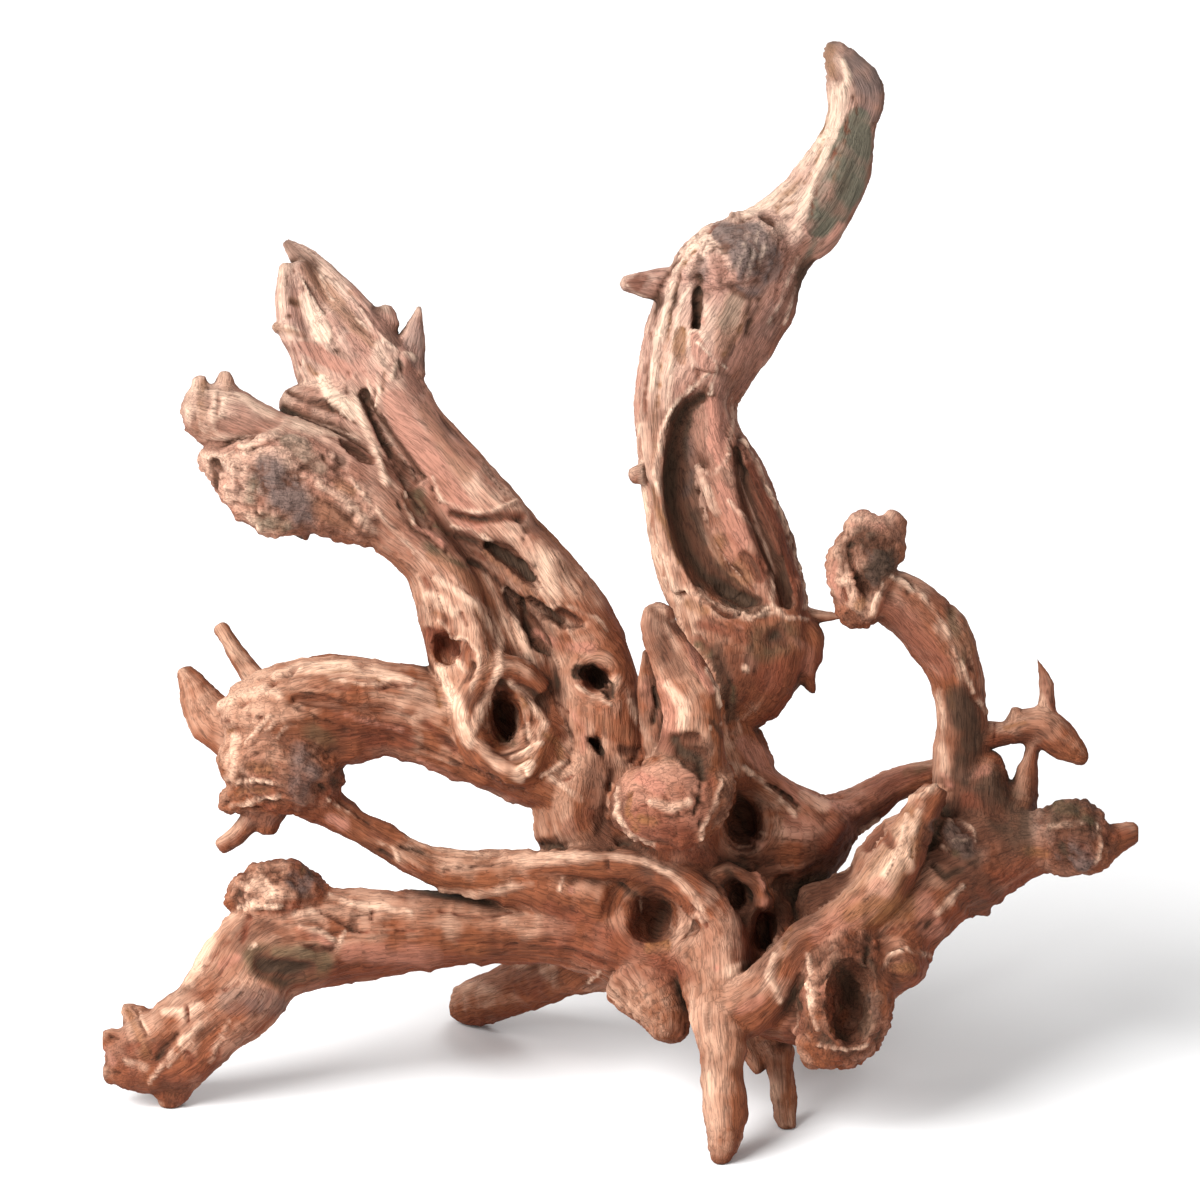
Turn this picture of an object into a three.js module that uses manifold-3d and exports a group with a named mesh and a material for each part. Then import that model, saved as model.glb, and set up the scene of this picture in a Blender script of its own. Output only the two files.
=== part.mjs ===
// A piece of driftwood: the stripped stump end of a small tree, with its limbs, roots and knots,
// worn by water. It grew as one piece, so it is one solid. Units are millimetres, +Z is up.
//
// Each limb is a loft along a smooth path. A station of a path is [x, y, z, half width, half depth].
// The stations lie on a leaning board: x to the right, y away from the front, z up along the board.
// The board leans back by LEAN. What reaches below FLOOR is worn off flat there, so that the wood
// rests on its root tips.

import * as THREE from "three";
import { mergeVertices } from "three/addons/utils/BufferGeometryUtils.js";
import Module from "manifold-3d";

// Driving dimensions
const LEAN = THREE.MathUtils.degToRad(20);
const FLOOR = -358;
const BOARD_AT = { x: -15, y: 32 }; // where the board's origin stands, seen from above
const TIP_DOME = 0.45; // how far a limb's end bulges out, as a share of its smaller half size
const LOBE_DRIFT = 0.35; // how far the lobes turn from one station to the next, in radians
const FLOOR_SLAB = { size: 1200, thick: 100 };
const WOOD_COLOUR = 0xc39a7e;
const WOOD_ROUGHNESS = 0.85;

// Which way the half depth of a section points: into the board, or up it for a bored hole.
const ACROSS_BOARD = new THREE.Vector3(0, 1, 0);
const ALONG_BOARD = new THREE.Vector3(0, 0, 1);

// The tall limb on the right of the middle, with its hooked head, burl, twig, spike and ridges
const tallLimb = {
  sides: 12,
  lobes: 5,
  lobeDepth: 0.05,
  path: [
    [173, 32, 417, 4.5, 4],
    [182, 32, 405, 13.5, 9],
    [193, 31, 382, 21.5, 12],
    [187, 29, 355, 18.5, 14],
    [183, 28, 337, 22, 17],
    [172, 27, 313, 26.5, 20],
    [156, 26, 290, 29, 23],
    [131, 25, 266, 33, 27],
    [108, 25, 241, 45, 31],
    [92, 25, 221, 48, 33],
    [78, 24, 198, 46, 32],
    [65, 21, 160, 37.5, 28],
    [64, 20, 138, 36.5, 28],
    [67, 18, 118, 38, 29],
    [76, 16, 93, 44, 31],
    [90, 13, 50, 50, 34],
    [102, 10, 12, 49, 36],
    [113, 5, -30, 46, 35],
    [110, 2, -57, 40, 32],
    [101, 1, -71, 31, 28],
    [90, 0, -83, 22, 26],
    [91, 0, -100, 25, 27],
    [100, 0, -128, 31, 30],
  ],
};
const shoulderBurl = {
  sides: 10,
  path: [
    [68, 12, 250, 16, 16],
    [84, 8, 254, 25, 25],
    [106, 6, 260, 28.5, 28],
    [124, 10, 270, 24, 20],
  ],
};
const shoulderTwig = {
  sides: 6,
  path: [
    [62, 20, 236, 14, 9],
    [38, 10, 236, 12, 8],
    [19, 3, 237, 6.5, 6],
  ],
};
const limbThorn = {
  sides: 6,
  path: [
    [40, 14, 96, 11, 9],
    [25, 9, 93, 5.5, 5],
  ],
};
const limbSpike = {
  sides: 6,
  path: [
    [148, 8, -12, 7, 7],
    [166, 6, -12, 4.5, 4.5],
    [187, 4, -13, 0.6, 0.6],
  ],
};
const skirt = {
  sides: 8,
  path: [
    [146, 4, -18, 13, 14],
    [155, 3, -34, 14, 14],
    [154, 3, -54, 8, 9],
    [160, 2, -69, 1.2, 1.5],
  ],
};
const limbRidge = {
  sides: 6,
  path: [
    [60, 14, 250, 5, 6],
    [43, 9, 200, 7, 7],
    [37, 3, 140, 7, 7],
    [45, -4, 75, 7, 7],
    [60, -6, 8, 6.5, 6],
  ],
};
const flapPlate = {
  sides: 6,
  path: [
    [93, -4, 205, 5, 4],
    [84, -8, 190, 13, 6],
    [80, -9, 174, 8, 4],
  ],
};

// The broken strands at the upper left, which run together into the trunk
const spearStrand = {
  sides: 8,
  path: [
    [-236, 28, 269, 3, 3],
    [-227, 27, 260, 8, 5],
    [-214, 25, 249, 9, 7],
    [-188, 18, 218, 15, 13],
    [-155, 10, 172, 18, 17],
  ],
};
const slabFace = {
  sides: 8,
  path: [
    [-227, 15, 250, 6, 7],
    [-222, 14, 232, 11, 10],
    [-216, 13, 214, 16, 12],
    [-206, 12, 196, 18, 14],
  ],
};
const fibreSlab = {
  sides: 8,
  path: [
    [-236, 14, 250, 4, 5],
    [-235, 11, 232, 8, 10],
    [-231, 8, 206, 11, 12],
    [-222, 8, 186, 11, 13],
    [-214, 8, 168, 14, 14],
    [-203, 8, 155, 14, 14],
  ],
};
const slabTooth = {
  sides: 6,
  path: [
    [-232, 6, 206, 6, 6],
    [-243, 4, 204, 3.5, 3.5],
  ],
};
const ledgeTooth = {
  sides: 8,
  path: [
    [-198, 4, 140, 28, 16],
    [-219, 0, 145, 19, 12],
    [-236, -4, 149, 10, 7],
  ],
};
const upperStrand = {
  sides: 10,
  lobes: 4,
  lobeDepth: 0.05,
  path: [
    [-208, 14, 208, 25, 16],
    [-188, 12, 182, 31, 20],
    [-166, 10, 157, 31, 22],
    [-143, 8, 131, 26, 24],
    [-101, 5, 85, 24, 25],
    [-62, 2, 42, 23.5, 27],
    [-38, 0, 12, 25.5, 28],
    [-19, 0, -14, 27.5, 29],
    [-6, 0, -50, 30, 30],
    [3, 0, -98, 32, 33],
    [10, 0, -150, 35, 36],
  ],
};
const strandThorn = {
  sides: 6,
  path: [
    [-147, 14, 174, 16, 10],
    [-140, 17, 198, 9.5, 7],
    [-135.5, 18, 220, 1.5, 1.5],
  ],
};
const strandPlate = {
  sides: 6,
  path: [
    [-172, 14, 196, 14, 8],
    [-162, 16, 208, 11, 6],
    [-162, 16, 219, 6, 4.5],
  ],
};
const trunkCore = {
  sides: 8,
  path: [
    [-192, 6, 142, 20, 18],
    [-152, 6, 102, 26, 19],
    [-112, 6, 58, 30, 20],
    [-78, 6, 14, 32, 21],
    [-56, 7, -38, 33, 22],
    [-38, 5, -112, 31, 26],
  ],
};
const leftStrand = {
  sides: 10,
  lobes: 4,
  lobeDepth: 0.05,
  path: [
    [-304, -27, 143, 18, 14],
    [-280, -24, 135, 23, 18],
    [-255, -22, 124, 21.5, 20],
    [-203, -18, 98, 27, 24],
    [-176, -14, 80, 28, 26],
    [-150, -10, 57, 27, 27],
    [-124, -8, 30, 24, 28],
    [-111, -6, 0, 27, 28],
    [-97, -4, -48, 30, 31],
    [-80, -3, -90, 37, 34],
    [-58, -2, -112, 39, 34],
    [-32, 0, -132, 29, 33],
    [-4, 0, -150, 26, 32],
  ],
};
const strandTineA = {
  sides: 6,
  path: [
    [-298, -26, 148, 8, 8],
    [-300, -28, 165, 5, 4.5],
  ],
};
const strandTineB = {
  sides: 6,
  path: [
    [-281, -24, 150, 11, 8],
    [-280.5, -22, 169, 4.5, 4],
  ],
};
const greyBurl = {
  sides: 10,
  lobes: 3,
  lobeDepth: 0.05,
  path: [
    [-288, -25, 108, 13, 12],
    [-269, -28, 91, 22, 23],
    [-244, -30, 86, 36, 31],
    [-216, -27, 84, 33, 29],
    [-172, -16, 64, 21, 22],
  ],
};
const burlNub = {
  sides: 6,
  path: [
    [-227, -24, 60, 13, 12],
    [-221, -22, 45.5, 5, 6],
  ],
};
const burlCrest = {
  sides: 6,
  path: [
    [-290, -36, 106, 4, 5],
    [-262, -44, 116, 5, 6],
    [-243, -48, 119, 5, 6],
    [-222, -46, 116, 5, 6],
    [-200, -42, 104, 5, 6],
  ],
};
const swirlStrand = {
  sides: 6,
  path: [
    [-110, -26, 24, 8, 9],
    [-102, -28, 0, 9, 10],
    [-95, -30, -22, 10, 11],
    [-91, -32, -46, 10, 11],
  ],
};
const knotRim = {
  sides: 6,
  path: [
    [-44, -24, -66, 7, 9],
    [-62, -31, -52, 8, 10],
    [-88, -34, -59, 9, 11],
    [-99, -35, -93, 10, 12],
    [-80, -36, -123, 10, 12],
    [-56, -34, -127, 9, 11],
    [-40, -27, -100, 7, 8],
  ],
};

// The left limb, which ends in a burl with a spur, a twig and small root stubs
const leftLimb = {
  sides: 10,
  lobes: 4,
  lobeDepth: 0.05,
  path: [
    [-266, -18, -86, 24, 20],
    [-245, -20, -89, 35, 28],
    [-222, -18, -87, 41, 33],
    [-198, -14, -83, 40, 34],
    [-162, -8, -80, 34, 31],
    [-126, -4, -88, 35, 30],
    [-78, 0, -106, 36, 34],
  ],
};
const limbBurl = {
  sides: 8,
  path: [
    [-270, -18, -120, 17, 18],
    [-248, -24, -121, 33, 28],
    [-224, -24, -127, 32, 29],
    [-209, -16, -133, 17, 20],
  ],
};
const spur = {
  sides: 8,
  path: [
    [-262, 2, -100, 26, 18],
    [-284, 8, -95, 20, 14],
    [-299, 13, -80, 15.5, 11],
    [-307, 16, -63, 9.5, 8.5],
    [-313, 19, -54, 6.5, 6],
  ],
};
const rearTwig = {
  sides: 6,
  path: [
    [-236, 0, -86, 10, 10],
    [-263, 42, -56, 8, 8],
    [-287, 58, -21, 5.5, 5.5],
  ],
};
const rootNub = {
  sides: 6,
  path: [
    [-256, -14, -140, 20, 18],
    [-272, -12, -149, 11, 12],
    [-280, -10, -152, 6, 7],
  ],
};
const longStub = {
  sides: 6,
  path: [
    [-250, -10, -148, 16, 16],
    [-261, -6, -164, 8, 9],
    [-272, -2, -177, 7, 7],
    [-284, 2, -184, 6, 6],
  ],
};
const shortStub = {
  sides: 6,
  path: [
    [-244, -10, -150, 14, 14],
    [-249, -8, -165, 9.5, 9],
    [-250, -6, -174, 5.5, 5],
  ],
};

// The thin bridge from the left limb's burl back to the trunk, under the open loop
const bridge = {
  sides: 8,
  path: [
    [-216, -16, -148, 18, 18],
    [-197, -16, -160, 12.5, 12],
    [-169, -16, -178, 12, 11],
    [-140, -16, -193, 12, 12],
    [-118, -16, -201, 14.5, 14],
    [-80, -15, -206, 18, 20],
    [-4, -6, -220, 29, 30],
  ],
};
const bridgeThorn = {
  sides: 6,
  path: [
    [-206, -12, -142, 9, 9],
    [-192, -12, -151, 4, 4],
    [-175, -12, -161, 0.7, 0.7],
  ],
};
const bridgeTab = {
  sides: 6,
  path: [
    [-108, -14, -204, 12, 10],
    [-117, -14, -214, 4, 4],
  ],
};

// The long root at the lower left
const leftRoot = {
  sides: 10,
  lobes: 4,
  lobeDepth: 0.05,
  path: [
    [60, 0, -258, 42, 40],
    [-10, 4, -245, 32, 30],
    [-50, 6, -245, 28, 27],
    [-90, 6, -247, 26, 25],
    [-160, 0, -249, 32, 28],
    [-222, -10, -254, 38, 32],
    [-253, -10, -266, 38, 33],
    [-271, -8, -289, 37, 31],
    [-292, -5, -311, 32, 28],
    [-315, -2, -330, 32, 25],
    [-337, 0, -342, 29, 22],
    [-356, 0, -347, 21, 17],
  ],
};
const rootKnob = {
  sides: 10,
  path: [
    [-265, -12, -220, 14, 16],
    [-254, -16, -219, 23, 24],
    [-236, -18, -219, 25, 26],
    [-220, -12, -218, 18, 20],
  ],
};
const rootFlap = {
  sides: 6,
  path: [
    [-338, 4, -327, 19, 10],
    [-349, 7, -313, 11, 7],
    [-356, 8, -305, 3, 3],
  ],
};
const rootEndUpper = {
  sides: 6,
  path: [
    [-353, -2, -334, 14, 11],
    [-370, -4, -327, 7, 7],
  ],
};
const rootEndLower = {
  sides: 6,
  path: [
    [-352, 0, -352, 14, 11],
    [-369, 0, -357, 6.5, 6],
  ],
};
const leftToe = {
  sides: 8,
  path: [
    [-308, -2, -338, 22, 20],
    [-320, 2, -360, 16, 14],
    [-323, 5, -381, 6.5, 8],
  ],
};

// The trunk's foot: front arch, hub and the short roots that the wood stands on
const hub = {
  sides: 10,
  lobes: 5,
  lobeDepth: 0.05,
  path: [
    [-10, 0, -138, 32, 34],
    [-11, 0, -168, 36, 36],
    [22, 3, -196, 46, 40],
    [62, 4, -218, 54, 44],
    [100, 0, -246, 48, 42],
    [124, -4, -280, 34, 36],
  ],
};
const hubStrand = {
  sides: 8,
  path: [
    [84, -10, -120, 11, 13],
    [108, -8, -128, 13, 15],
    [150, 2, -157, 16, 18],
    [168, 8, -176, 20, 22],
  ],
};
const frontArch = {
  sides: 8,
  path: [
    [-68, -22, -198, 9, 11],
    [-10, -38, -195, 11, 14],
    [20, -44, -196, 12, 15],
    [48, -50, -204, 13, 17],
    [72, -54, -219, 14, 17],
    [90, -56, -238, 15, 17],
    [94, -60, -282, 16, 18],
  ],
};
const ringLip = {
  sides: 6,
  path: [
    [82, -44, -208, 6, 8],
    [97, -48, -202, 6, 9],
    [117, -47, -212, 6, 9],
    [121, -42, -232, 6, 9],
    [108, -38, -246, 7, 9],
  ],
};
const frontStub = {
  sides: 8,
  path: [
    [86, -36, -268, 30, 28],
    [88, -62, -304, 20, 20],
    [91, -78, -335, 17.5, 16],
    [92, -86, -361, 14.5, 14],
    [92.5, -92, -384, 14.5, 14],
    [91, -96, -403, 11, 11],
    [89, -98, -417, 6, 7],
  ],
};
const thinStub = {
  sides: 8,
  path: [
    [116, -6, -298, 26, 24],
    [129.5, -18, -330, 14, 14],
    [134, -26, -352, 9, 9],
    [140, -36, -394, 7, 6.5],
  ],
};
const stubFlake = {
  sides: 6,
  path: [
    [111, -20, -330, 8, 6],
    [117, -24, -345, 6, 4],
    [119, -24, -352, 4, 3],
  ],
};
const bluntStub = {
  sides: 8,
  path: [
    [36, -8, -282, 32, 26],
    [51, -26, -310, 18, 14],
    [50, -30, -326, 11, 9],
  ],
};
const rearStub = {
  sides: 8,
  path: [
    [6, 40, -262, 30, 28],
    [-34, 82, -281, 22, 22],
    [-90, 143, -305, 17.5, 18],
    [-101, 158, -310, 14, 15],
  ],
};
const rearRoot = {
  sides: 8,
  path: [
    [130, 20, -240, 38, 36],
    [158, 76, -266, 28, 28],
    [176, 128, -286, 20, 20],
    [188, 206, -313, 12, 12],
  ],
};

// The front bulb with its upright broken stub
const uprightStub = {
  sides: 8,
  lobes: 3,
  lobeDepth: 0.06,
  path: [
    [44, -96, -8, 11, 9],
    [47, -94, -26, 14, 12],
    [65, -90, -62, 20, 17],
    [70, -87, -85, 20.5, 19],
    [69, -82, -110, 24, 20],
    [66, -74, -136, 24, 22],
  ],
};
const stubWall = {
  sides: 6,
  path: [
    [34, -66, -38, 3.5, 6],
    [37, -62, -58, 9, 9],
    [41, -58, -84, 12, 12],
    [48, -66, -136, 14, 16],
  ],
};
const bulb = {
  sides: 10,
  path: [
    [22, -78, -153, 18, 17],
    [38, -84, -151, 31, 27],
    [55, -85, -149, 35, 30],
    [72, -80, -144, 30, 27],
    [82, -70, -136, 19, 19],
  ],
};
const bulbRoot = {
  sides: 8,
  path: [
    [54, -72, -158, 26, 24],
    [60, -36, -180, 32, 30],
    [72, -4, -204, 38, 36],
  ],
};

// The limb to the right, its branch, and the arch that curls over with a knob at its end
const rightBranch = {
  sides: 10,
  lobes: 4,
  lobeDepth: 0.05,
  path: [
    [92, 4, -186, 52, 40],
    [126, 10, -183, 48, 36],
    [152, 18, -181, 34, 31],
    [179, 30, -166, 19, 21],
    [206, 40, -151, 13.5, 15],
    [225, 46, -139, 11.5, 12],
    [268, 36, -126, 11, 10],
  ],
};
const arch = {
  sides: 10,
  lobes: 4,
  lobeDepth: 0.05,
  path: [
    [273, 4, -166, 20, 22],
    [270.5, 5, -120, 18, 18],
    [270.5, -3, -76, 17.5, 19],
    [265, -11, -50, 20, 20],
    [253, -19, -28, 23, 21],
    [236, -27, -11, 22, 20],
    [219, -35, 1, 20, 19],
    [206, -40, 4, 18, 17],
  ],
};
const archKnob = {
  sides: 8,
  path: [
    [196, -41, -9, 15, 15],
    [193, -43, 10, 22.5, 21],
    [196, -45, 30, 24, 22],
    [203, -45, 44, 24, 19],
    [204, -43, 52, 22, 14],
  ],
};
const knobFinger = {
  sides: 6,
  path: [
    [212, -42, 46, 13, 13],
    [221, -40, 61, 8.5, 8],
  ],
};
const archCollar = {
  sides: 6,
  path: [
    [213, -50, 15, 4, 6],
    [207, -56, 1, 4.5, 6],
    [204, -52, -12, 3, 5],
  ],
};
const twig = {
  sides: 6,
  path: [
    [276, 4, -103, 11, 11],
    [306, 9, -99.5, 8, 9],
    [314, 10, -96, 12, 11],
    [330, 10, -94, 13.5, 12],
    [343, 9, -103, 13, 11],
    [355, 7, -112, 10, 8],
    [364, 5, -118, 5.5, 5],
  ],
};
const twigKnob = {
  sides: 6,
  path: [
    [313, 8, -92, 6, 6],
    [312, 6, -82, 4, 4],
  ],
};
const twigSpur = {
  sides: 6,
  path: [
    [335, 11, -90, 7, 7],
    [336, 13, -70, 6, 5],
    [334, 14, -57, 4.5, 4],
    [328, 15, -44, 0.8, 0.8],
  ],
};
const twigLeg = {
  sides: 6,
  path: [
    [326, 12, -104, 6, 6],
    [322, 12, -122, 5.5, 6],
    [315, 8, -156, 14, 15],
    [308, 2, -174, 22, 22],
  ],
};

// The root mass at the lower right, with its burls, ring knot and hollow knob
const boulder = {
  sides: 8,
  path: [
    [290, 10, -124, 12, 14],
    [287, 8, -137, 20, 22],
    [285, 4, -158, 25, 26],
    [286, 0, -180, 29, 28],
  ],
};
const rightLimb = {
  sides: 10,
  lobes: 4,
  lobeDepth: 0.05,
  path: [
    [342, -18, -180, 17, 17],
    [318, -12, -184, 22, 22],
    [298, -10, -190, 29, 28],
    [276, -14, -198, 35, 32],
    [256, -22, -209, 33, 34],
    [236, -34, -227, 34, 33],
    [188, -60, -276, 36, 34],
    [160, -58, -296, 35, 30],
    [126, -40, -298, 29, 28],
  ],
};
const backPanel = {
  sides: 8,
  path: [
    [250, -12, -162, 12, 14],
    [234, -14, -170, 13, 15],
    [214, -16, -188, 16, 17],
    [195, -18, -214, 15, 20],
    [164, -16, -234, 22, 22],
  ],
};
const endBurl = {
  sides: 8,
  path: [
    [334, -18, -177, 20, 17],
    [350, -22, -177, 27.5, 25],
    [363, -22, -180, 25, 22],
    [373, -20, -187, 18, 15],
  ],
};
const endSpur = {
  sides: 6,
  path: [
    [372, -20, -185, 15, 13],
    [388, -18, -178, 10.5, 9],
    [400, -16, -174, 7.5, 7],
  ],
};
const limbBarbA = {
  sides: 6,
  path: [
    [286, -8, -210, 12, 12],
    [300, -6, -226, 2.5, 3],
  ],
};
const limbBarbB = {
  sides: 6,
  path: [
    [272, -14, -222, 14, 14],
    [290, -10, -234, 1.5, 2],
  ],
};
const frontRoot = {
  sides: 10,
  lobes: 3,
  lobeDepth: 0.06,
  path: [
    [250, -34, -146, 11, 12],
    [238, -48, -164, 14, 15],
    [224, -60, -190, 17, 18],
    [209, -68, -213, 17, 18],
    [190, -73, -233, 17, 18],
    [168, -76, -249, 16, 18],
    [149, -78, -257, 15, 17],
    [122, -76, -292, 20, 20],
    [104, -64, -304, 22, 22],
  ],
};
const hollowKnob = {
  sides: 10,
  lobes: 5,
  lobeDepth: 0.04,
  path: [
    [184, -78, -262, 24, 24],
    [184, -88, -284, 33, 30],
    [183, -92, -303, 34.5, 31],
    [180, -90, -320, 30, 26],
    [173, -86, -333, 20, 16],
  ],
};
const knobToe = {
  sides: 6,
  path: [
    [162, -78, -325, 17, 15],
    [159, -84, -343, 8, 7],
  ],
};
const ringKnot = {
  facing: ALONG_BOARD,
  sides: 8,
  path: [
    [224, -48, -266, 21, 21],
    [223, -76, -271, 18, 18],
    [223, -90, -273, 13, 13],
  ],
};
const fibrousBurl = {
  sides: 8,
  path: [
    [252, -34, -170, 10, 10],
    [264, -36, -182, 14, 15],
    [274, -32, -196, 11, 12],
  ],
};

// Strands and stubs on the back
const limbBackRidge = {
  sides: 6,
  path: [
    [152, 46, 292, 8, 8],
    [108, 52, 236, 11, 10],
    [68, 47, 160, 10, 10],
    [86, 46, 70, 11, 10],
    [110, 34, -48, 10, 9],
  ],
};
const trunkBackRidge = {
  sides: 6,
  path: [
    [-150, 26, 136, 11, 10],
    [-50, 22, 12, 15, 15],
    [-12, 26, -110, 17, 18],
    [14, 36, -192, 15, 15],
  ],
};
const rearBranchStub = {
  sides: 8,
  path: [
    [0, 20, -60, 26, 24],
    [-8, 66, -50, 17, 17],
    [-14, 90, -44, 12, 12],
  ],
};
const rearMidRoot = {
  sides: 8,
  path: [
    [44, 30, -210, 36, 34],
    [32, 86, -225, 25, 25],
    [20, 126, -233, 17, 17],
    [12, 148, -238, 12, 12],
  ],
};
const limbBackTwig = {
  sides: 6,
  path: [
    [92, 40, 60, 16, 16],
    [84, 64, 74, 9, 9],
    [78, 82, 86, 6, 6],
  ],
};

const limbs = [
  tallLimb, shoulderBurl, shoulderTwig, limbThorn, limbSpike, skirt, limbRidge, flapPlate,
  spearStrand, slabFace, fibreSlab, slabTooth, ledgeTooth, upperStrand, strandThorn,
  strandPlate, trunkCore, leftStrand, strandTineA, strandTineB, greyBurl, burlNub, burlCrest,
  swirlStrand, knotRim, leftLimb, limbBurl, spur, rearTwig, rootNub, longStub, shortStub,
  bridge, bridgeThorn, bridgeTab, leftRoot, rootKnob, rootFlap, rootEndUpper, rootEndLower,
  leftToe, hub, hubStrand, frontArch, ringLip, frontStub, thinStub, stubFlake, bluntStub,
  rearStub, rearRoot, uprightStub, stubWall, bulb, bulbRoot, rightBranch, arch, archKnob,
  knobFinger, archCollar, twig, twigKnob, twigSpur, twigLeg, boulder, rightLimb, backPanel,
  endBurl, endSpur, limbBarbA, limbBarbB, frontRoot, hollowKnob, knobToe, ringKnot, fibrousBurl,
  limbBackRidge, trunkBackRidge, rearBranchStub, rearMidRoot, limbBackTwig,
];

// Hollows worn or rotted into the wood
const limbHollow = {
  sides: 8,
  path: [
    [74, -14, 162, 5, 8],
    [67, -14, 138, 14, 18],
    [65, -16, 98, 17, 25],
    [75, -20, 54, 22, 27],
    [93, -23, 18, 25, 25],
    [104, -25, 4, 18, 18],
  ],
};
const limbGroove = {
  sides: 6,
  path: [
    [101, -8, 114, 3, 10],
    [107, -13, 85, 7, 14],
    [124, -18, 40, 9, 16],
    [139, -20, -3, 7, 12],
  ],
};
const knotHole = {
  facing: ALONG_BOARD,
  sides: 8,
  path: [
    [-72, -70, -88, 17, 27],
    [-72, -30, -89, 15, 23],
    [-70, 4, -90, 8, 13],
  ],
};
const frontHollow = {
  facing: ALONG_BOARD,
  sides: 8,
  path: [
    [38, -90, -237, 25, 26],
    [39, -44, -239, 23, 23],
    [40, -18, -240, 14, 14],
  ],
};
const hubHole = {
  facing: ALONG_BOARD,
  sides: 8,
  path: [
    [110, -70, -166, 18, 25],
    [108, -24, -166, 16, 22],
    [106, 2, -168, 9, 12],
  ],
};
const knobCavity = {
  facing: ALONG_BOARD,
  sides: 8,
  path: [
    [188, -150, -296, 22, 36],
    [186, -112, -298, 18, 32],
    [184, -86, -300, 9, 16],
  ],
};
const trunkHole = {
  facing: ALONG_BOARD,
  sides: 8,
  path: [
    [-3, -50, -57, 15, 13],
    [-1, -24, -59, 12, 10],
    [0, -6, -60, 6, 5],
  ],
};
const smallHole = {
  facing: ALONG_BOARD,
  sides: 6,
  path: [
    [-3, -50, -107, 6, 8],
    [-2, -20, -108, 4, 6],
  ],
};
const roughHollow = {
  facing: ALONG_BOARD,
  sides: 8,
  path: [
    [-120, -48, -35, 16, 16],
    [-112, -16, -38, 11, 12],
  ],
};
const ringHollow = {
  facing: ALONG_BOARD,
  sides: 8,
  path: [
    [102, -62, -221, 9, 12],
    [102, -26, -222, 7, 9],
  ],
};
const rootGap = {
  facing: ALONG_BOARD,
  sides: 8,
  path: [
    [123, -62, -248, 11, 21],
    [122, -12, -246, 8, 14],
  ],
};
const limbDimple = {
  facing: ALONG_BOARD,
  sides: 7,
  path: [
    [131, -42, -28, 11, 12],
    [130, -16, -30, 7, 8],
  ],
};
const bulbHollow = {
  sides: 7,
  path: [
    [54, -104, -116, 5, 6],
    [68, -107, -106, 9, 9],
    [80, -102, -114, 5, 6],
  ],
};

// Slots and grooves between the fibres
const darkSlot = {
  sides: 6,
  path: [
    [-70, -16, 6, 4, 8],
    [-60, -14, -8, 7, 11],
    [-48, -14, -22, 8, 12],
    [-38, -16, -36, 5, 8],
  ],
};
const sideSlot = {
  sides: 6,
  path: [
    [-58, -14, 0, 4, 6],
    [-42, -20, -9, 5, 8],
    [-24, -27, -16, 6, 8],
    [-12, -28, -18, 3, 5],
  ],
};
const eyeSlot = {
  sides: 6,
  path: [
    [-86, -14, 42, 4, 6],
    [-72, -20, 33, 8, 10],
    [-58, -22, 21, 7, 9],
    [-46, -26, 10, 3, 5],
  ],
};
const ovalHollow = {
  sides: 6,
  path: [
    [-141, -31, 80, 6, 7],
    [-136, -34, 68, 7, 9],
    [-131, -36, 57, 4, 6],
  ],
};
const flatHollow = {
  sides: 6,
  path: [
    [-192, -28, 120, 3, 5],
    [-180, -31, 111, 6, 8],
    [-168, -31, 103, 3, 5],
  ],
};
const strandGroove = {
  sides: 6,
  path: [
    [-178, -10, 155, 3, 6],
    [-166, -13, 132, 5, 9],
    [-150, -14, 110, 6, 10],
    [-135, -16, 90, 5, 8],
  ],
};
const leftLimbGroove = {
  sides: 6,
  path: [
    [-228, -50, -74, 4, 5],
    [-190, -50, -78, 7, 8],
    [-160, -42, -84, 7, 8],
    [-140, -37, -88, 4, 5],
  ],
};
const knobGroove = {
  sides: 6,
  path: [
    [186, -66, 44, 3, 5],
    [192, -68, 22, 5, 7],
    [199, -60, 4, 4, 6],
  ],
};
const limbSlot = {
  sides: 6,
  path: [
    [73, -6, 230, 3, 6],
    [74, -8, 216, 4.5, 8],
    [72, -6, 203, 3, 6],
  ],
};
const hubSlit = {
  sides: 6,
  path: [
    [120, -26, -136, 2, 6],
    [134, -24, -146, 4, 9],
    [148, -18, -156, 2, 6],
  ],
};
const backHollow = {
  facing: ALONG_BOARD,
  sides: 8,
  path: [
    [100, 80, 20, 13, 24],
    [100, 34, 20, 8, 14],
  ],
};
const trunkBackHollow = {
  facing: ALONG_BOARD,
  sides: 7,
  path: [
    [-78, 70, 40, 10, 15],
    [-76, 16, 38, 6, 9],
  ],
};

const hollows = [
  limbHollow, limbGroove, knotHole, frontHollow, hubHole, knobCavity, trunkHole, smallHole,
  roughHollow, ringHollow, rootGap, limbDimple, bulbHollow, darkSlot, sideSlot, eyeSlot,
  ovalHollow, flatHollow, strandGroove, leftLimbGroove, knobGroove, limbSlot, hubSlit,
  backHollow, trunkBackHollow,
];

// A fibrous tongue left standing in the tall limb's hollow
const limbTongue = {
  sides: 8,
  path: [
    [75, -4, 99, 3, 3],
    [83, -4, 85, 8, 7],
    [91, -5, 65, 11, 9],
    [107, -8, 36, 12, 9],
    [124, -11, 10, 7, 8],
    [128, -13, -6, 5, 7],
  ],
};

const wasm = await Module();
wasm.setup();

// How far out a limb's surface lies at an angle round it: 1, a little more on a lobe, less between.
function lobeScale({ lobes = 0, lobeDepth = 0 }, angle, ring) {
  return 1 + lobeDepth * Math.cos(lobes * angle + LOBE_DRIFT * ring);
}

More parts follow.
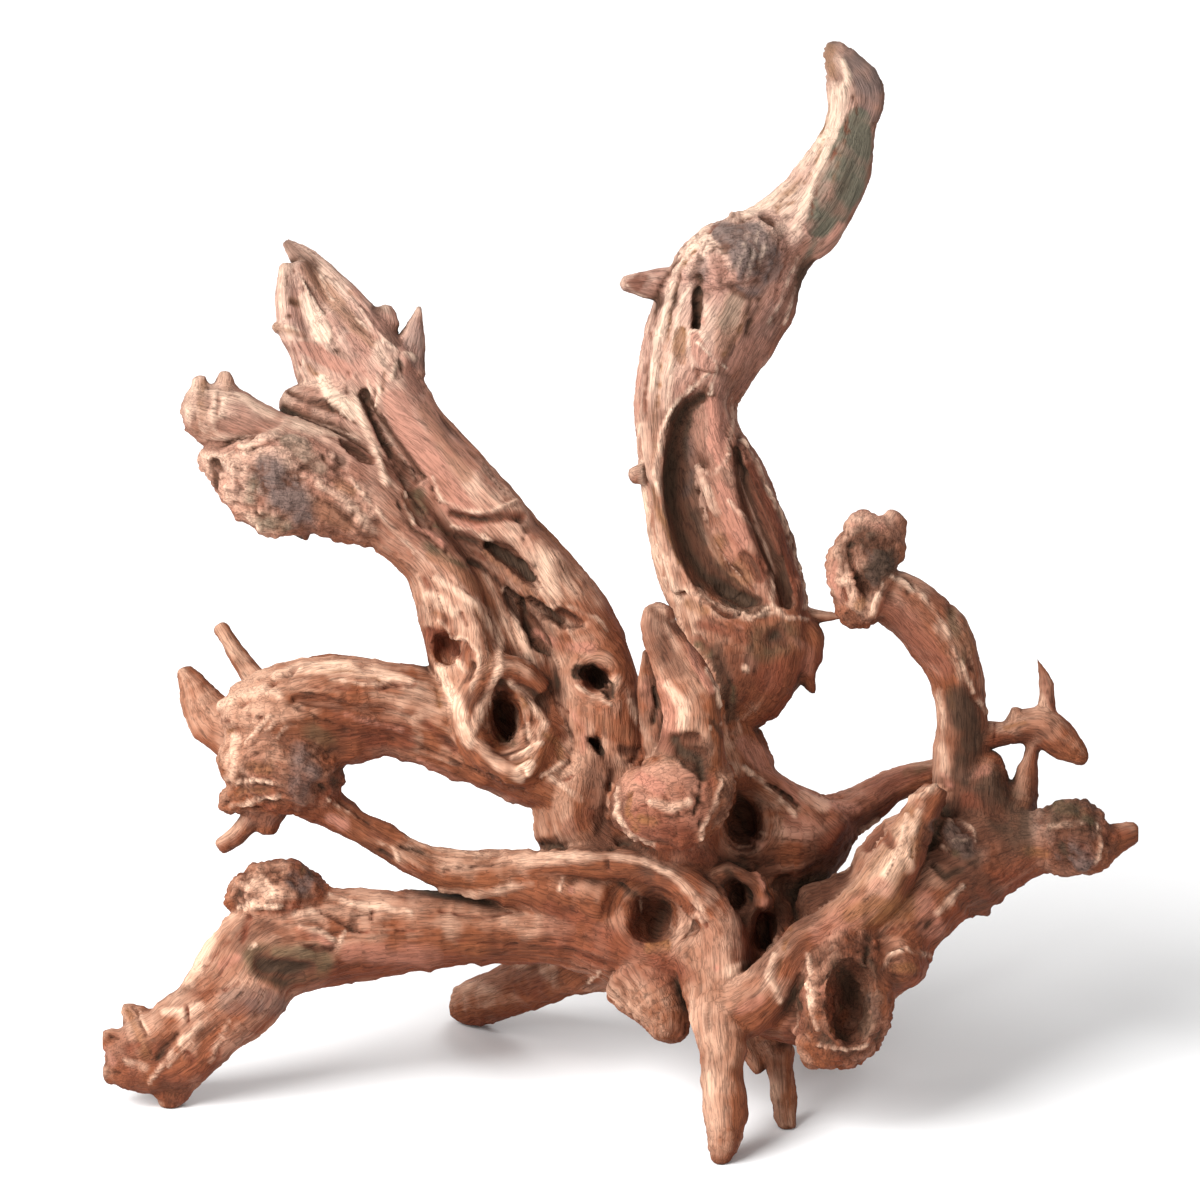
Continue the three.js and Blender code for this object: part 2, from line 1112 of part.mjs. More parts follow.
// The points of one section of a limb, across the way the path runs there.
function sectionPoints(limb, centres, ring) {
  const { path, sides, facing = ACROSS_BOARD } = limb;
  const [, , , halfWidth, halfDepth] = path[ring];
  const before = centres[Math.max(ring - 1, 0)];
  const after = centres[Math.min(ring + 1, path.length - 1)];
  const tangent = after.clone().sub(before).normalize();
  const side = facing.clone().cross(tangent).normalize();
  const depth = tangent.clone().cross(side);
  return Array.from({ length: sides }, (_, i) => {
    const angle = (2 * Math.PI * i) / sides;
    const scale = lobeScale(limb, angle, ring);
    return centres[ring]
      .clone()
      .addScaledVector(side, halfWidth * scale * Math.cos(angle))
      .addScaledVector(depth, halfDepth * scale * Math.sin(angle));
  });
}

// The rounded tip beyond the first or last section.
function tipPoint(limb, centres, ring, inner) {
  const [, , , halfWidth, halfDepth] = limb.path[ring];
  const outward = centres[ring].clone().sub(centres[inner]).normalize();
  return centres[ring].clone().addScaledVector(outward, TIP_DOME * Math.min(halfWidth, halfDepth));
}

// The loft along a limb's path, as one closed solid on the board.
function loft(limb) {
  const { path, sides } = limb;
  const last = path.length - 1;
  const centres = path.map(([x, y, z]) => new THREE.Vector3(x, y, z));
  const points = path.flatMap((_, ring) => sectionPoints(limb, centres, ring));
  const start = points.push(tipPoint(limb, centres, 0, 1)) - 1;
  const end = points.push(tipPoint(limb, centres, last, last - 1)) - 1;
  const triangles = [];
  for (let i = 0; i < sides; i++) {
    const next = (i + 1) % sides;
    triangles.push(start, next, i);
    triangles.push(end, last * sides + i, last * sides + next);
    for (let ring = 0; ring < last; ring++) {
      const low = ring * sides;
      const high = low + sides;
      triangles.push(low + i, low + next, high + next);
      triangles.push(low + i, high + next, high + i);
    }
  }
  return solidOf(points.flatMap((p) => p.toArray()), triangles);
}

function solidOf(coordinates, triangles) {
  return new wasm.Manifold(
    new wasm.Mesh({
      numProp: 3,
      vertProperties: new Float32Array(coordinates),
      triVerts: new Uint32Array(triangles),
    }),
  );
}

function geometryOf(solid) {
  const mesh = solid.getMesh();
  const geometry = new THREE.BufferGeometry();
  geometry.setAttribute("position", new THREE.BufferAttribute(mesh.vertProperties, 3));
  geometry.setIndex(new THREE.BufferAttribute(mesh.triVerts, 1));
  return geometry;
}

function solidFrom(geometry) {
  return solidOf(geometry.getAttribute("position").array, geometry.index.array);
}

const joined = limbs.map(loft).reduce((wood, limb) => wood.add(limb));
const hollowed = hollows.map(loft).reduce((wood, hollow) => wood.subtract(hollow), joined);
const carved = hollowed.add(loft(limbTongue));

// Stand the board up, and wear the root tips flat where they meet the floor.
const standing = geometryOf(carved).rotateX(-LEAN);
const slab = new THREE.BoxGeometry(FLOOR_SLAB.size, FLOOR_SLAB.size, FLOOR_SLAB.thick);
slab.translate(0, 0, FLOOR - FLOOR_SLAB.thick / 2);
slab.deleteAttribute("normal");
slab.deleteAttribute("uv");
const worn = solidFrom(standing).subtract(solidFrom(mergeVertices(slab)));

const driftwood = new THREE.Mesh(
  geometryOf(worn),
  new THREE.MeshStandardMaterial({ color: WOOD_COLOUR, roughness: WOOD_ROUGHNESS, metalness: 0 }),
);
driftwood.name = "driftwood";
driftwood.position.set(BOARD_AT.x, BOARD_AT.y, -FLOOR);

const part = new THREE.Group();
part.add(driftwood);
export default part;
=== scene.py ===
"""A piece of driftwood, dressed for rendering.

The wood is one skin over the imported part. Its limbs follow the part's own paths, joined with soft
fillets, and its surface carries the fibres, burls, knots and hollows of weathered wood.
Paths are in millimetres on a board that leans back, and the skin is made in metres.
"""

import logging
import math
from dataclasses import dataclass, field, fields
from enum import Enum

import bpy
import numpy as np
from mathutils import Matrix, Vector

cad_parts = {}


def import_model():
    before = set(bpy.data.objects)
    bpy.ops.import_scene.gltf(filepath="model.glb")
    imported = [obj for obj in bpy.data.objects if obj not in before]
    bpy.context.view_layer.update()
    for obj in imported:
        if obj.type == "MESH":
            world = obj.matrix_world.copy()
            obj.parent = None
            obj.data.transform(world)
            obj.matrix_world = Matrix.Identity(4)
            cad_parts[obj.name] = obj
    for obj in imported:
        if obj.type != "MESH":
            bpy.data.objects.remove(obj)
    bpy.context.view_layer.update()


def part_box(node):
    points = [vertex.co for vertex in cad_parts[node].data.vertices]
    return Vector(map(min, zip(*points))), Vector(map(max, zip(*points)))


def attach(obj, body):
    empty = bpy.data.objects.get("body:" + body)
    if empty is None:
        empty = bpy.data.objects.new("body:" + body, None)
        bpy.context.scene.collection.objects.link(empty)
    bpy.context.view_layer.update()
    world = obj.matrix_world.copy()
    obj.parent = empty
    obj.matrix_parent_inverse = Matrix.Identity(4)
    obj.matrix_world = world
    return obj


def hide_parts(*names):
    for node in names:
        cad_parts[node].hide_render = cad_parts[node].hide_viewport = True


LOG = logging.getLogger("driftwood")
LEAN = math.radians(20.0)
BOARD_ORIGIN_MM = np.array([-15.0, 32.0, 358.0])
EYE_DISTANCE_MM = 8000.0
MM = 0.001
Station = tuple[float, float, float, float, float]
Places = tuple[np.ndarray, np.ndarray, np.ndarray]


class Growth(Enum):
    """How the surface of a limb grew."""

    FIBROUS = "fibrous"
    BURLED = "burled"


def board_to_frame(points: np.ndarray) -> np.ndarray:
    """Turn points on the leaning board into the part's frame.

    Args:
        points: Board coordinates in millimetres, one row each.

    Returns:
        The same points in the part's frame, in millimetres.
    """
    turned = board_to_frame_direction(points)
    return turned + BOARD_ORIGIN_MM


def board_to_frame_direction(vectors: np.ndarray) -> np.ndarray:
    """Turn directions on the leaning board into the part's frame.

    Args:
        vectors: Board directions, one row each.

    Returns:
        The same directions in the part's frame.
    """
    x, y, z = np.moveaxis(np.asarray(vectors, dtype=float), -1, 0)
    back = y * math.cos(LEAN) + z * math.sin(LEAN)
    up = z * math.cos(LEAN) - y * math.sin(LEAN)
    return np.stack([x, back, up], axis=-1)


def frame_to_board(points: np.ndarray) -> np.ndarray:
    """Turn points of the part's frame back onto the leaning board.

    Args:
        points: Frame coordinates in millimetres, one row each.

    Returns:
        The same points in board coordinates, in millimetres.
    """
    x, y, z = np.moveaxis(points - BOARD_ORIGIN_MM, -1, 0)
    away = y * math.cos(LEAN) - z * math.sin(LEAN)
    up = y * math.sin(LEAN) + z * math.cos(LEAN)
    return np.stack([x, away, up], axis=-1)


def unit(vectors: np.ndarray) -> np.ndarray:
    """Scale vectors to length one."""
    length = np.linalg.norm(vectors, axis=-1, keepdims=True)
    return vectors / np.maximum(length, 1e-9)


class Noise:
    """Smooth, seeded noise in space, between minus one and one."""

    def __init__(self, seed: int) -> None:
        """Draw the table of lattice values.

        Args:
            seed: The seed of the random draw.
        """
        draw = np.random.default_rng(seed)
        self.order = draw.permutation(256).astype(np.int64)
        self.values = draw.uniform(-1.0, 1.0, 256).astype(np.float32)

    def _corner(self, cell: np.ndarray, step: tuple[int, int, int]) -> np.ndarray:
        """Look up the value at one corner of each lattice cell.

        Args:
            cell: Whole lattice coordinates, one row each.
            step: The corner's offset from the cell.

        Returns:
            One value for each row.
        """
        x = (cell[:, 0] + step[0]) & 255
        y = (cell[:, 1] + step[1]) & 255
        z = (cell[:, 2] + step[2]) & 255
        mixed = self.order[(self.order[(self.order[x] + y) & 255] + z) & 255]
        return self.values[mixed]

    def at(self, points: np.ndarray) -> np.ndarray:
        """Sample the noise.

        Args:
            points: Places in lattice units, one row each.

        Returns:
            One value for each row.
        """
        cell = np.floor(points).astype(np.int64)
        part = (points - cell).astype(np.float32)
        ease = part * part * part * (part * (part * 6.0 - 15.0) + 10.0)
        u, v, w = ease[:, 0], ease[:, 1], ease[:, 2]
        planes = []
        for z in (0, 1):
            rows = []
            for y in (0, 1):
                near = self._corner(cell, (0, y, z))
                far = self._corner(cell, (1, y, z))
                rows.append(near + (far - near) * u)
            planes.append(rows[0] + (rows[1] - rows[0]) * v)
        return planes[0] + (planes[1] - planes[0]) * w

    def layered(self, points: np.ndarray, layers: int) -> np.ndarray:
        """Add finer layers of the noise to a coarse one.

        Args:
            points: Places in lattice units, one row each.
            layers: How many layers, each twice as fine and half as strong.

        Returns:
            One value for each row, roughly between minus one and one.
        """
        total = np.zeros(len(points), dtype=np.float32)
        weight = 1.0
        reach = 0.0
        for layer in range(layers):
            total += weight * self.at(points * 2.0**layer + 17.3 * layer)
            reach += weight
            weight *= 0.5
        return total / reach

    def ridged(self, points: np.ndarray, layers: int) -> np.ndarray:
        """Sample noise with sharp crests, as split fibres have.

        Args:
            points: Places in lattice units, one row each.
            layers: How many layers, each twice as fine and half as strong.

        Returns:
            One value for each row, from minus one in a valley to one on a crest.
        """
        total = np.zeros(len(points), dtype=np.float32)
        weight = 1.0
        reach = 0.0
        for layer in range(layers):
            folded = 1.0 - 2.0 * np.abs(self.at(points * 2.0**layer + 31.7 * layer))
            total += weight * folded
            reach += weight
            weight *= 0.5
        return total / reach


@dataclass(frozen=True)
class Stroke:
    """One limb, ridge or hollow: a row of oval sections along a smooth path.

    A station of the path is x, y, z, half width and half depth, in board millimetres.
    """

    path: tuple[Station, ...]
    growth: Growth = Growth.FIBROUS
    lobes: int = 0
    lobe_depth: float = 0.0
    up_board: bool = False
    fillet: float = 6.0

    def sections(self) -> "Sections":
        """Return the stroke's finely spaced sections in the part's frame."""
        return Sections(self)


class Sections:
    """The finely spaced oval sections of a stroke, in millimetres in the part's frame."""

    STEP_MM = 9.0
    LOBE_DRIFT = 0.35
    END_CAP = 0.5

    def __init__(self, stroke: Stroke) -> None:
        """Space out the sections along a smooth curve through the stations.

        Args:
            stroke: The stroke that the sections belong to.
        """
        self.stroke = stroke
        stations = np.array(stroke.path, dtype=float)
        rows, phases = self._smooth(stations)
        centre = rows[:, :3]
        tangent = np.empty_like(centre)
        tangent[1:-1] = centre[2:] - centre[:-2]
        tangent[0] = centre[1] - centre[0]
        tangent[-1] = centre[-1] - centre[-2]
        tangent = unit(tangent)
        facing = np.array([0.0, 0.0, 1.0] if stroke.up_board else [0.0, 1.0, 0.0])
        side = unit(np.cross(facing, tangent))
        depth = np.cross(tangent, side)
        self.centre = board_to_frame(centre)
        self.tangent = board_to_frame_direction(tangent)
        self.side = board_to_frame_direction(side)
        self.depth = board_to_frame_direction(depth)
        self.half_width = rows[:, 3]
        self.half_depth = rows[:, 4]
        self.phase = phases
        steps = np.linalg.norm(np.diff(self.centre, axis=0), axis=1)
        self.along = np.concatenate([[0.0], np.cumsum(steps)])
        self.girth = float(np.mean(0.5 * (self.half_width + self.half_depth)))

    def _smooth(self, stations: np.ndarray) -> tuple[np.ndarray, np.ndarray]:
        """Run a smooth curve through the stations.

        Args:
            stations: The stroke's stations, one row each.

        Returns:
            Closer rows of the same five numbers, and each row's place counted in stations.
        """
        rows = []
        phases = []
        last = len(stations) - 1
        for i in range(last):
            before = stations[max(i - 1, 0)]
            start = stations[i]
            end = stations[i + 1]
            after = stations[min(i + 2, last)]
            gap = float(np.linalg.norm(end[:3] - start[:3]))
            count = max(1, math.ceil(gap / self.STEP_MM))
            for j in range(count):
                t = j / count
                bend = 0.5 * (
                    2.0 * start
                    + (end - before) * t
                    + (2.0 * before - 5.0 * start + 4.0 * end - after) * t**2
                    + (3.0 * start - before - 3.0 * end + after) * t**3
                )
                low = np.minimum(start[3:], end[3:])
                high = np.maximum(start[3:], end[3:])
                bend[3:] = np.clip(bend[3:], low * 0.95, high * 1.03)
                rows.append(bend)
                phases.append(i + t)
        rows.append(stations[-1])
        phases.append(float(last))
        return np.array(rows), np.array(phases)

    def reach(self, index: int, margin: float) -> tuple[np.ndarray, np.ndarray]:
        """Give the box round one span of the stroke.

        Args:
            index: The span, from the section of this number to the next.
            margin: How far the box reaches beyond the surface.

        Returns:
            The box's lowest and highest corners.
        """
        ends = self.centre[index : index + 2]
        size = float(np.max([self.half_width[index : index + 2], self.half_depth[index : index + 2]]))
        pad = size * (1.0 + self.stroke.lobe_depth) + margin
        return ends.min(axis=0) - pad, ends.max(axis=0) + pad

    def span(self, index: int, places: Places) -> tuple[np.ndarray, ...]:
        """Measure places against one span of the stroke.

        Args:
            index: The span, from the section of this number to the next.
            places: The x, y and z of each place in the part's frame.

        Returns:
            The distance from the surface, the place across and deep as shares of the half sizes,
            and the place along the stroke in millimetres.
        """
        start = self.centre[index]
        run = self.centre[index + 1] - start
        length2 = float(run @ run) + 1e-9
        length = math.sqrt(length2)
        ahead = self._dot(places, start, run)
        t = np.clip(ahead / length2, 0.0, 1.0)
        x = self._across(places, start, run, t, self.side[index], self.side[index + 1])
        y = self._across(places, start, run, t, self.depth[index], self.depth[index + 1])
        z = (ahead - t * length2) / length
        half_w = self._between(self.half_width, index, t)
        half_d = self._between(self.half_depth, index, t)
        cap = np.minimum(half_w, half_d)
        if index == 0:
            cap = np.where(t <= 0.0, cap * self.END_CAP, cap)
        if index == len(self.centre) - 2:
            cap = np.where(t >= 1.0, cap * self.END_CAP, cap)
        across = x / half_w
        deep = y / half_d
        beyond = z / cap
        k0 = np.sqrt(across * across + deep * deep + beyond * beyond)
        k1 = np.sqrt((across / half_w) ** 2 + (deep / half_d) ** 2 + (beyond / cap) ** 2)
        if self.stroke.lobes:
            turn = self._between(self.phase, index, t)
            angle = np.arctan2(deep, across)
            wave = np.cos(self.stroke.lobes * angle + self.LOBE_DRIFT * turn)
            scale = 1.0 + self.stroke.lobe_depth * wave
            k0 = k0 / scale
            k1 = k1 / (scale * scale)
        distance = k0 * (k0 - 1.0) / np.maximum(k1, 1e-6)
        return distance, across, deep, self._between(self.along, index, t)

    @staticmethod
    def _dot(places: Places, start: np.ndarray, way: np.ndarray) -> np.ndarray:
        """Measure how far places lie from a start along a direction.

        Args:
            places: The x, y and z of each place.
            start: Where the measure starts.
            way: The direction to measure along.

        Returns:
            The distance of each place along the direction, in millimetres.
        """
        x, y, z = places
        reach = float(start @ way)
        return x * float(way[0]) + y * float(way[1]) + z * float(way[2]) - reach

    def _across(
        self,
        places: Places,
        start: np.ndarray,
        run: np.ndarray,
        t: np.ndarray,
        near: np.ndarray,
        far: np.ndarray,
    ) -> np.ndarray:
        """Measure places across a span whose cross axis turns along the way.

        Args:
            places: The x, y and z of each place.
            start: The span's first centre.
            run: The way to the span's last centre.
            t: How far along the span each place lies, from 0 to 1.
            near: The cross axis at the start.
            far: The cross axis at the end.

        Returns:
            The offset of each place along the cross axis, in millimetres.
        """
        change = far - near
        straight = self._dot(places, start, near) - t * float(run @ near)
        turning = self._dot(places, start, change) - t * float(run @ change)
        return straight + t * turning

    @staticmethod
    def _between(values: np.ndarray, index: int, t: np.ndarray) -> np.ndarray:
        """Give a section's value part way along a span.

        Args:
            values: A value for each section.
            index: The span's first section.
            t: How far along the span each place lies, from 0 to 1.

        Returns:
            The value at each place.
        """
        return float(values[index]) + t * float(values[index + 1] - values[index])

    def nearest(self, points: np.ndarray, margin: float) -> tuple[np.ndarray, np.ndarray, np.ndarray]:
        """Find where points lie on the stroke.

        Args:
            points: Places in the part's frame, in millimetres, one row each.
            margin: How far from the surface still counts.

        Returns:
            The row numbers that are near, their distances, and their places across, deep and
            along in millimetres.
        """
        best = np.full(len(points), np.inf, dtype=np.float32)
        fibre = np.zeros((len(points), 3), dtype=np.float32)
        for index in range(len(self.centre) - 1):
            low, high = self.reach(index, margin)
            rows = np.nonzero(np.all((points > low) & (points < high), axis=1))[0]
            if not len(rows):
                continue
            distance, across, deep, along = self.span(index, tuple(points[rows].T))
            closer = distance < best[rows]
            hits = rows[closer]
            best[hits] = distance[closer]
            fibre[hits, 0] = across[closer] * self.girth
            fibre[hits, 1] = deep[closer] * self.girth
            fibre[hits, 2] = along[closer]
        rows = np.nonzero(best < margin)[0]
        return rows, best[rows], fibre[rows]


class WoodField:
    """Signed distances from the wood's surface, on a grid round the part, in millimetres."""

    CELL_MM = 1.8
    FAR_MM = 20.0
    CUT_FILLET_MM = 3.0

    def __init__(self, low: np.ndarray, high: np.ndarray) -> None:
        """Lay out an empty grid.

        Args:
            low: The part's lowest corner, in millimetres.
            high: The part's highest corner, in millimetres.
        """
        self.low = low - 3.0 * self.CELL_MM
        count = np.ceil((high - self.low) / self.CELL_MM).astype(int) + 4
        self.axes = [
            (self.low[axis] + self.CELL_MM * np.arange(count[axis])).astype(np.float32)
            for axis in range(3)
        ]
        self.values = np.full(tuple(count), self.FAR_MM, dtype=np.float32)

    def _window(self, low: np.ndarray, high: np.ndarray) -> tuple[slice, slice, slice]:
        """Find the part of the grid inside a box.

        Args:
            low: The box's lowest corner, in millimetres.
            high: The box's highest corner, in millimetres.

        Returns:
            A slice of the grid's places along each axis.
        """
        first = np.floor((low - self.low) / self.CELL_MM).astype(int)
        last = np.ceil((high - self.low) / self.CELL_MM).astype(int) + 1
        first = np.clip(first, 0, np.array(self.values.shape) - 1)
        last = np.clip(last, first + 1, self.values.shape)
        return tuple(slice(a, b) for a, b in zip(first, last))

    def _measure(self, sections: Sections) -> tuple[tuple[slice, slice, slice], np.ndarray]:
        """Measure the grid against a whole stroke.

        Args:
            sections: The stroke's sections.

        Returns:
            The part of the grid that the stroke reaches, and its distances there.
        """
        spans = range(len(sections.centre) - 1)
        reaches = [sections.reach(index, self.FAR_MM) for index in spans]
        low = np.min([reach[0] for reach in reaches], axis=0)
        high = np.max([reach[1] for reach in reaches], axis=0)
        whole = self._window(low, high)
        block = np.full(
            tuple(part.stop - part.start for part in whole), self.FAR_MM, dtype=np.float32
        )
        for index, (near, far) in enumerate(reaches):
            window = self._window(near, far)
            x, y, z = (self.axes[axis][window[axis]] for axis in range(3))
            places = (x[:, None, None], y[None, :, None], z[None, None, :])
            distance = sections.span(index, places)[0]
            inner = tuple(
                slice(part.start - outer.start, part.stop - outer.start)
                for part, outer in zip(window, whole)
            )
            np.minimum(block[inner], distance, out=block[inner])
        return whole, block

    @staticmethod
    def _soften(gap: np.ndarray, width: float) -> np.ndarray:
        """Work out how much a fillet fills where two distances are alike.

        Args:
            gap: One distance less the other at each place.
            width: The fillet's width in millimetres.

        Returns:
            How far the fillet raises the surface at each place.
        """
        share = np.maximum(width - np.abs(gap), 0.0) / width
        return share * share * (width * 0.25)

    def add(self, stroke: Stroke) -> None:
        """Join a stroke to the wood with a fillet.

        Args:
            stroke: The limb or ridge to join.
        """
        window, block = self._measure(stroke.sections())
        here = self.values[window]
        fill = self._soften(here - block, stroke.fillet)
        self.values[window] = np.minimum(here, block) - fill

    def cut(self, stroke: Stroke) -> None:
        """Hollow the wood out with a stroke.

        Args:
            stroke: The hollow or groove to cut.
        """
        window, block = self._measure(stroke.sections())
        here = self.values[window]
        fill = self._soften(here + block, self.CUT_FILLET_MM)
        self.values[window] = np.maximum(here, -block) + fill

    def wear_flat(self) -> None:
        """Wear off whatever reaches below the floor."""
        height = self.axes[2][None, None, :]
        np.maximum(self.values, -height, out=self.values)

    def at(self, points: np.ndarray) -> np.ndarray:
        """Read the distance at places between the grid's own.

        Args:
            points: Places in the part's frame, in millimetres, one row each.

        Returns:
            The distance from the surface at each place.
        """
        place = (points - self.low) / self.CELL_MM
        top = np.array(self.values.shape) - 2
        cell = np.clip(np.floor(place).astype(int), 0, top)
        part = np.clip(place - cell, 0.0, 1.0)
        total = np.zeros(len(points))
        for corner in range(8):
            step = np.array([corner & 1, corner >> 1 & 1, corner >> 2 & 1])
            share = np.prod(np.where(step, part, 1.0 - part), axis=1)
            index = cell + step
            total += share * self.values[index[:, 0], index[:, 1], index[:, 2]]
        return total

    def outward(self, points: np.ndarray) -> np.ndarray:
        """Find the way out of the wood at each place.

        Args:
            points: Places in the part's frame, in millimetres, one row each.

        Returns:
            A unit vector for each place.
        """
        slope = np.empty_like(points)
        for axis in range(3):
            step = np.zeros(3)
            step[axis] = self.CELL_MM
            slope[:, axis] = self.at(points + step) - self.at(points - step)
        return unit(slope)

    def skin(self) -> tuple[np.ndarray, np.ndarray]:
        """Draw a net of four-sided faces over the wood's surface.

        Returns:
            The net's points in millimetres, and the four point numbers of each face.
        """
        values = self.values
        inside = values < 0.0
        low = tuple(slice(0, size - 1) for size in values.shape)
        count = np.zeros(tuple(size - 1 for size in values.shape), dtype=np.uint8)
        corners = [(i, j, k) for i in (0, 1) for j in (0, 1) for k in (0, 1)]
        for corner in corners:
            moved = tuple(slice(part.start + s, part.stop + s) for part, s in zip(low, corner))
            count += inside[moved]
        cells = np.stack(np.nonzero((count > 0) & (count < 8)), axis=1)
        number = np.full(count.shape, -1, dtype=np.int32)
        number[cells[:, 0], cells[:, 1], cells[:, 2]] = np.arange(len(cells), dtype=np.int32)
        total = np.zeros((len(cells), 3))
        hits = np.zeros(len(cells))
        for corner in corners:
            for axis in range(3):
                if corner[axis]:
                    continue
                start = cells + np.array(corner)
                end = start.copy()
                end[:, axis] += 1
                near = values[start[:, 0], start[:, 1], start[:, 2]]
                far = values[end[:, 0], end[:, 1], end[:, 2]]
                crossing = (near < 0.0) != (far < 0.0)
                rows = np.nonzero(crossing)[0]
                share = near[rows] / (near[rows] - far[rows])
                spot = start[rows].astype(float)
                spot[:, axis] += share
                total[rows] += spot
                hits[rows] += 1
        points = self.low + self.CELL_MM * total / hits[:, None]
        faces = [self._faces(inside, number, axis) for axis in range(3)]
        return points, np.concatenate(faces)

    @staticmethod
    def _faces(inside: np.ndarray, number: np.ndarray, axis: int) -> np.ndarray:
        """Make the faces that cross the grid's edges along one axis.

        Args:
            inside: Which grid places are in the wood.
            number: The point number of each cell of the grid.
            axis: The edges' axis.

        Returns:
            The four point numbers of each face, with its front to the open side.
        """
        here = [slice(1, size - 1) for size in inside.shape]
        ahead = list(here)
        ahead[axis] = slice(2, inside.shape[axis])
        first = inside[tuple(here)]
        second = inside[tuple(ahead)]
        spots = np.stack(np.nonzero(first != second), axis=1) + 1
        leaving = first[spots[:, 0] - 1, spots[:, 1] - 1, spots[:, 2] - 1]
        u = (axis + 1) % 3
        v = (axis + 2) % 3
        ring = []
        for du, dv in ((-1, -1), (0, -1), (0, 0), (-1, 0)):
            cell = spots.copy()
            cell[:, u] += du
            cell[:, v] += dv
            ring.append(number[cell[:, 0], cell[:, 1], cell[:, 2]])
        faces = np.stack(ring, axis=1)
        faces[~leaving] = faces[~leaving][:, ::-1]
        return faces


@dataclass(frozen=True)
class Knot:
    """A place where the fibres run in rings round a branch scar or a hole."""

    centre: tuple[float, float, float]
    radius: float
    depth: float = 26.0
    turns: float = 3.0

    def nearest(self, points: np.ndarray, margin: float) -> tuple[np.ndarray, np.ndarray, np.ndarray]:
        """Find where points lie round the knot.

        Args:
            points: Places in the part's frame, in millimetres, one row each.
            margin: How far from the knot still counts.

        Returns:
            The row numbers that are near, their distances, and their places in ring coordinates.
        """
        offset = frame_to_board(points) - np.array(self.centre)
        ring = np.hypot(offset[:, 0], offset[:, 2])
        level = np.abs(offset[:, 1])
        away = np.maximum(ring - self.radius, level - self.depth)
        rows = np.nonzero(away < margin)[0]
        turn = np.arctan2(offset[rows, 2], offset[rows, 0])
        fibre = np.stack(
            [ring[rows], self.turns * np.cos(turn), self.turns * np.sin(turn)], axis=1
        )
        return rows, away[rows] - 2.0, fibre


@dataclass(frozen=True)
class Relief:
    """How high the fibres, flakes and burls stand on the wood's surface, in millimetres."""

    stretch: float = 11.0
    swell_pitch: float = 34.0
    swell_height: float = 2.0
    flute_pitch: float = 12.0
    flute_share: float = 0.045
    flute_limits: tuple[float, float] = (0.2, 1.7)
    fibre_pitch: float = 4.4
    fibre_share: float = 0.6
    flake_pitch: float = 19.0
    flake_height: float = 1.3
    flake_levels: float = 3.2
    crack_pitch: float = 9.0
    crack_depth: float = 1.5
    wander_pitch: float = 62.0
    wander: float = 6.0
    calm_pitch: float = 48.0
    lump_pitch: float = 15.0
    lump_height: float = 5.0
    grain_pitch: float = 5.6
    gnarl_pitch: float = 19.0
    gnarl_height: float = 1.7
    gnarl_limits: tuple[float, float] = (0.5, 1.3)
    gnarl_fade_mm: float = 420.0
    burl_stretch: float = 2.4
    burl_smoothness: float = 0.6
    mark_on_swell: float = 0.5
    mark_on_gnarl: float = 0.75
    mark_on_burl: float = 0.85
    lump_share: float = 0.75
    grain_share: float = 0.3
    pit_share: float = 0.55

    def flute_height(self, girth: float) -> float:
        """Give how high a limb's flutes stand for its girth."""
        low, high = self.flute_limits
        return min(max(girth * self.flute_share, low), high)


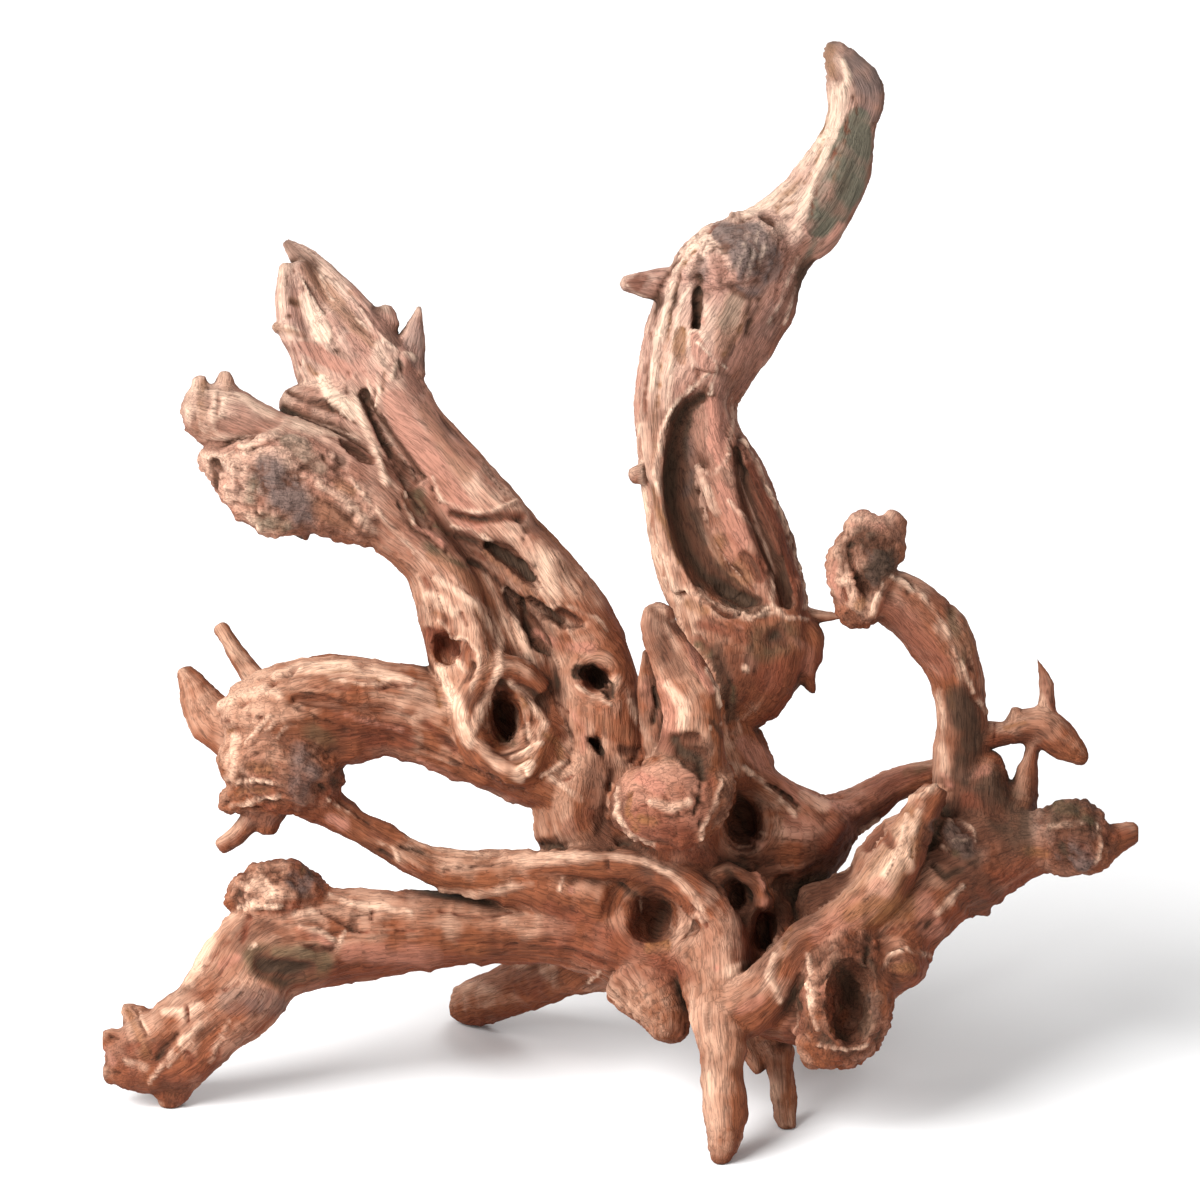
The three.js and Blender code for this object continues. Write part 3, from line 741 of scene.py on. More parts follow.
class FibreMap:
    """Which limbs' fibres run where on the skin, and how they run there."""

    MARGIN_MM = 18.0
    SOFTNESS_MM = 2.6

    def __init__(self, points: np.ndarray, wood: "Driftwood") -> None:
        """Place every point of the skin on the limbs near it.

        Args:
            points: The skin's points in millimetres, one row each.
            wood: The wood whose limbs and knots are mapped.
        """
        self.points = points
        self.wood = wood
        self.nearest = np.full(len(points), np.inf)
        self.group = np.zeros(len(points), dtype=np.int64)
        self.entries: list[tuple[np.ndarray, np.ndarray, np.ndarray]] = []
        self.girths: list[float] = []
        relief = wood.relief
        wander = Noise(wood.seed + 1)
        drift = np.stack(
            [wander.at(points / relief.wander_pitch + shift) for shift in (0.0, 40.0)], axis=1
        )
        for number, (group, stroke) in enumerate(wood.fibre_strokes):
            if isinstance(stroke, Knot):
                rows, away, fibre = stroke.nearest(points, self.MARGIN_MM)
                self.girths.append(stroke.radius)
            else:
                sections = stroke.sections()
                rows, away, fibre = sections.nearest(points, self.MARGIN_MM)
                fibre[:, 2] /= self._stretch(stroke)
                self.girths.append(sections.girth)
                closer = rows[away < self.nearest[rows]]
                self.group[closer] = group
            fibre[:, :2] += drift[rows] * relief.wander
            fibre[:, 2] += 23.7 * number
            self.entries.append((rows, away, fibre))
            self.nearest[rows] = np.minimum(self.nearest[rows], away)

    def _stretch(self, stroke: Stroke) -> float:
        """Give how much longer than wide a limb's fibres are."""
        if stroke.growth is Growth.BURLED:
            return self.wood.relief.burl_stretch
        return self.wood.relief.stretch

    def weight(self, rows: np.ndarray, away: np.ndarray) -> np.ndarray:
        """Weigh one limb's fibres at some points against its neighbours'."""
        return np.exp(-(away - self.nearest[rows]) / self.SOFTNESS_MM)

    def relief(self) -> tuple[np.ndarray, np.ndarray, np.ndarray]:
        """Work out how far the surface stands up at each point.

        Returns:
            The height in millimetres, the same as a share from -1 in a valley to 1 on a crest,
            and how deep in a crack each point lies, from 0 to 1.
        """
        relief = self.wood.relief
        flutes = Noise(self.wood.seed + 2)
        fine = Noise(self.wood.seed + 3)
        flakes = Noise(self.wood.seed + 8)
        calm = Noise(self.wood.seed + 9).layered(self.points / relief.calm_pitch, 2)
        rough = np.clip(0.62 + 1.3 * calm, 0.12, 1.25)
        flaky = np.clip(0.35 - 2.2 * calm, 0.0, 1.0)
        height = np.zeros(len(self.points))
        crest = np.zeros(len(self.points))
        crack = np.zeros(len(self.points))
        total = np.full(len(self.points), 1e-9)
        for girth, (rows, away, fibre) in zip(self.girths, self.entries):
            if not len(rows):
                continue
            share = self.weight(rows, away)
            tall = relief.flute_height(girth)
            wide = flutes.ridged(fibre / relief.flute_pitch, 2)
            thin = fine.ridged(fibre / relief.fibre_pitch, 2)
            mixed = (wide + relief.fibre_share * thin) * rough[rows]
            level = flakes.layered(fibre / relief.flake_pitch + 5.0, 2) * relief.flake_levels
            part = level - np.floor(level)
            step = np.floor(level) + np.clip((part - 0.86) / 0.14, 0.0, 1.0)
            flake = (step / relief.flake_levels) * flaky[rows]
            split = 1.0 - np.abs(flutes.at(fibre / relief.crack_pitch + 71.0)) / 0.055
            split = np.clip(split, 0.0, 1.0) * np.clip(2.0 * calm[rows] + 0.25, 0.0, 1.0)
            strength = min(1.0, tall / relief.flute_limits[1] * 1.4)
            height[rows] += share * (
                tall * mixed
                + strength * relief.flake_levels * relief.flake_height * flake
                - strength * relief.crack_depth * split
            )
            crest[rows] += share * (mixed + 0.8 * flake)
            crack[rows] += share * split
            total[rows] += share
        return height / total, crest / total / 1.4, crack / total

    def burl_share(self) -> np.ndarray:
        """Work out how burled the surface is at each point.

        Returns:
            A share from 0 on plain wood to 1 on a burl.
        """
        burled = np.zeros(len(self.points))
        total = np.full(len(self.points), 1e-9)
        for (_, stroke), (rows, away, _) in zip(self.wood.fibre_strokes, self.entries):
            share = self.weight(rows, away)
            total[rows] += share
            if isinstance(stroke, Stroke) and stroke.growth is Growth.BURLED:
                burled[rows] += share
        return burled / total

    def by_face(self, keep: np.ndarray, faces: np.ndarray) -> tuple[list[np.ndarray], np.ndarray]:
        """Choose the three limbs whose fibres each face shows.

        Args:
            keep: The numbers of the points that the faces use.
            faces: The four point numbers of each face, counted among those.

        Returns:
            Three arrays of fibre coordinates, a row for each face corner, and the three limbs'
            shares at each face corner.
        """
        place = np.full(len(self.points), -1, dtype=np.int64)
        place[keep] = np.arange(len(keep))
        size = (len(keep), len(self.entries))
        away = np.full(size, 60.0, dtype=np.float32)
        fibre = np.zeros((*size, 3), dtype=np.float32)
        for number, (rows, distance, coordinates) in enumerate(self.entries):
            spot = place[rows]
            used = spot >= 0
            away[spot[used], number] = distance[used]
            fibre[spot[used], number] = coordinates[used]
        chosen = np.argpartition(away[faces].mean(axis=1), 3, axis=1)[:, :3]
        corner = faces.reshape(-1)
        limb = np.repeat(chosen, faces.shape[1], axis=0)
        gap = np.stack([away[corner, limb[:, slot]] for slot in range(3)], axis=1)
        share = np.exp(-(gap - gap.min(axis=1, keepdims=True)) / self.SOFTNESS_MM)
        share /= share.sum(axis=1, keepdims=True)
        coordinates = [fibre[corner, limb[:, slot]] for slot in range(3)]
        return coordinates, share


@dataclass(frozen=True)
class Patch:
    """A soft-edged place on the wood, in board millimetres."""

    centre: tuple[float, float, float]
    radius: float
    strength: float = 1.0

    def share(self, board: np.ndarray) -> np.ndarray:
        """Give how much of the patch lies on each point, from 0 to its strength."""
        gap = np.linalg.norm(board - np.array(self.centre), axis=1)
        return self.strength * np.clip(1.3 - gap / self.radius, 0.0, 1.0)


class Tone(Enum):
    """The colours that weathered wood takes, as linear red, green and blue. BROWN, DEEP and OLIVE also
    serve as painted shade, and CREAM and PINK as painted light.
    """

    TAN = (0.25, 0.112, 0.060)
    SALMON = (0.41, 0.19, 0.137)
    PINK = (0.58, 0.36, 0.295)
    CREAM = (0.74, 0.53, 0.40)
    BROWN = (0.105, 0.042, 0.024)
    DEEP = (0.056, 0.034, 0.021)
    MAUVE = (0.132, 0.092, 0.082)
    MOSS = (0.135, 0.125, 0.088)
    OLIVE = (0.110, 0.080, 0.044)
    RUST = (0.165, 0.048, 0.025)
    OCHRE = (0.235, 0.105, 0.043)


@dataclass(frozen=True)
class Mark:
    """A ridge, groove, smooth face, stain, painted shade or painted highlight on the front, along a line
    seen in the photograph.

    Each stop of the line is x, y and half width in pixels of the 1200 by 1200 photograph. The
    rise is in millimetres, and calm is how far the mark smooths the fibres under it.
    """

    stops: tuple[tuple[float, float, float], ...]
    rise: float = 0.0
    tone: Tone | None = None
    strength: float = 0.7
    calm: float = 0.0
    sharp: float = 0.3

    def share(self, x: np.ndarray, y: np.ndarray) -> tuple[np.ndarray, np.ndarray]:
        """Find where places of the photograph lie in the mark.

        Args:
            x: Pixels from the photograph's left edge.
            y: Pixels from its top edge.

        Returns:
            The row numbers inside the mark, and how near each is to its middle, from 0 to 1.
        """
        stops = np.array(self.stops, dtype=float)
        if len(stops) == 1:
            stops = np.repeat(stops, 2, axis=0)
        low = stops[:, :2].min(axis=0) - stops[:, 2].max()
        high = stops[:, :2].max(axis=0) + stops[:, 2].max()
        rows = np.nonzero((x > low[0]) & (x < high[0]) & (y > low[1]) & (y < high[1]))[0]
        place = np.stack([x[rows], y[rows]], axis=1)
        nearest = np.full(len(rows), np.inf)
        for start, end in zip(stops[:-1], stops[1:]):
            run = end[:2] - start[:2]
            ahead = (place - start[:2]) @ run / (run @ run + 1e-9)
            t = np.clip(ahead, 0.0, 1.0)
            gap = np.linalg.norm(place - start[:2] - t[:, None] * run, axis=1)
            nearest = np.minimum(nearest, gap / (start[2] + t * (end[2] - start[2])))
        inside = nearest < 1.0
        return rows[inside], 1.0 - nearest[inside]


class Painting:
    """What the marks do to each point of the skin that the photograph shows."""

    MIDDLE_PX = 600.0
    BIN_PX = 4.0
    BINS = 300
    BEHIND_MM = 12.0
    PIXEL_MM = 0.75
    WANDER_PX = 1.6
    WANDER_PITCH_MM = 8.0
    CRUMB_PITCH_MM = 4.6

    def __init__(self, points: np.ndarray, out: np.ndarray) -> None:
        """Find which points the photograph shows, and where.

        Args:
            points: The skin's points in millimetres in the part's frame.
            out: The way out of the wood at each point.
        """
        board = frame_to_board(points)
        nearness = EYE_DISTANCE_MM / (EYE_DISTANCE_MM + board[:, 1])
        self.x = self.MIDDLE_PX + board[:, 0] * nearness / self.PIXEL_MM
        self.y = self.MIDDLE_PX - board[:, 2] * nearness / self.PIXEL_MM
        column = np.clip(self.x / self.BIN_PX, 0, self.BINS - 1).astype(int)
        row = np.clip(self.y / self.BIN_PX, 0, self.BINS - 1).astype(int)
        front = np.full((self.BINS, self.BINS), np.inf)
        np.minimum.at(front, (row, column), board[:, 1])
        behind = board[:, 1] - front[row, column]
        self.x += self.WANDER_PX * Noise(91).layered(points / self.WANDER_PITCH_MM, 2)
        self.y += self.WANDER_PX * Noise(92).layered(points / self.WANDER_PITCH_MM, 2)
        toward = -board_to_frame_direction(np.array([[0.0, 1.0, 0.0]]))[0]
        facing = np.clip((out @ toward + 0.25) / 0.3, 0.0, 1.0)
        self.seen = np.clip((self.BEHIND_MM - behind) / 5.0, 0.0, 1.0) * facing
        crumbs = Noise(93).layered(points / self.CRUMB_PITCH_MM, 2)
        self.crumble = np.clip(0.78 + 1.5 * crumbs, 0.05, 1.3)
        self.rise = np.zeros(len(points))
        self.calm = np.zeros(len(points))
        self.marks: list[tuple[Mark, np.ndarray, np.ndarray]] = []

    def apply(self, marks: list[Mark]) -> None:
        """Work out where each mark lies, and add up how far the marks raise the surface.

        Args:
            marks: The marks, in the order in which they are laid on.
        """
        for mark in marks:
            rows, middle = mark.share(self.x, self.y)
            seen = self.seen[rows]
            soft = middle * middle * (3.0 - 2.0 * middle)
            wide = self.PIXEL_MM * max(stop[2] for stop in mark.stops)
            rise = min(max(mark.rise, -1.5 * wide), 0.7 * wide)
            thin = np.clip(1.6 - wide / 4.0, 0.0, 1.0)
            broken = 1.0 + thin * (self.crumble[rows] - 1.0)
            self.rise[rows] += rise * soft * seen * broken
            edge = (1.0 - mark.sharp) * min(max(5.5 / wide, 0.75), 1.0)
            flat = np.clip(middle / max(edge, 0.05), 0.0, 1.0) * seen
            self.calm[rows] = np.maximum(self.calm[rows], mark.calm * flat)
            self.marks.append((mark, rows, flat * broken * (1.0 - 0.25 * thin)))

    def colour(self, colours: np.ndarray, wobble: np.ndarray) -> None:
        """Lay the marks' colours on the wood: its own tones, and the painted shade and highlights that many
        marks carry.

        Args:
            colours: Red, green and blue for each point, changed in place.
            wobble: Noise that roughens the marks' edges.
        """
        for mark, rows, flat in self.marks:
            if mark.tone is None:
                continue
            share = np.clip(flat * (0.92 + 0.9 * wobble[rows]), 0.0, 1.0) * mark.strength
            colours[rows] += (np.array(mark.tone.value) - colours[rows]) * share[:, None]


@dataclass(frozen=True)
class Limbs:
    """A group of limbs and ridges that grow together."""

    def strokes(self) -> list[Stroke]:
        """Return the group's strokes in the order that they are joined."""
        values = [getattr(self, item.name) for item in fields(self)]
        return [value for value in values if isinstance(value, Stroke)]


@dataclass(frozen=True)
class TallLimb(Limbs):
    """The tall limb on the right of the middle, with its hooked head, burl, twig, spike and ridges."""

    tall_limb: Stroke = Stroke(
        path=(
            (173, 32, 417, 4.5, 4), (182, 32, 405, 13.5, 9), (193, 31, 382, 21.5, 12),
            (187, 29, 355, 18.5, 14), (183, 28, 337, 22, 17), (172, 27, 313, 26.5, 20),
            (156, 26, 290, 29, 23), (131, 25, 266, 33, 27), (108, 25, 241, 45, 31),
            (92, 25, 221, 48, 33), (78, 24, 198, 46, 32), (65, 21, 160, 37.5, 28),
            (64, 20, 138, 36.5, 28), (67, 18, 118, 38, 29), (76, 16, 93, 44, 31),
            (90, 13, 50, 50, 34), (102, 10, 12, 49, 36), (113, 5, -30, 46, 35),
            (110, 2, -57, 40, 32), (101, 1, -71, 31, 28), (90, 0, -83, 22, 26),
            (91, 0, -100, 25, 27), (100, 0, -128, 31, 30),
        ),
        lobes=5,
        lobe_depth=0.05,
    )
    shoulder_burl: Stroke = Stroke(
        path=(
            (68, 12, 250, 16, 16), (84, 8, 254, 25, 25), (106, 6, 260, 28.5, 28),
            (124, 10, 270, 24, 20),
        ),
        growth=Growth.BURLED,
    )
    shoulder_twig: Stroke = Stroke(
        path=(
            (62, 20, 236, 14, 9), (38, 10, 236, 12, 8), (19, 3, 237, 6.5, 6),
        ),
        fillet=4.5,
    )
    limb_thorn: Stroke = Stroke(
        path=(
            (40, 14, 96, 11, 9), (25, 9, 93, 5.5, 5),
        ),
        fillet=4.5,
    )
    limb_spike: Stroke = Stroke(
        path=(
            (148, 8, -12, 7, 7), (166, 6, -12, 4.5, 4.5), (187, 4, -13, 0.6, 0.6),
        ),
        fillet=3,
    )
    skirt: Stroke = Stroke(
        path=(
            (146, 4, -18, 13, 14), (155, 3, -34, 14, 14), (154, 3, -54, 8, 9),
            (160, 2, -69, 1.2, 1.5),
        ),
        fillet=4.5,
    )
    limb_ridge: Stroke = Stroke(
        path=(
            (60, 14, 250, 5, 6), (43, 9, 200, 7, 7), (37, 3, 140, 7, 7), (45, -4, 75, 7, 7),
            (60, -6, 8, 6.5, 6),
        ),
        fillet=3,
    )
    flap_plate: Stroke = Stroke(
        path=(
            (93, -4, 205, 5, 4), (84, -8, 190, 13, 6), (80, -9, 174, 8, 4),
        ),
        fillet=4.5,
    )


@dataclass(frozen=True)
class UpperStrands(Limbs):
    """The broken strands at the upper left, which run together into the trunk."""

    spear_strand: Stroke = Stroke(
        path=(
            (-236, 28, 269, 3, 3), (-227, 27, 260, 8, 5), (-214, 25, 249, 9, 7),
            (-188, 18, 218, 15, 13), (-155, 10, 172, 18, 17),
        ),
    )
    slab_face: Stroke = Stroke(
        path=(
            (-227, 15, 250, 6, 7), (-222, 14, 232, 11, 10), (-216, 13, 214, 16, 12),
            (-206, 12, 196, 18, 14),
        ),
    )
    fibre_slab: Stroke = Stroke(
        path=(
            (-236, 14, 250, 4, 5), (-235, 11, 232, 8, 10), (-231, 8, 206, 11, 12),
            (-222, 8, 186, 11, 13), (-214, 8, 168, 14, 14), (-203, 8, 155, 14, 14),
        ),
        fillet=4.5,
    )
    slab_tooth: Stroke = Stroke(
        path=(
            (-232, 6, 206, 6, 6), (-243, 4, 204, 3.5, 3.5),
        ),
        fillet=3,
    )
    ledge_tooth: Stroke = Stroke(
        path=(
            (-198, 4, 140, 28, 16), (-219, 0, 145, 19, 12), (-236, -4, 149, 10, 7),
        ),
    )
    upper_strand: Stroke = Stroke(
        path=(
            (-208, 14, 208, 25, 16), (-188, 12, 182, 31, 20), (-166, 10, 157, 31, 22),
            (-143, 8, 131, 26, 24), (-101, 5, 85, 24, 25), (-62, 2, 42, 23.5, 27),
            (-38, 0, 12, 25.5, 28), (-19, 0, -14, 27.5, 29), (-6, 0, -50, 30, 30),
            (3, 0, -98, 32, 33), (10, 0, -150, 35, 36),
        ),
        lobes=4,
        lobe_depth=0.05,
    )
    strand_thorn: Stroke = Stroke(
        path=(
            (-147, 14, 174, 16, 10), (-140, 17, 198, 9.5, 7), (-135.5, 18, 220, 1.5, 1.5),
        ),
        fillet=4.5,
    )
    strand_plate: Stroke = Stroke(
        path=(
            (-172, 14, 196, 14, 8), (-162, 16, 208, 11, 6), (-162, 16, 219, 6, 4.5),
        ),
        fillet=4.5,
    )
    trunk_core: Stroke = Stroke(
        path=(
            (-192, 6, 142, 20, 18), (-152, 6, 102, 26, 19), (-112, 6, 58, 30, 20),
            (-78, 6, 14, 32, 21), (-56, 7, -38, 33, 22), (-38, 5, -112, 31, 26),
        ),
    )
    left_strand: Stroke = Stroke(
        path=(
            (-304, -27, 143, 18, 14), (-280, -24, 135, 23, 18), (-255, -22, 124, 21.5, 20),
            (-203, -18, 98, 27, 24), (-176, -14, 80, 28, 26), (-150, -10, 57, 27, 27),
            (-124, -8, 30, 24, 28), (-111, -6, 0, 27, 28), (-97, -4, -48, 30, 31),
            (-80, -3, -90, 37, 34), (-58, -2, -112, 39, 34), (-32, 0, -132, 29, 33),
            (-4, 0, -150, 26, 32),
        ),
        lobes=4,
        lobe_depth=0.05,
    )
    strand_tine_a: Stroke = Stroke(
        path=(
            (-298, -26, 148, 8, 8), (-300, -28, 165, 5, 4.5),
        ),
        fillet=3,
    )
    strand_tine_b: Stroke = Stroke(
        path=(
            (-281, -24, 150, 11, 8), (-280.5, -22, 169, 4.5, 4),
        ),
        fillet=4.5,
    )
    grey_burl: Stroke = Stroke(
        path=(
            (-288, -25, 108, 13, 12), (-269, -28, 91, 22, 23), (-244, -30, 86, 36, 31),
            (-216, -27, 84, 33, 29), (-172, -16, 64, 21, 22),
        ),
        growth=Growth.BURLED,
        lobes=3,
        lobe_depth=0.05,
    )
    burl_nub: Stroke = Stroke(
        path=(
            (-227, -24, 60, 13, 12), (-221, -22, 45.5, 5, 6),
        ),
        growth=Growth.BURLED,
        fillet=4.5,
    )
    burl_crest: Stroke = Stroke(
        path=(
            (-290, -36, 106, 4, 5), (-262, -44, 116, 5, 6), (-243, -48, 119, 5, 6),
            (-222, -46, 116, 5, 6), (-200, -42, 104, 5, 6),
        ),
        growth=Growth.BURLED,
        fillet=3,
    )
    swirl_strand: Stroke = Stroke(
        path=(
            (-110, -26, 24, 8, 9), (-102, -28, 0, 9, 10), (-95, -30, -22, 10, 11),
            (-91, -32, -46, 10, 11),
        ),
        fillet=10,
    )
    knot_rim: Stroke = Stroke(
        path=(
            (-44, -24, -66, 7, 9), (-62, -31, -52, 8, 10), (-88, -34, -59, 9, 11),
            (-99, -35, -93, 10, 12), (-80, -36, -123, 10, 12), (-56, -34, -127, 9, 11),
            (-40, -27, -100, 7, 8),
        ),
        fillet=10,
    )


@dataclass(frozen=True)
class LeftLimb(Limbs):
    """The left limb, which ends in a burl with a spur, a twig and small root stubs."""

    left_limb: Stroke = Stroke(
        path=(
            (-266, -18, -86, 24, 20), (-245, -20, -89, 35, 28), (-222, -18, -87, 41, 33),
            (-198, -14, -83, 40, 34), (-162, -8, -80, 34, 31), (-126, -4, -88, 35, 30),
            (-78, 0, -106, 36, 34),
        ),
        lobes=4,
        lobe_depth=0.05,
    )
    limb_burl: Stroke = Stroke(
        path=(
            (-270, -18, -120, 17, 18), (-248, -24, -121, 33, 28), (-224, -24, -127, 32, 29),
            (-209, -16, -133, 17, 20),
        ),
        growth=Growth.BURLED,
    )
    spur: Stroke = Stroke(
        path=(
            (-262, 2, -100, 26, 18), (-284, 8, -95, 20, 14), (-299, 13, -80, 15.5, 11),
            (-307, 16, -63, 9.5, 8.5), (-313, 19, -54, 6.5, 6),
        ),
    )
    rear_twig: Stroke = Stroke(
        path=(
            (-236, 0, -86, 10, 10), (-263, 42, -56, 8, 8), (-287, 58, -21, 5.5, 5.5),
        ),
        fillet=4.5,
    )
    root_nub: Stroke = Stroke(
        path=(
            (-256, -14, -140, 20, 18), (-272, -12, -149, 11, 12), (-280, -10, -152, 6, 7),
        ),
        growth=Growth.BURLED,
    )
    long_stub: Stroke = Stroke(
        path=(
            (-250, -10, -148, 16, 16), (-261, -6, -164, 8, 9), (-272, -2, -177, 7, 7),
            (-284, 2, -184, 6, 6),
        ),
        fillet=4.5,
    )
    short_stub: Stroke = Stroke(
        path=(
            (-244, -10, -150, 14, 14), (-249, -8, -165, 9.5, 9), (-250, -6, -174, 5.5, 5),
        ),
        fillet=4.5,
    )


@dataclass(frozen=True)
class Bridge(Limbs):
    """The thin bridge from the left limb's burl back to the trunk, under the open loop."""

    bridge: Stroke = Stroke(
        path=(
            (-216, -16, -148, 18, 18), (-197, -16, -160, 12.5, 12), (-169, -16, -178, 12, 11),
            (-140, -16, -193, 12, 12), (-118, -16, -201, 14.5, 14), (-80, -15, -206, 18, 20),
            (-4, -6, -220, 29, 30),
        ),
    )
    bridge_thorn: Stroke = Stroke(
        path=(
            (-206, -12, -142, 9, 9), (-192, -12, -151, 4, 4), (-175, -12, -161, 0.7, 0.7),
        ),
        fillet=3,
    )
    bridge_tab: Stroke = Stroke(
        path=(
            (-108, -14, -204, 12, 10), (-117, -14, -214, 4, 4),
        ),
        fillet=4.5,
    )


@dataclass(frozen=True)
class LeftRoot(Limbs):
    """The long root at the lower left."""

    left_root: Stroke = Stroke(
        path=(
            (60, 0, -258, 42, 40), (-10, 4, -245, 32, 30), (-50, 6, -245, 28, 27),
            (-90, 6, -247, 26, 25), (-160, 0, -249, 32, 28), (-222, -10, -254, 38, 32),
            (-253, -10, -266, 38, 33), (-271, -8, -289, 37, 31), (-292, -5, -311, 32, 28),
            (-315, -2, -330, 32, 25), (-337, 0, -342, 29, 22), (-356, 0, -347, 21, 17),
        ),
        lobes=4,
        lobe_depth=0.05,
    )
    root_knob: Stroke = Stroke(
        path=(
            (-265, -12, -220, 14, 16), (-254, -16, -219, 23, 24), (-236, -18, -219, 25, 26),
            (-220, -12, -218, 18, 20),
        ),
        growth=Growth.BURLED,
    )
    root_flap: Stroke = Stroke(
        path=(
            (-338, 4, -327, 19, 10), (-349, 7, -313, 11, 7), (-356, 8, -305, 3, 3),
        ),
    )
    root_end_upper: Stroke = Stroke(
        path=(
            (-353, -2, -334, 14, 11), (-370, -4, -327, 7, 7),
        ),
        fillet=4.5,
    )
    root_end_lower: Stroke = Stroke(
        path=(
            (-352, 0, -352, 14, 11), (-369, 0, -357, 6.5, 6),
        ),
        fillet=4.5,
    )
    left_toe: Stroke = Stroke(
        path=(
            (-308, -2, -338, 22, 20), (-320, 2, -360, 16, 14), (-323, 5, -381, 6.5, 8),
        ),
    )


@dataclass(frozen=True)
class TrunkFoot(Limbs):
    """The trunk's foot: front arch, hub and the short roots that the wood stands on."""

    hub: Stroke = Stroke(
        path=(
            (-10, 0, -138, 32, 34), (-11, 0, -168, 36, 36), (22, 3, -196, 46, 40),
            (62, 4, -218, 54, 44), (100, 0, -246, 48, 42), (124, -4, -280, 34, 36),
        ),
        lobes=5,
        lobe_depth=0.05,
    )
    hub_strand: Stroke = Stroke(
        path=(
            (84, -10, -120, 11, 13), (108, -8, -128, 13, 15), (150, 2, -157, 16, 18),
            (168, 8, -176, 20, 22),
        ),
    )
    front_arch: Stroke = Stroke(
        path=(
            (-68, -22, -198, 9, 11), (-10, -38, -195, 11, 14), (20, -44, -196, 12, 15),
            (48, -50, -204, 13, 17), (72, -54, -219, 14, 17), (90, -56, -238, 15, 17),
            (94, -60, -282, 16, 18),
        ),
    )
    ring_lip: Stroke = Stroke(
        path=(
            (82, -44, -208, 6, 8), (97, -48, -202, 6, 9), (117, -47, -212, 6, 9),
            (121, -42, -232, 6, 9), (108, -38, -246, 7, 9),
        ),
        fillet=10,
    )
    front_stub: Stroke = Stroke(
        path=(
            (86, -36, -268, 30, 28), (88, -62, -304, 20, 20), (91, -78, -335, 17.5, 16),
            (92, -86, -361, 14.5, 14), (92.5, -92, -384, 14.5, 14), (91, -96, -403, 11, 11),
            (89, -98, -417, 6, 7),
        ),
    )
    thin_stub: Stroke = Stroke(
        path=(
            (116, -6, -298, 26, 24), (129.5, -18, -330, 14, 14), (134, -26, -352, 9, 9),
            (140, -36, -394, 7, 6.5),
        ),
    )
    stub_flake: Stroke = Stroke(
        path=(
            (111, -20, -330, 8, 6), (117, -24, -345, 6, 4), (119, -24, -352, 4, 3),
        ),
        fillet=3,
    )
    blunt_stub: Stroke = Stroke(
        path=(
            (36, -8, -282, 32, 26), (51, -26, -310, 18, 14), (50, -30, -326, 11, 9),
        ),
    )
    rear_stub: Stroke = Stroke(
        path=(
            (6, 40, -262, 30, 28), (-34, 82, -281, 22, 22), (-90, 143, -305, 17.5, 18),
            (-101, 158, -310, 14, 15),
        ),
    )
    rear_root: Stroke = Stroke(
        path=(
            (130, 20, -240, 38, 36), (158, 76, -266, 28, 28), (176, 128, -286, 20, 20),
            (188, 206, -313, 12, 12),
        ),
    )


@dataclass(frozen=True)
class FrontBulb(Limbs):
    """The front bulb with its upright broken stub."""

    upright_stub: Stroke = Stroke(
        path=(
            (44, -96, -8, 11, 9), (47, -94, -26, 14, 12), (65, -90, -62, 20, 17),
            (70, -87, -85, 20.5, 19), (69, -82, -110, 24, 20), (66, -74, -136, 24, 22),
        ),
        lobes=3,
        lobe_depth=0.06,
    )
    stub_wall: Stroke = Stroke(
        path=(
            (34, -66, -38, 3.5, 6), (37, -62, -58, 9, 9), (41, -58, -84, 12, 12),
            (48, -66, -136, 14, 16),
        ),
        fillet=4.5,
    )
    bulb: Stroke = Stroke(
        path=(
            (22, -78, -153, 18, 17), (38, -84, -151, 31, 27), (55, -85, -149, 35, 30),
            (72, -80, -144, 30, 27), (82, -70, -136, 19, 19),
        ),
        growth=Growth.BURLED,
    )
    bulb_root: Stroke = Stroke(
        path=(
            (54, -72, -158, 26, 24), (60, -36, -180, 32, 30), (72, -4, -204, 38, 36),
        ),
    )


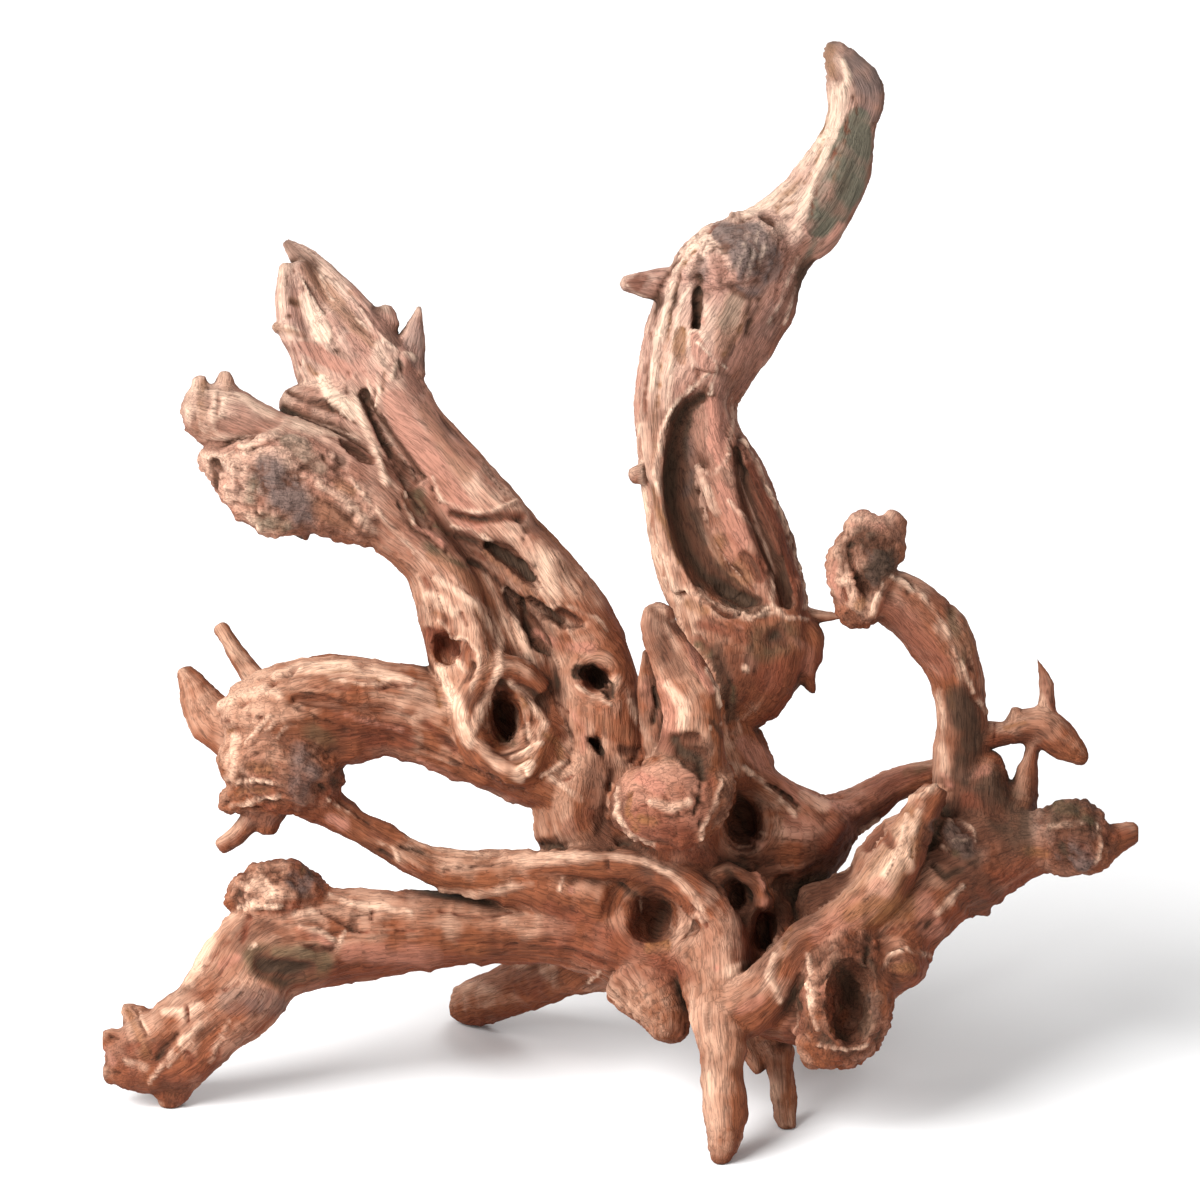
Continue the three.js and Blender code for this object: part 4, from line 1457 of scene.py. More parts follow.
@dataclass(frozen=True)
class RightArch(Limbs):
    """The limb to the right, its branch, and the arch that curls over with a knob at its end."""

    right_branch: Stroke = Stroke(
        path=(
            (92, 4, -186, 52, 40), (126, 10, -183, 48, 36), (152, 18, -181, 34, 31),
            (179, 30, -166, 19, 21), (206, 40, -151, 13.5, 15), (225, 46, -139, 11.5, 12),
            (268, 36, -126, 11, 10),
        ),
        lobes=4,
        lobe_depth=0.05,
    )
    arch: Stroke = Stroke(
        path=(
            (273, 4, -166, 20, 22), (270.5, 5, -120, 18, 18), (270.5, -3, -76, 17.5, 19),
            (265, -11, -50, 20, 20), (253, -19, -28, 23, 21), (236, -27, -11, 22, 20),
            (219, -35, 1, 20, 19), (206, -40, 4, 18, 17),
        ),
        lobes=4,
        lobe_depth=0.05,
    )
    arch_knob: Stroke = Stroke(
        path=(
            (196, -41, -9, 15, 15), (193, -43, 10, 22.5, 21), (196, -45, 30, 24, 22),
            (203, -45, 44, 24, 19), (204, -43, 52, 22, 14),
        ),
        growth=Growth.BURLED,
    )
    knob_finger: Stroke = Stroke(
        path=(
            (212, -42, 46, 13, 13), (221, -40, 61, 8.5, 8),
        ),
        fillet=4.5,
    )
    arch_collar: Stroke = Stroke(
        path=(
            (213, -50, 15, 4, 6), (207, -56, 1, 4.5, 6), (204, -52, -12, 3, 5),
        ),
        fillet=3,
    )
    twig: Stroke = Stroke(
        path=(
            (276, 4, -103, 11, 11), (306, 9, -99.5, 8, 9), (314, 10, -96, 12, 11),
            (330, 10, -94, 13.5, 12), (343, 9, -103, 13, 11), (355, 7, -112, 10, 8),
            (364, 5, -118, 5.5, 5),
        ),
        fillet=4.5,
    )
    twig_knob: Stroke = Stroke(
        path=(
            (313, 8, -92, 6, 6), (312, 6, -82, 4, 4),
        ),
        fillet=3,
    )
    twig_spur: Stroke = Stroke(
        path=(
            (335, 11, -90, 7, 7), (336, 13, -70, 6, 5), (334, 14, -57, 4.5, 4),
            (328, 15, -44, 0.8, 0.8),
        ),
        fillet=3,
    )
    twig_leg: Stroke = Stroke(
        path=(
            (326, 12, -104, 6, 6), (322, 12, -122, 5.5, 6), (315, 8, -156, 14, 15),
            (308, 2, -174, 22, 22),
        ),
    )


@dataclass(frozen=True)
class RootMass(Limbs):
    """The root mass at the lower right, with its burls, ring knot and hollow knob."""

    boulder: Stroke = Stroke(
        path=(
            (290, 10, -124, 12, 14), (287, 8, -137, 20, 22), (285, 4, -158, 25, 26),
            (286, 0, -180, 29, 28),
        ),
    )
    right_limb: Stroke = Stroke(
        path=(
            (342, -18, -180, 17, 17), (318, -12, -184, 22, 22), (298, -10, -190, 29, 28),
            (276, -14, -198, 35, 32), (256, -22, -209, 33, 34), (236, -34, -227, 34, 33),
            (188, -60, -276, 36, 34), (160, -58, -296, 35, 30), (126, -40, -298, 29, 28),
        ),
        lobes=4,
        lobe_depth=0.05,
    )
    back_panel: Stroke = Stroke(
        path=(
            (250, -12, -162, 12, 14), (234, -14, -170, 13, 15), (214, -16, -188, 16, 17),
            (195, -18, -214, 15, 20), (164, -16, -234, 22, 22),
        ),
    )
    end_burl: Stroke = Stroke(
        path=(
            (334, -18, -177, 20, 17), (350, -22, -177, 27.5, 25), (363, -22, -180, 25, 22),
            (373, -20, -187, 18, 15),
        ),
        growth=Growth.BURLED,
    )
    end_spur: Stroke = Stroke(
        path=(
            (372, -20, -185, 15, 13), (388, -18, -178, 10.5, 9), (400, -16, -174, 7.5, 7),
        ),
        fillet=4.5,
    )
    limb_barb_a: Stroke = Stroke(
        path=(
            (286, -8, -210, 12, 12), (300, -6, -226, 2.5, 3),
        ),
        fillet=4.5,
    )
    limb_barb_b: Stroke = Stroke(
        path=(
            (272, -14, -222, 14, 14), (290, -10, -234, 1.5, 2),
        ),
        fillet=4.5,
    )
    front_root: Stroke = Stroke(
        path=(
            (250, -34, -146, 11, 12), (238, -48, -164, 14, 15), (224, -60, -190, 17, 18),
            (209, -68, -213, 17, 18), (190, -73, -233, 17, 18), (168, -76, -249, 16, 18),
            (149, -78, -257, 15, 17), (122, -76, -292, 20, 20), (104, -64, -304, 22, 22),
        ),
        lobes=3,
        lobe_depth=0.06,
    )
    hollow_knob: Stroke = Stroke(
        path=(
            (184, -78, -262, 24, 24), (184, -88, -284, 33, 30), (183, -92, -303, 34.5, 31),
            (180, -90, -320, 30, 26), (173, -86, -333, 20, 16),
        ),
        growth=Growth.BURLED,
        lobes=5,
        lobe_depth=0.04,
    )
    knob_toe: Stroke = Stroke(
        path=(
            (162, -78, -325, 17, 15), (159, -84, -343, 8, 7),
        ),
        growth=Growth.BURLED,
    )
    ring_knot: Stroke = Stroke(
        path=(
            (224, -48, -266, 21, 21), (223, -76, -271, 18, 18), (223, -90, -273, 13, 13),
        ),
        growth=Growth.BURLED,
        up_board=True,
    )
    fibrous_burl: Stroke = Stroke(
        path=(
            (252, -34, -170, 10, 10), (264, -36, -182, 14, 15), (274, -32, -196, 11, 12),
        ),
        growth=Growth.BURLED,
        fillet=4.5,
    )


@dataclass(frozen=True)
class BackStrands(Limbs):
    """Strands and stubs on the back."""

    limb_back_ridge: Stroke = Stroke(
        path=(
            (152, 46, 292, 8, 8), (108, 52, 236, 11, 10), (68, 47, 160, 10, 10),
            (86, 46, 70, 11, 10), (110, 34, -48, 10, 9),
        ),
        fillet=4.5,
    )
    trunk_back_ridge: Stroke = Stroke(
        path=(
            (-150, 26, 136, 11, 10), (-50, 22, 12, 15, 15), (-12, 26, -110, 17, 18),
            (14, 36, -192, 15, 15),
        ),
    )
    rear_branch_stub: Stroke = Stroke(
        path=(
            (0, 20, -60, 26, 24), (-8, 66, -50, 17, 17), (-14, 90, -44, 12, 12),
        ),
    )
    rear_mid_root: Stroke = Stroke(
        path=(
            (44, 30, -210, 36, 34), (32, 86, -225, 25, 25), (20, 126, -233, 17, 17),
            (12, 148, -238, 12, 12),
        ),
    )
    limb_back_twig: Stroke = Stroke(
        path=(
            (92, 40, 60, 16, 16), (84, 64, 74, 9, 9), (78, 82, 86, 6, 6),
        ),
        fillet=4.5,
    )


@dataclass(frozen=True)
class Hollows(Limbs):
    """Hollows worn or rotted into the wood."""

    limb_hollow: Stroke = Stroke(
        path=(
            (74, -14, 162, 5, 8), (67, -14, 138, 14, 18), (65, -16, 98, 17, 25),
            (75, -20, 54, 22, 27), (93, -23, 18, 25, 25), (104, -25, 4, 18, 18),
        ),
    )
    limb_groove: Stroke = Stroke(
        path=(
            (101, -8, 114, 3, 10), (107, -13, 85, 7, 14), (124, -18, 40, 9, 16),
            (139, -20, -3, 7, 12),
        ),
        fillet=4.5,
    )
    knot_hole: Stroke = Stroke(
        path=(
            (-72, -70, -88, 17, 27), (-72, -30, -89, 15, 23), (-70, 4, -90, 8, 13),
        ),
        up_board=True,
    )
    front_hollow: Stroke = Stroke(
        path=(
            (38, -90, -237, 25, 26), (39, -44, -239, 23, 23), (40, -18, -240, 14, 14),
        ),
        up_board=True,
    )
    hub_hole: Stroke = Stroke(
        path=(
            (110, -70, -166, 18, 25), (108, -24, -166, 16, 22), (106, 2, -168, 9, 12),
        ),
        up_board=True,
    )
    knob_cavity: Stroke = Stroke(
        path=(
            (188, -150, -296, 22, 36), (186, -112, -298, 18, 32), (184, -86, -300, 9, 16),
        ),
        up_board=True,
    )
    trunk_hole: Stroke = Stroke(
        path=(
            (-3, -50, -57, 15, 13), (-1, -24, -59, 12, 10), (0, -6, -60, 6, 5),
        ),
        up_board=True,
        fillet=4.5,
    )
    small_hole: Stroke = Stroke(
        path=(
            (-3, -50, -107, 6, 8), (-2, -20, -108, 4, 6),
        ),
        up_board=True,
        fillet=3,
    )
    rough_hollow: Stroke = Stroke(
        path=(
            (-120, -48, -35, 16, 16), (-112, -16, -38, 11, 12),
        ),
        up_board=True,
        fillet=4.5,
    )
    ring_hollow: Stroke = Stroke(
        path=(
            (102, -62, -221, 9, 12), (102, -26, -222, 7, 9),
        ),
        up_board=True,
        fillet=4.5,
    )
    root_gap: Stroke = Stroke(
        path=(
            (123, -62, -248, 11, 21), (122, -12, -246, 8, 14),
        ),
        up_board=True,
    )
    limb_dimple: Stroke = Stroke(
        path=(
            (131, -52, -28, 12, 11), (130, -43, -30, 8, 8),
        ),
        up_board=True,
        fillet=4.5,
    )
    bulb_hollow: Stroke = Stroke(
        path=(
            (54, -104, -116, 5, 6), (68, -107, -106, 9, 9), (80, -102, -114, 5, 6),
        ),
        fillet=3,
    )


@dataclass(frozen=True)
class Slots(Limbs):
    """Slots and grooves between the fibres."""

    dark_slot: Stroke = Stroke(
        path=(
            (-70, -16, 6, 4, 8), (-60, -14, -8, 7, 11), (-48, -14, -22, 8, 12),
            (-38, -16, -36, 5, 8),
        ),
        fillet=4.5,
    )
    side_slot: Stroke = Stroke(
        path=(
            (-58, -14, 0, 4, 6), (-42, -20, -9, 5, 8), (-24, -27, -16, 6, 8),
            (-12, -28, -18, 3, 5),
        ),
        fillet=3,
    )
    eye_slot: Stroke = Stroke(
        path=(
            (-86, -14, 42, 4, 6), (-72, -20, 33, 8, 10), (-58, -22, 21, 7, 9),
            (-46, -26, 10, 3, 5),
        ),
        fillet=4.5,
    )
    oval_hollow: Stroke = Stroke(
        path=(
            (-141, -31, 80, 6, 7), (-136, -34, 68, 7, 9), (-131, -36, 57, 4, 6),
        ),
        fillet=3,
    )
    flat_hollow: Stroke = Stroke(
        path=(
            (-192, -28, 120, 3, 5), (-180, -31, 111, 6, 8), (-168, -31, 103, 3, 5),
        ),
        fillet=3,
    )
    strand_groove: Stroke = Stroke(
        path=(
            (-178, -10, 155, 3, 6), (-166, -13, 132, 5, 9), (-150, -14, 110, 6, 10),
            (-135, -16, 90, 5, 8),
        ),
        fillet=4.5,
    )
    left_limb_groove: Stroke = Stroke(
        path=(
            (-228, -50, -74, 4, 5), (-190, -50, -78, 7, 8), (-160, -42, -84, 7, 8),
            (-140, -37, -88, 4, 5),
        ),
        fillet=3,
    )
    knob_groove: Stroke = Stroke(
        path=(
            (186, -66, 44, 3, 5), (192, -68, 22, 5, 7), (199, -60, 4, 4, 6),
        ),
        fillet=3,
    )
    limb_slot: Stroke = Stroke(
        path=(
            (73, -6, 230, 3, 6), (74, -8, 216, 4.5, 8), (72, -6, 203, 3, 6),
        ),
        fillet=3,
    )
    hub_slit: Stroke = Stroke(
        path=(
            (120, -26, -136, 2, 6), (134, -24, -146, 4, 9), (148, -18, -156, 2, 6),
        ),
        fillet=3,
    )
    back_hollow: Stroke = Stroke(
        path=(
            (100, 80, 20, 13, 24), (100, 34, 20, 8, 14),
        ),
        up_board=True,
    )
    trunk_back_hollow: Stroke = Stroke(
        path=(
            (-78, 70, 40, 10, 15), (-76, 16, 38, 6, 9),
        ),
        up_board=True,
        fillet=4.5,
    )


@dataclass(frozen=True)
class InnerRidges(Limbs):
    """A fibrous tongue left standing in the tall limb's hollow."""

    limb_tongue: Stroke = Stroke(
        path=(
            (75, -4, 99, 3, 3), (83, -4, 85, 8, 7), (91, -5, 65, 11, 9), (107, -8, 36, 12, 9),
            (124, -11, 10, 7, 8), (128, -13, -6, 5, 7),
        ),
        fillet=4.5,
    )


# Besides the wood's own stains and pale faces, many dark DEEP and BROWN marks here are painted shade in
# grooves and pockets, and many CREAM marks along ridges are painted highlights.
TALL_LIMB_MARKS = (
    # These two marks darken the inside of the tall limb's hollow: the rust one partly its own colour and
    # partly painted shade, the DEEP band painted shade.
    Mark(((695, 395, 26), (700, 440, 34), (715, 500, 42), (745, 560, 40), (765, 590, 24)), 0,
         Tone.RUST, 0.6),
    Mark(((682, 405, 12), (680, 440, 17), (684, 490, 20), (694, 540, 20), (708, 578, 20),
          (735, 603, 15), (764, 611, 9)), 0, Tone.DEEP, 0.8),
    Mark(((668, 470, 9), (676, 520, 10)), 0, Tone.MAUVE, 0.5),
    Mark(((742, 445, 9), (765, 500, 14), (784, 555, 15), (796, 598, 10)), 0, Tone.RUST, 0.75),
    Mark(((722, 545, 15), (742, 575, 18)), 0, Tone.OCHRE, 0.6),
    Mark(((831, 47, 8), (828, 60, 7), (832, 76, 6)), 0, Tone.OCHRE, 0.7, 0.6),
    Mark(((850, 56, 9), (866, 78, 16), (873, 106, 17)), 0, Tone.MAUVE, 0.85, 0.7, 0.7),
    Mark(((858, 120, 14), (852, 150, 21), (842, 180, 25), (832, 205, 22), (818, 224, 14)),
         -1.2, Tone.MOSS, 0.95, 0.8, 0.8),
    Mark(((850, 160, 5), (843, 190, 7), (836, 212, 6)), 0, Tone.DEEP, 0.25),
    Mark(((845, 140, 3), (836, 168, 3), (830, 200, 3)), 0.5, Tone.TAN, 0.5),
    Mark(((843, 62, 5), (848, 74, 5), (842, 92, 7), (838, 112, 8), (832, 132, 8), (826, 150, 7),
          (819, 170, 7), (812, 190, 7), (804, 208, 8), (797, 226, 8)), 1.8, Tone.CREAM, 0.95, 0.7),
    Mark(((835, 86, 6), (832, 110, 6), (825, 130, 6), (814, 152, 6), (802, 168, 6)),
         0.6, Tone.CREAM, 0.95, 0.5),
    Mark(((829, 104, 2.2), (826, 118, 2.4), (820, 136, 2.2)), -0.6, Tone.OCHRE, 0.9),
    Mark(((823, 140, 2.6), (818, 158, 3), (811, 174, 2.4), (804, 184, 2.2)), -0.8, Tone.OCHRE, 0.9),
    Mark(((851, 96, 2.4), (848, 114, 3), (845, 131, 2.4)), -0.9, Tone.RUST, 0.9),
    Mark(((854, 80, 2.6), (853, 98, 2.2), (858, 114, 2)), -0.7, Tone.BROWN, 0.8),
    Mark(((849, 131, 3), (836, 152, 3), (826, 166, 2.6), (819, 182, 3), (814, 200, 3), (810, 222, 2.6)),
         -1.0, Tone.RUST, 0.9),
    Mark(((839, 224, 5), (829, 241, 7), (820, 257, 6)), 1.0, Tone.SALMON, 0.9, 0.4),
    Mark(((772, 198, 9), (757, 206, 8), (746, 214, 6)), 0.8, Tone.CREAM, 0.85, 0.8),
    Mark(((801, 178, 5), (793, 190, 5), (782, 200, 6), (776, 210, 6)), -0.6, Tone.OCHRE, 0.7),
    Mark(((796, 203, 3), (784, 205, 3), (776, 214, 4)), -1.0, Tone.OCHRE, 0.8),
    Mark(((764, 219, 8), (772, 225, 6)), -2.6, Tone.BROWN, 0.95, 0.5),
    Mark(((722, 232, 12), (745, 243, 24), (758, 262, 27), (750, 284, 17)), 0.5, Tone.MAUVE, 0.9, 0.2, 0.7),
    Mark(((718, 262, 10), (722, 272, 9)), -0.8, Tone.RUST, 0.5),
    Mark(((716, 222, 3), (735, 217, 3), (752, 219, 4)), -1.0, Tone.BROWN, 0.85),
    Mark(((746, 234, 2.2), (743, 252, 2.2), (738, 268, 2)), 0.9, Tone.CREAM, 0.35),
    Mark(((757, 232, 2.2), (752, 262, 2.4), (745, 284, 2.2)), 0.9, Tone.CREAM, 0.4),
    Mark(((764, 240, 2.2), (759, 270, 2.2)), 0.9, Tone.CREAM, 0.35),
    Mark(((740, 250, 1.8), (732, 275, 2)), -1.2, Tone.DEEP, 0.7),
    Mark(((751, 236, 1.8), (748, 262, 2), (742, 276, 1.8)), -1.2, Tone.DEEP, 0.7),
    Mark(((760, 246, 1.8), (755, 275, 2)), -1.2, Tone.DEEP, 0.6),
    Mark(((704, 262, 7), (700, 280, 8)), -1.0, Tone.MAUVE, 0.7),
    Mark(((718, 225, 3), (700, 240, 3), (685, 254, 3.5), (672, 268, 3.5), (664, 281, 3.5), (657, 300, 4.5),
          (652, 322, 5), (648, 347, 5), (645, 372, 4.5), (644, 398, 4.5), (646, 420, 3.5)),
         -1.8, Tone.RUST, 0.85, 0.4),
    Mark(((706, 235, 3), (690, 250, 4), (677, 268, 5), (669, 290, 5.5), (664, 316, 6), (658, 342, 6),
          (653, 366, 5.5), (652, 388, 5)), 2.0, Tone.CREAM, 0.95, 0.7),
    Mark(((696, 250, 2), (683, 264, 2.4), (676, 287, 2.6), (670, 312, 3), (667, 338, 3), (661, 362, 2.6),
          (659, 388, 3), (657, 408, 4)), -1.3, Tone.OCHRE, 0.85),
    Mark(((690, 285, 3), (681, 302, 3), (677, 320, 3), (674, 342, 3), (671, 366, 3.5), (670, 390, 4),
          (666, 408, 4)), 1.2, Tone.CREAM, 0.85),
    Mark(((681, 332, 7), (678, 349, 7), (682, 361, 5)), -1.4, Tone.OCHRE, 0.9, 0.8, 0.8),
    Mark(((700, 262, 6), (694, 275, 7), (698, 290, 8), (708, 296, 8)), -1.0, Tone.BROWN, 0.55),
    Mark(((697, 290, 5.5), (698, 308, 6), (696, 326, 5)), -4.0, Tone.DEEP, 0.97, 0.9, 0.75),
    Mark(((704, 318, 2.5), (703, 328, 2.5)), 1.4, Tone.SALMON, 0.9),
    Mark(((694, 337, 6), (698, 350, 9), (704, 362, 6)), 2.2, Tone.SALMON, 0.75, 1.0, 0.8),
    Mark(((688, 333, 2.2), (689, 350, 2), (693, 368, 2.2)), 1.2, Tone.CREAM, 0.95),
    Mark(((690, 331, 2.2), (700, 331, 2.2)), 1.0, Tone.CREAM, 0.8),
    Mark(((699, 343, 1.8), (710, 355, 2.2), (718, 362, 2.6), (727, 368, 2)), 2.0, Tone.CREAM, 0.97),
    Mark(((735, 302, 15), (730, 330, 18), (722, 350, 10)), 0, Tone.TAN, 0.5, 0.9, 0.6),
    Mark(((735, 302, 12), (728, 326, 12)), -1.0, Tone.MOSS, 0.4, 0.5),
    Mark(((752, 300, 3.5), (745, 322, 4), (735, 341, 4), (722, 355, 3)), -0.9, Tone.OCHRE, 0.7),
    Mark(((744, 345, 12), (732, 368, 8)), 0.3, Tone.SALMON, 0.55, 0.8),
    Mark(((722, 281, 5), (735, 291, 6), (748, 297, 6), (760, 299, 5)), -1.4, Tone.BROWN, 0.65),
    Mark(((790, 250, 3), (780, 276, 3), (775, 302, 3)), -0.9, Tone.RUST, 0.7),
    Mark(((798, 258, 3), (787, 282, 3), (780, 304, 3), (770, 322, 3)), 0.9, Tone.CREAM, 0.65),
    Mark(((779, 240, 2.4), (774, 262, 2.4), (768, 280, 2.4)), -0.9, Tone.BROWN, 0.7),
    Mark(((804, 240, 6), (796, 262, 6)), -0.6, Tone.RUST, 0.55),
    Mark(((812, 240, 5), (808, 258, 6), (800, 272, 4)), 0, Tone.MOSS, 0.75),
    Mark(((797, 290, 2.6), (790, 308, 3), (786, 324, 2.6)), 1.0, Tone.CREAM, 0.95),
    Mark(((816, 262, 2.4), (804, 272, 2.2), (800, 285, 2.2)), -0.6, Tone.BROWN, 0.85),
    Mark(((788, 328, 4), (775, 341, 5), (757, 356, 5), (745, 372, 4), (735, 390, 4)), 0, Tone.BROWN, 0.45),
    Mark(((628, 284, 5), (636, 284, 8), (642, 276, 6)), -0.6, Tone.RUST, 0.97, 0.8, 0.7),
    Mark(((624, 282, 2.5), (633, 292, 2.5), (645, 298, 3)), 0.4, Tone.CREAM, 0.8),
    Mark(((650, 275, 3), (645, 285, 4)), 0, Tone.BROWN, 0.6),
    Mark(((700, 397, 7), (688, 407, 8), (679, 425, 11), (675, 450, 13), (673, 475, 14), (674, 500, 14),
          (680, 525, 16), (690, 550, 18), (705, 573, 17), (725, 588, 14), (745, 600, 12)),
         -4.5, Tone.DEEP, 0.75, 1.0, 0.85),
    Mark(((690, 440, 6), (692, 470, 6), (686, 495, 6)), 0, Tone.MAUVE, 0.45),
    Mark(((690, 525, 7), (700, 550, 9), (712, 570, 8)), 0.5, Tone.BROWN, 0.5),
    Mark(((705, 388, 7), (702, 400, 5), (712, 398, 6)), -1.5, Tone.BROWN, 0.85, 0.8),
    Mark(((713, 404, 8), (717, 425, 10), (716, 448, 9), (722, 462, 6)), 2.2, Tone.SALMON, 0.9, 0.8, 0.7),
    Mark(((722, 415, 2), (718, 432, 2)), -0.6, Tone.RUST, 0.7),
    Mark(((732, 400, 3), (731, 425, 3), (728, 448, 3)), 0.8, Tone.CREAM, 0.6),
    Mark(((691, 387, 2.8), (680, 397, 3), (668, 415, 3.4), (662, 431, 4), (658, 450, 4), (655, 470, 4.5),
          (657, 492, 4.5)), 2.6, Tone.CREAM, 1.0, 0.8),
    Mark(((717, 366, 2.4), (713, 379, 2.4), (709, 395, 1.8)), 3.0, Tone.CREAM, 1.0, 1.0),
    Mark(((708, 372, 2.4), (700, 380, 2.4), (691, 387, 2.4)), 2.2, Tone.CREAM, 0.97, 1.0),
    Mark(((697, 371, 4.5), (699, 379, 3)), -1.2, Tone.RUST, 0.97),
    Mark(((652, 490, 6), (655, 505, 7), (660, 517, 6), (668, 531, 5.5), (674, 546, 5), (680, 562, 4)),
         -1.4, Tone.OCHRE, 0.85, 0.6),
    Mark(((655, 410, 5), (655, 432, 5), (654, 455, 4), (651, 468, 2.5)), -0.6, Tone.OCHRE, 0.6),
    Mark(((641, 425, 4), (640, 455, 4), (643, 482, 5), (650, 522, 6), (658, 547, 7), (668, 577, 6),
          (679, 600, 5)), 0.8, Tone.CREAM, 0.9, 0.5),
    Mark(((697, 466, 3), (703, 480, 4.5), (709, 496, 5), (716, 512, 6)), 3.2, Tone.CREAM, 0.65, 0.8, 0.7),
    Mark(((698, 485, 3), (702, 499, 3.5), (706, 511, 3)), -3.4, Tone.DEEP, 0.97, 0.8, 0.7),
    Mark(((702, 469, 2.4), (712, 475, 3), (722, 467, 3), (728, 456, 2.6)), 1.8, Tone.CREAM, 0.7),
    Mark(((722, 488, 9), (731, 515, 14), (738, 540, 15), (730, 556, 9)), 1.0, Tone.SALMON, 0.75, 0.8),
    Mark(((728, 500, 3), (742, 518, 3.4), (757, 533, 4), (767, 548, 4.6), (772, 575, 4.4), (771, 602, 3.6)),
         1.8, Tone.CREAM, 0.6, 0.8),
    Mark(((728, 537, 6), (738, 545, 4)), -0.8, Tone.RUST, 0.5),
    Mark(((744, 556, 9), (755, 566, 10), (760, 578, 6)), -1.8, Tone.RUST, 0.75, 0.8),
    Mark(((728, 566, 7), (742, 572, 7)), -1.0, Tone.BROWN, 0.7),
    Mark(((722, 587, 7), (740, 596, 9), (758, 601, 7)), -3.2, Tone.DEEP, 0.85, 0.8),
    Mark(((748, 470, 7), (758, 490, 9), (768, 515, 9), (780, 541, 8), (787, 566, 7), (791, 592, 6)),
         -2.2, Tone.RUST, 0.9, 0.8, 0.7),
    Mark(((738, 438, 4.5), (738, 460, 6), (745, 474, 3)), -2.0, Tone.BROWN, 0.95, 0.8),
    Mark(((781, 558, 5), (783, 585, 7), (789, 606, 6)), -2.2, Tone.DEEP, 0.65, 0.8),
    Mark(((741, 440, 2), (750, 456, 2.6), (762, 479, 2.6), (775, 507, 2.6), (784, 527, 2.6), (793, 552, 3),
          (800, 582, 3.4), (805, 607, 3.4)), 1.3, Tone.CREAM, 0.95),
    Mark(((683, 588, 4), (700, 597, 3.4), (715, 605, 3), (735, 612, 3), (755, 617, 3), (763, 612, 2.6),
          (771, 605, 3), (780, 611, 2.4), (788, 616, 2.6), (806, 619, 2.6)), 2.6, Tone.CREAM, 0.85, 1.0),
    Mark(((685, 592, 3),), -1.8, Tone.BROWN, 0.95),
    Mark(((690, 604, 8), (705, 612, 7)), -0.6, Tone.OCHRE, 0.7),
    Mark(((706, 622, 9), (728, 628, 10), (748, 630, 9)), 0.4, Tone.RUST, 0.55, 0.6),
    Mark(((706, 617, 2.2), (722, 625, 2.4), (736, 633, 2)), -1.0, Tone.BROWN, 0.6),
    Mark(((724, 617, 2), (742, 628, 2.2)), 0.8, Tone.SALMON, 0.6),
    Mark(((776, 634, 12), (772, 647, 11)), -2.6, Tone.DEEP, 0.8, 1.0, 0.3),
    Mark(((700, 638, 6), (707, 650, 6)), -1.4, Tone.BROWN, 0.8, 0.6),
    Mark(((760, 632, 7), (755, 645, 7)), -0.6, Tone.RUST, 0.6),
    Mark(((808, 650, 14), (815, 640, 12)), 0.4, Tone.OCHRE, 0.4, 0.8),
    Mark(((730, 660, 12), (745, 680, 12), (722, 700, 10)), 0.2, Tone.TAN, 0.4, 0.8),
    Mark(((688, 640, 3), (695, 660, 4), (700, 680, 5)), -2.0, Tone.DEEP, 0.7),
)
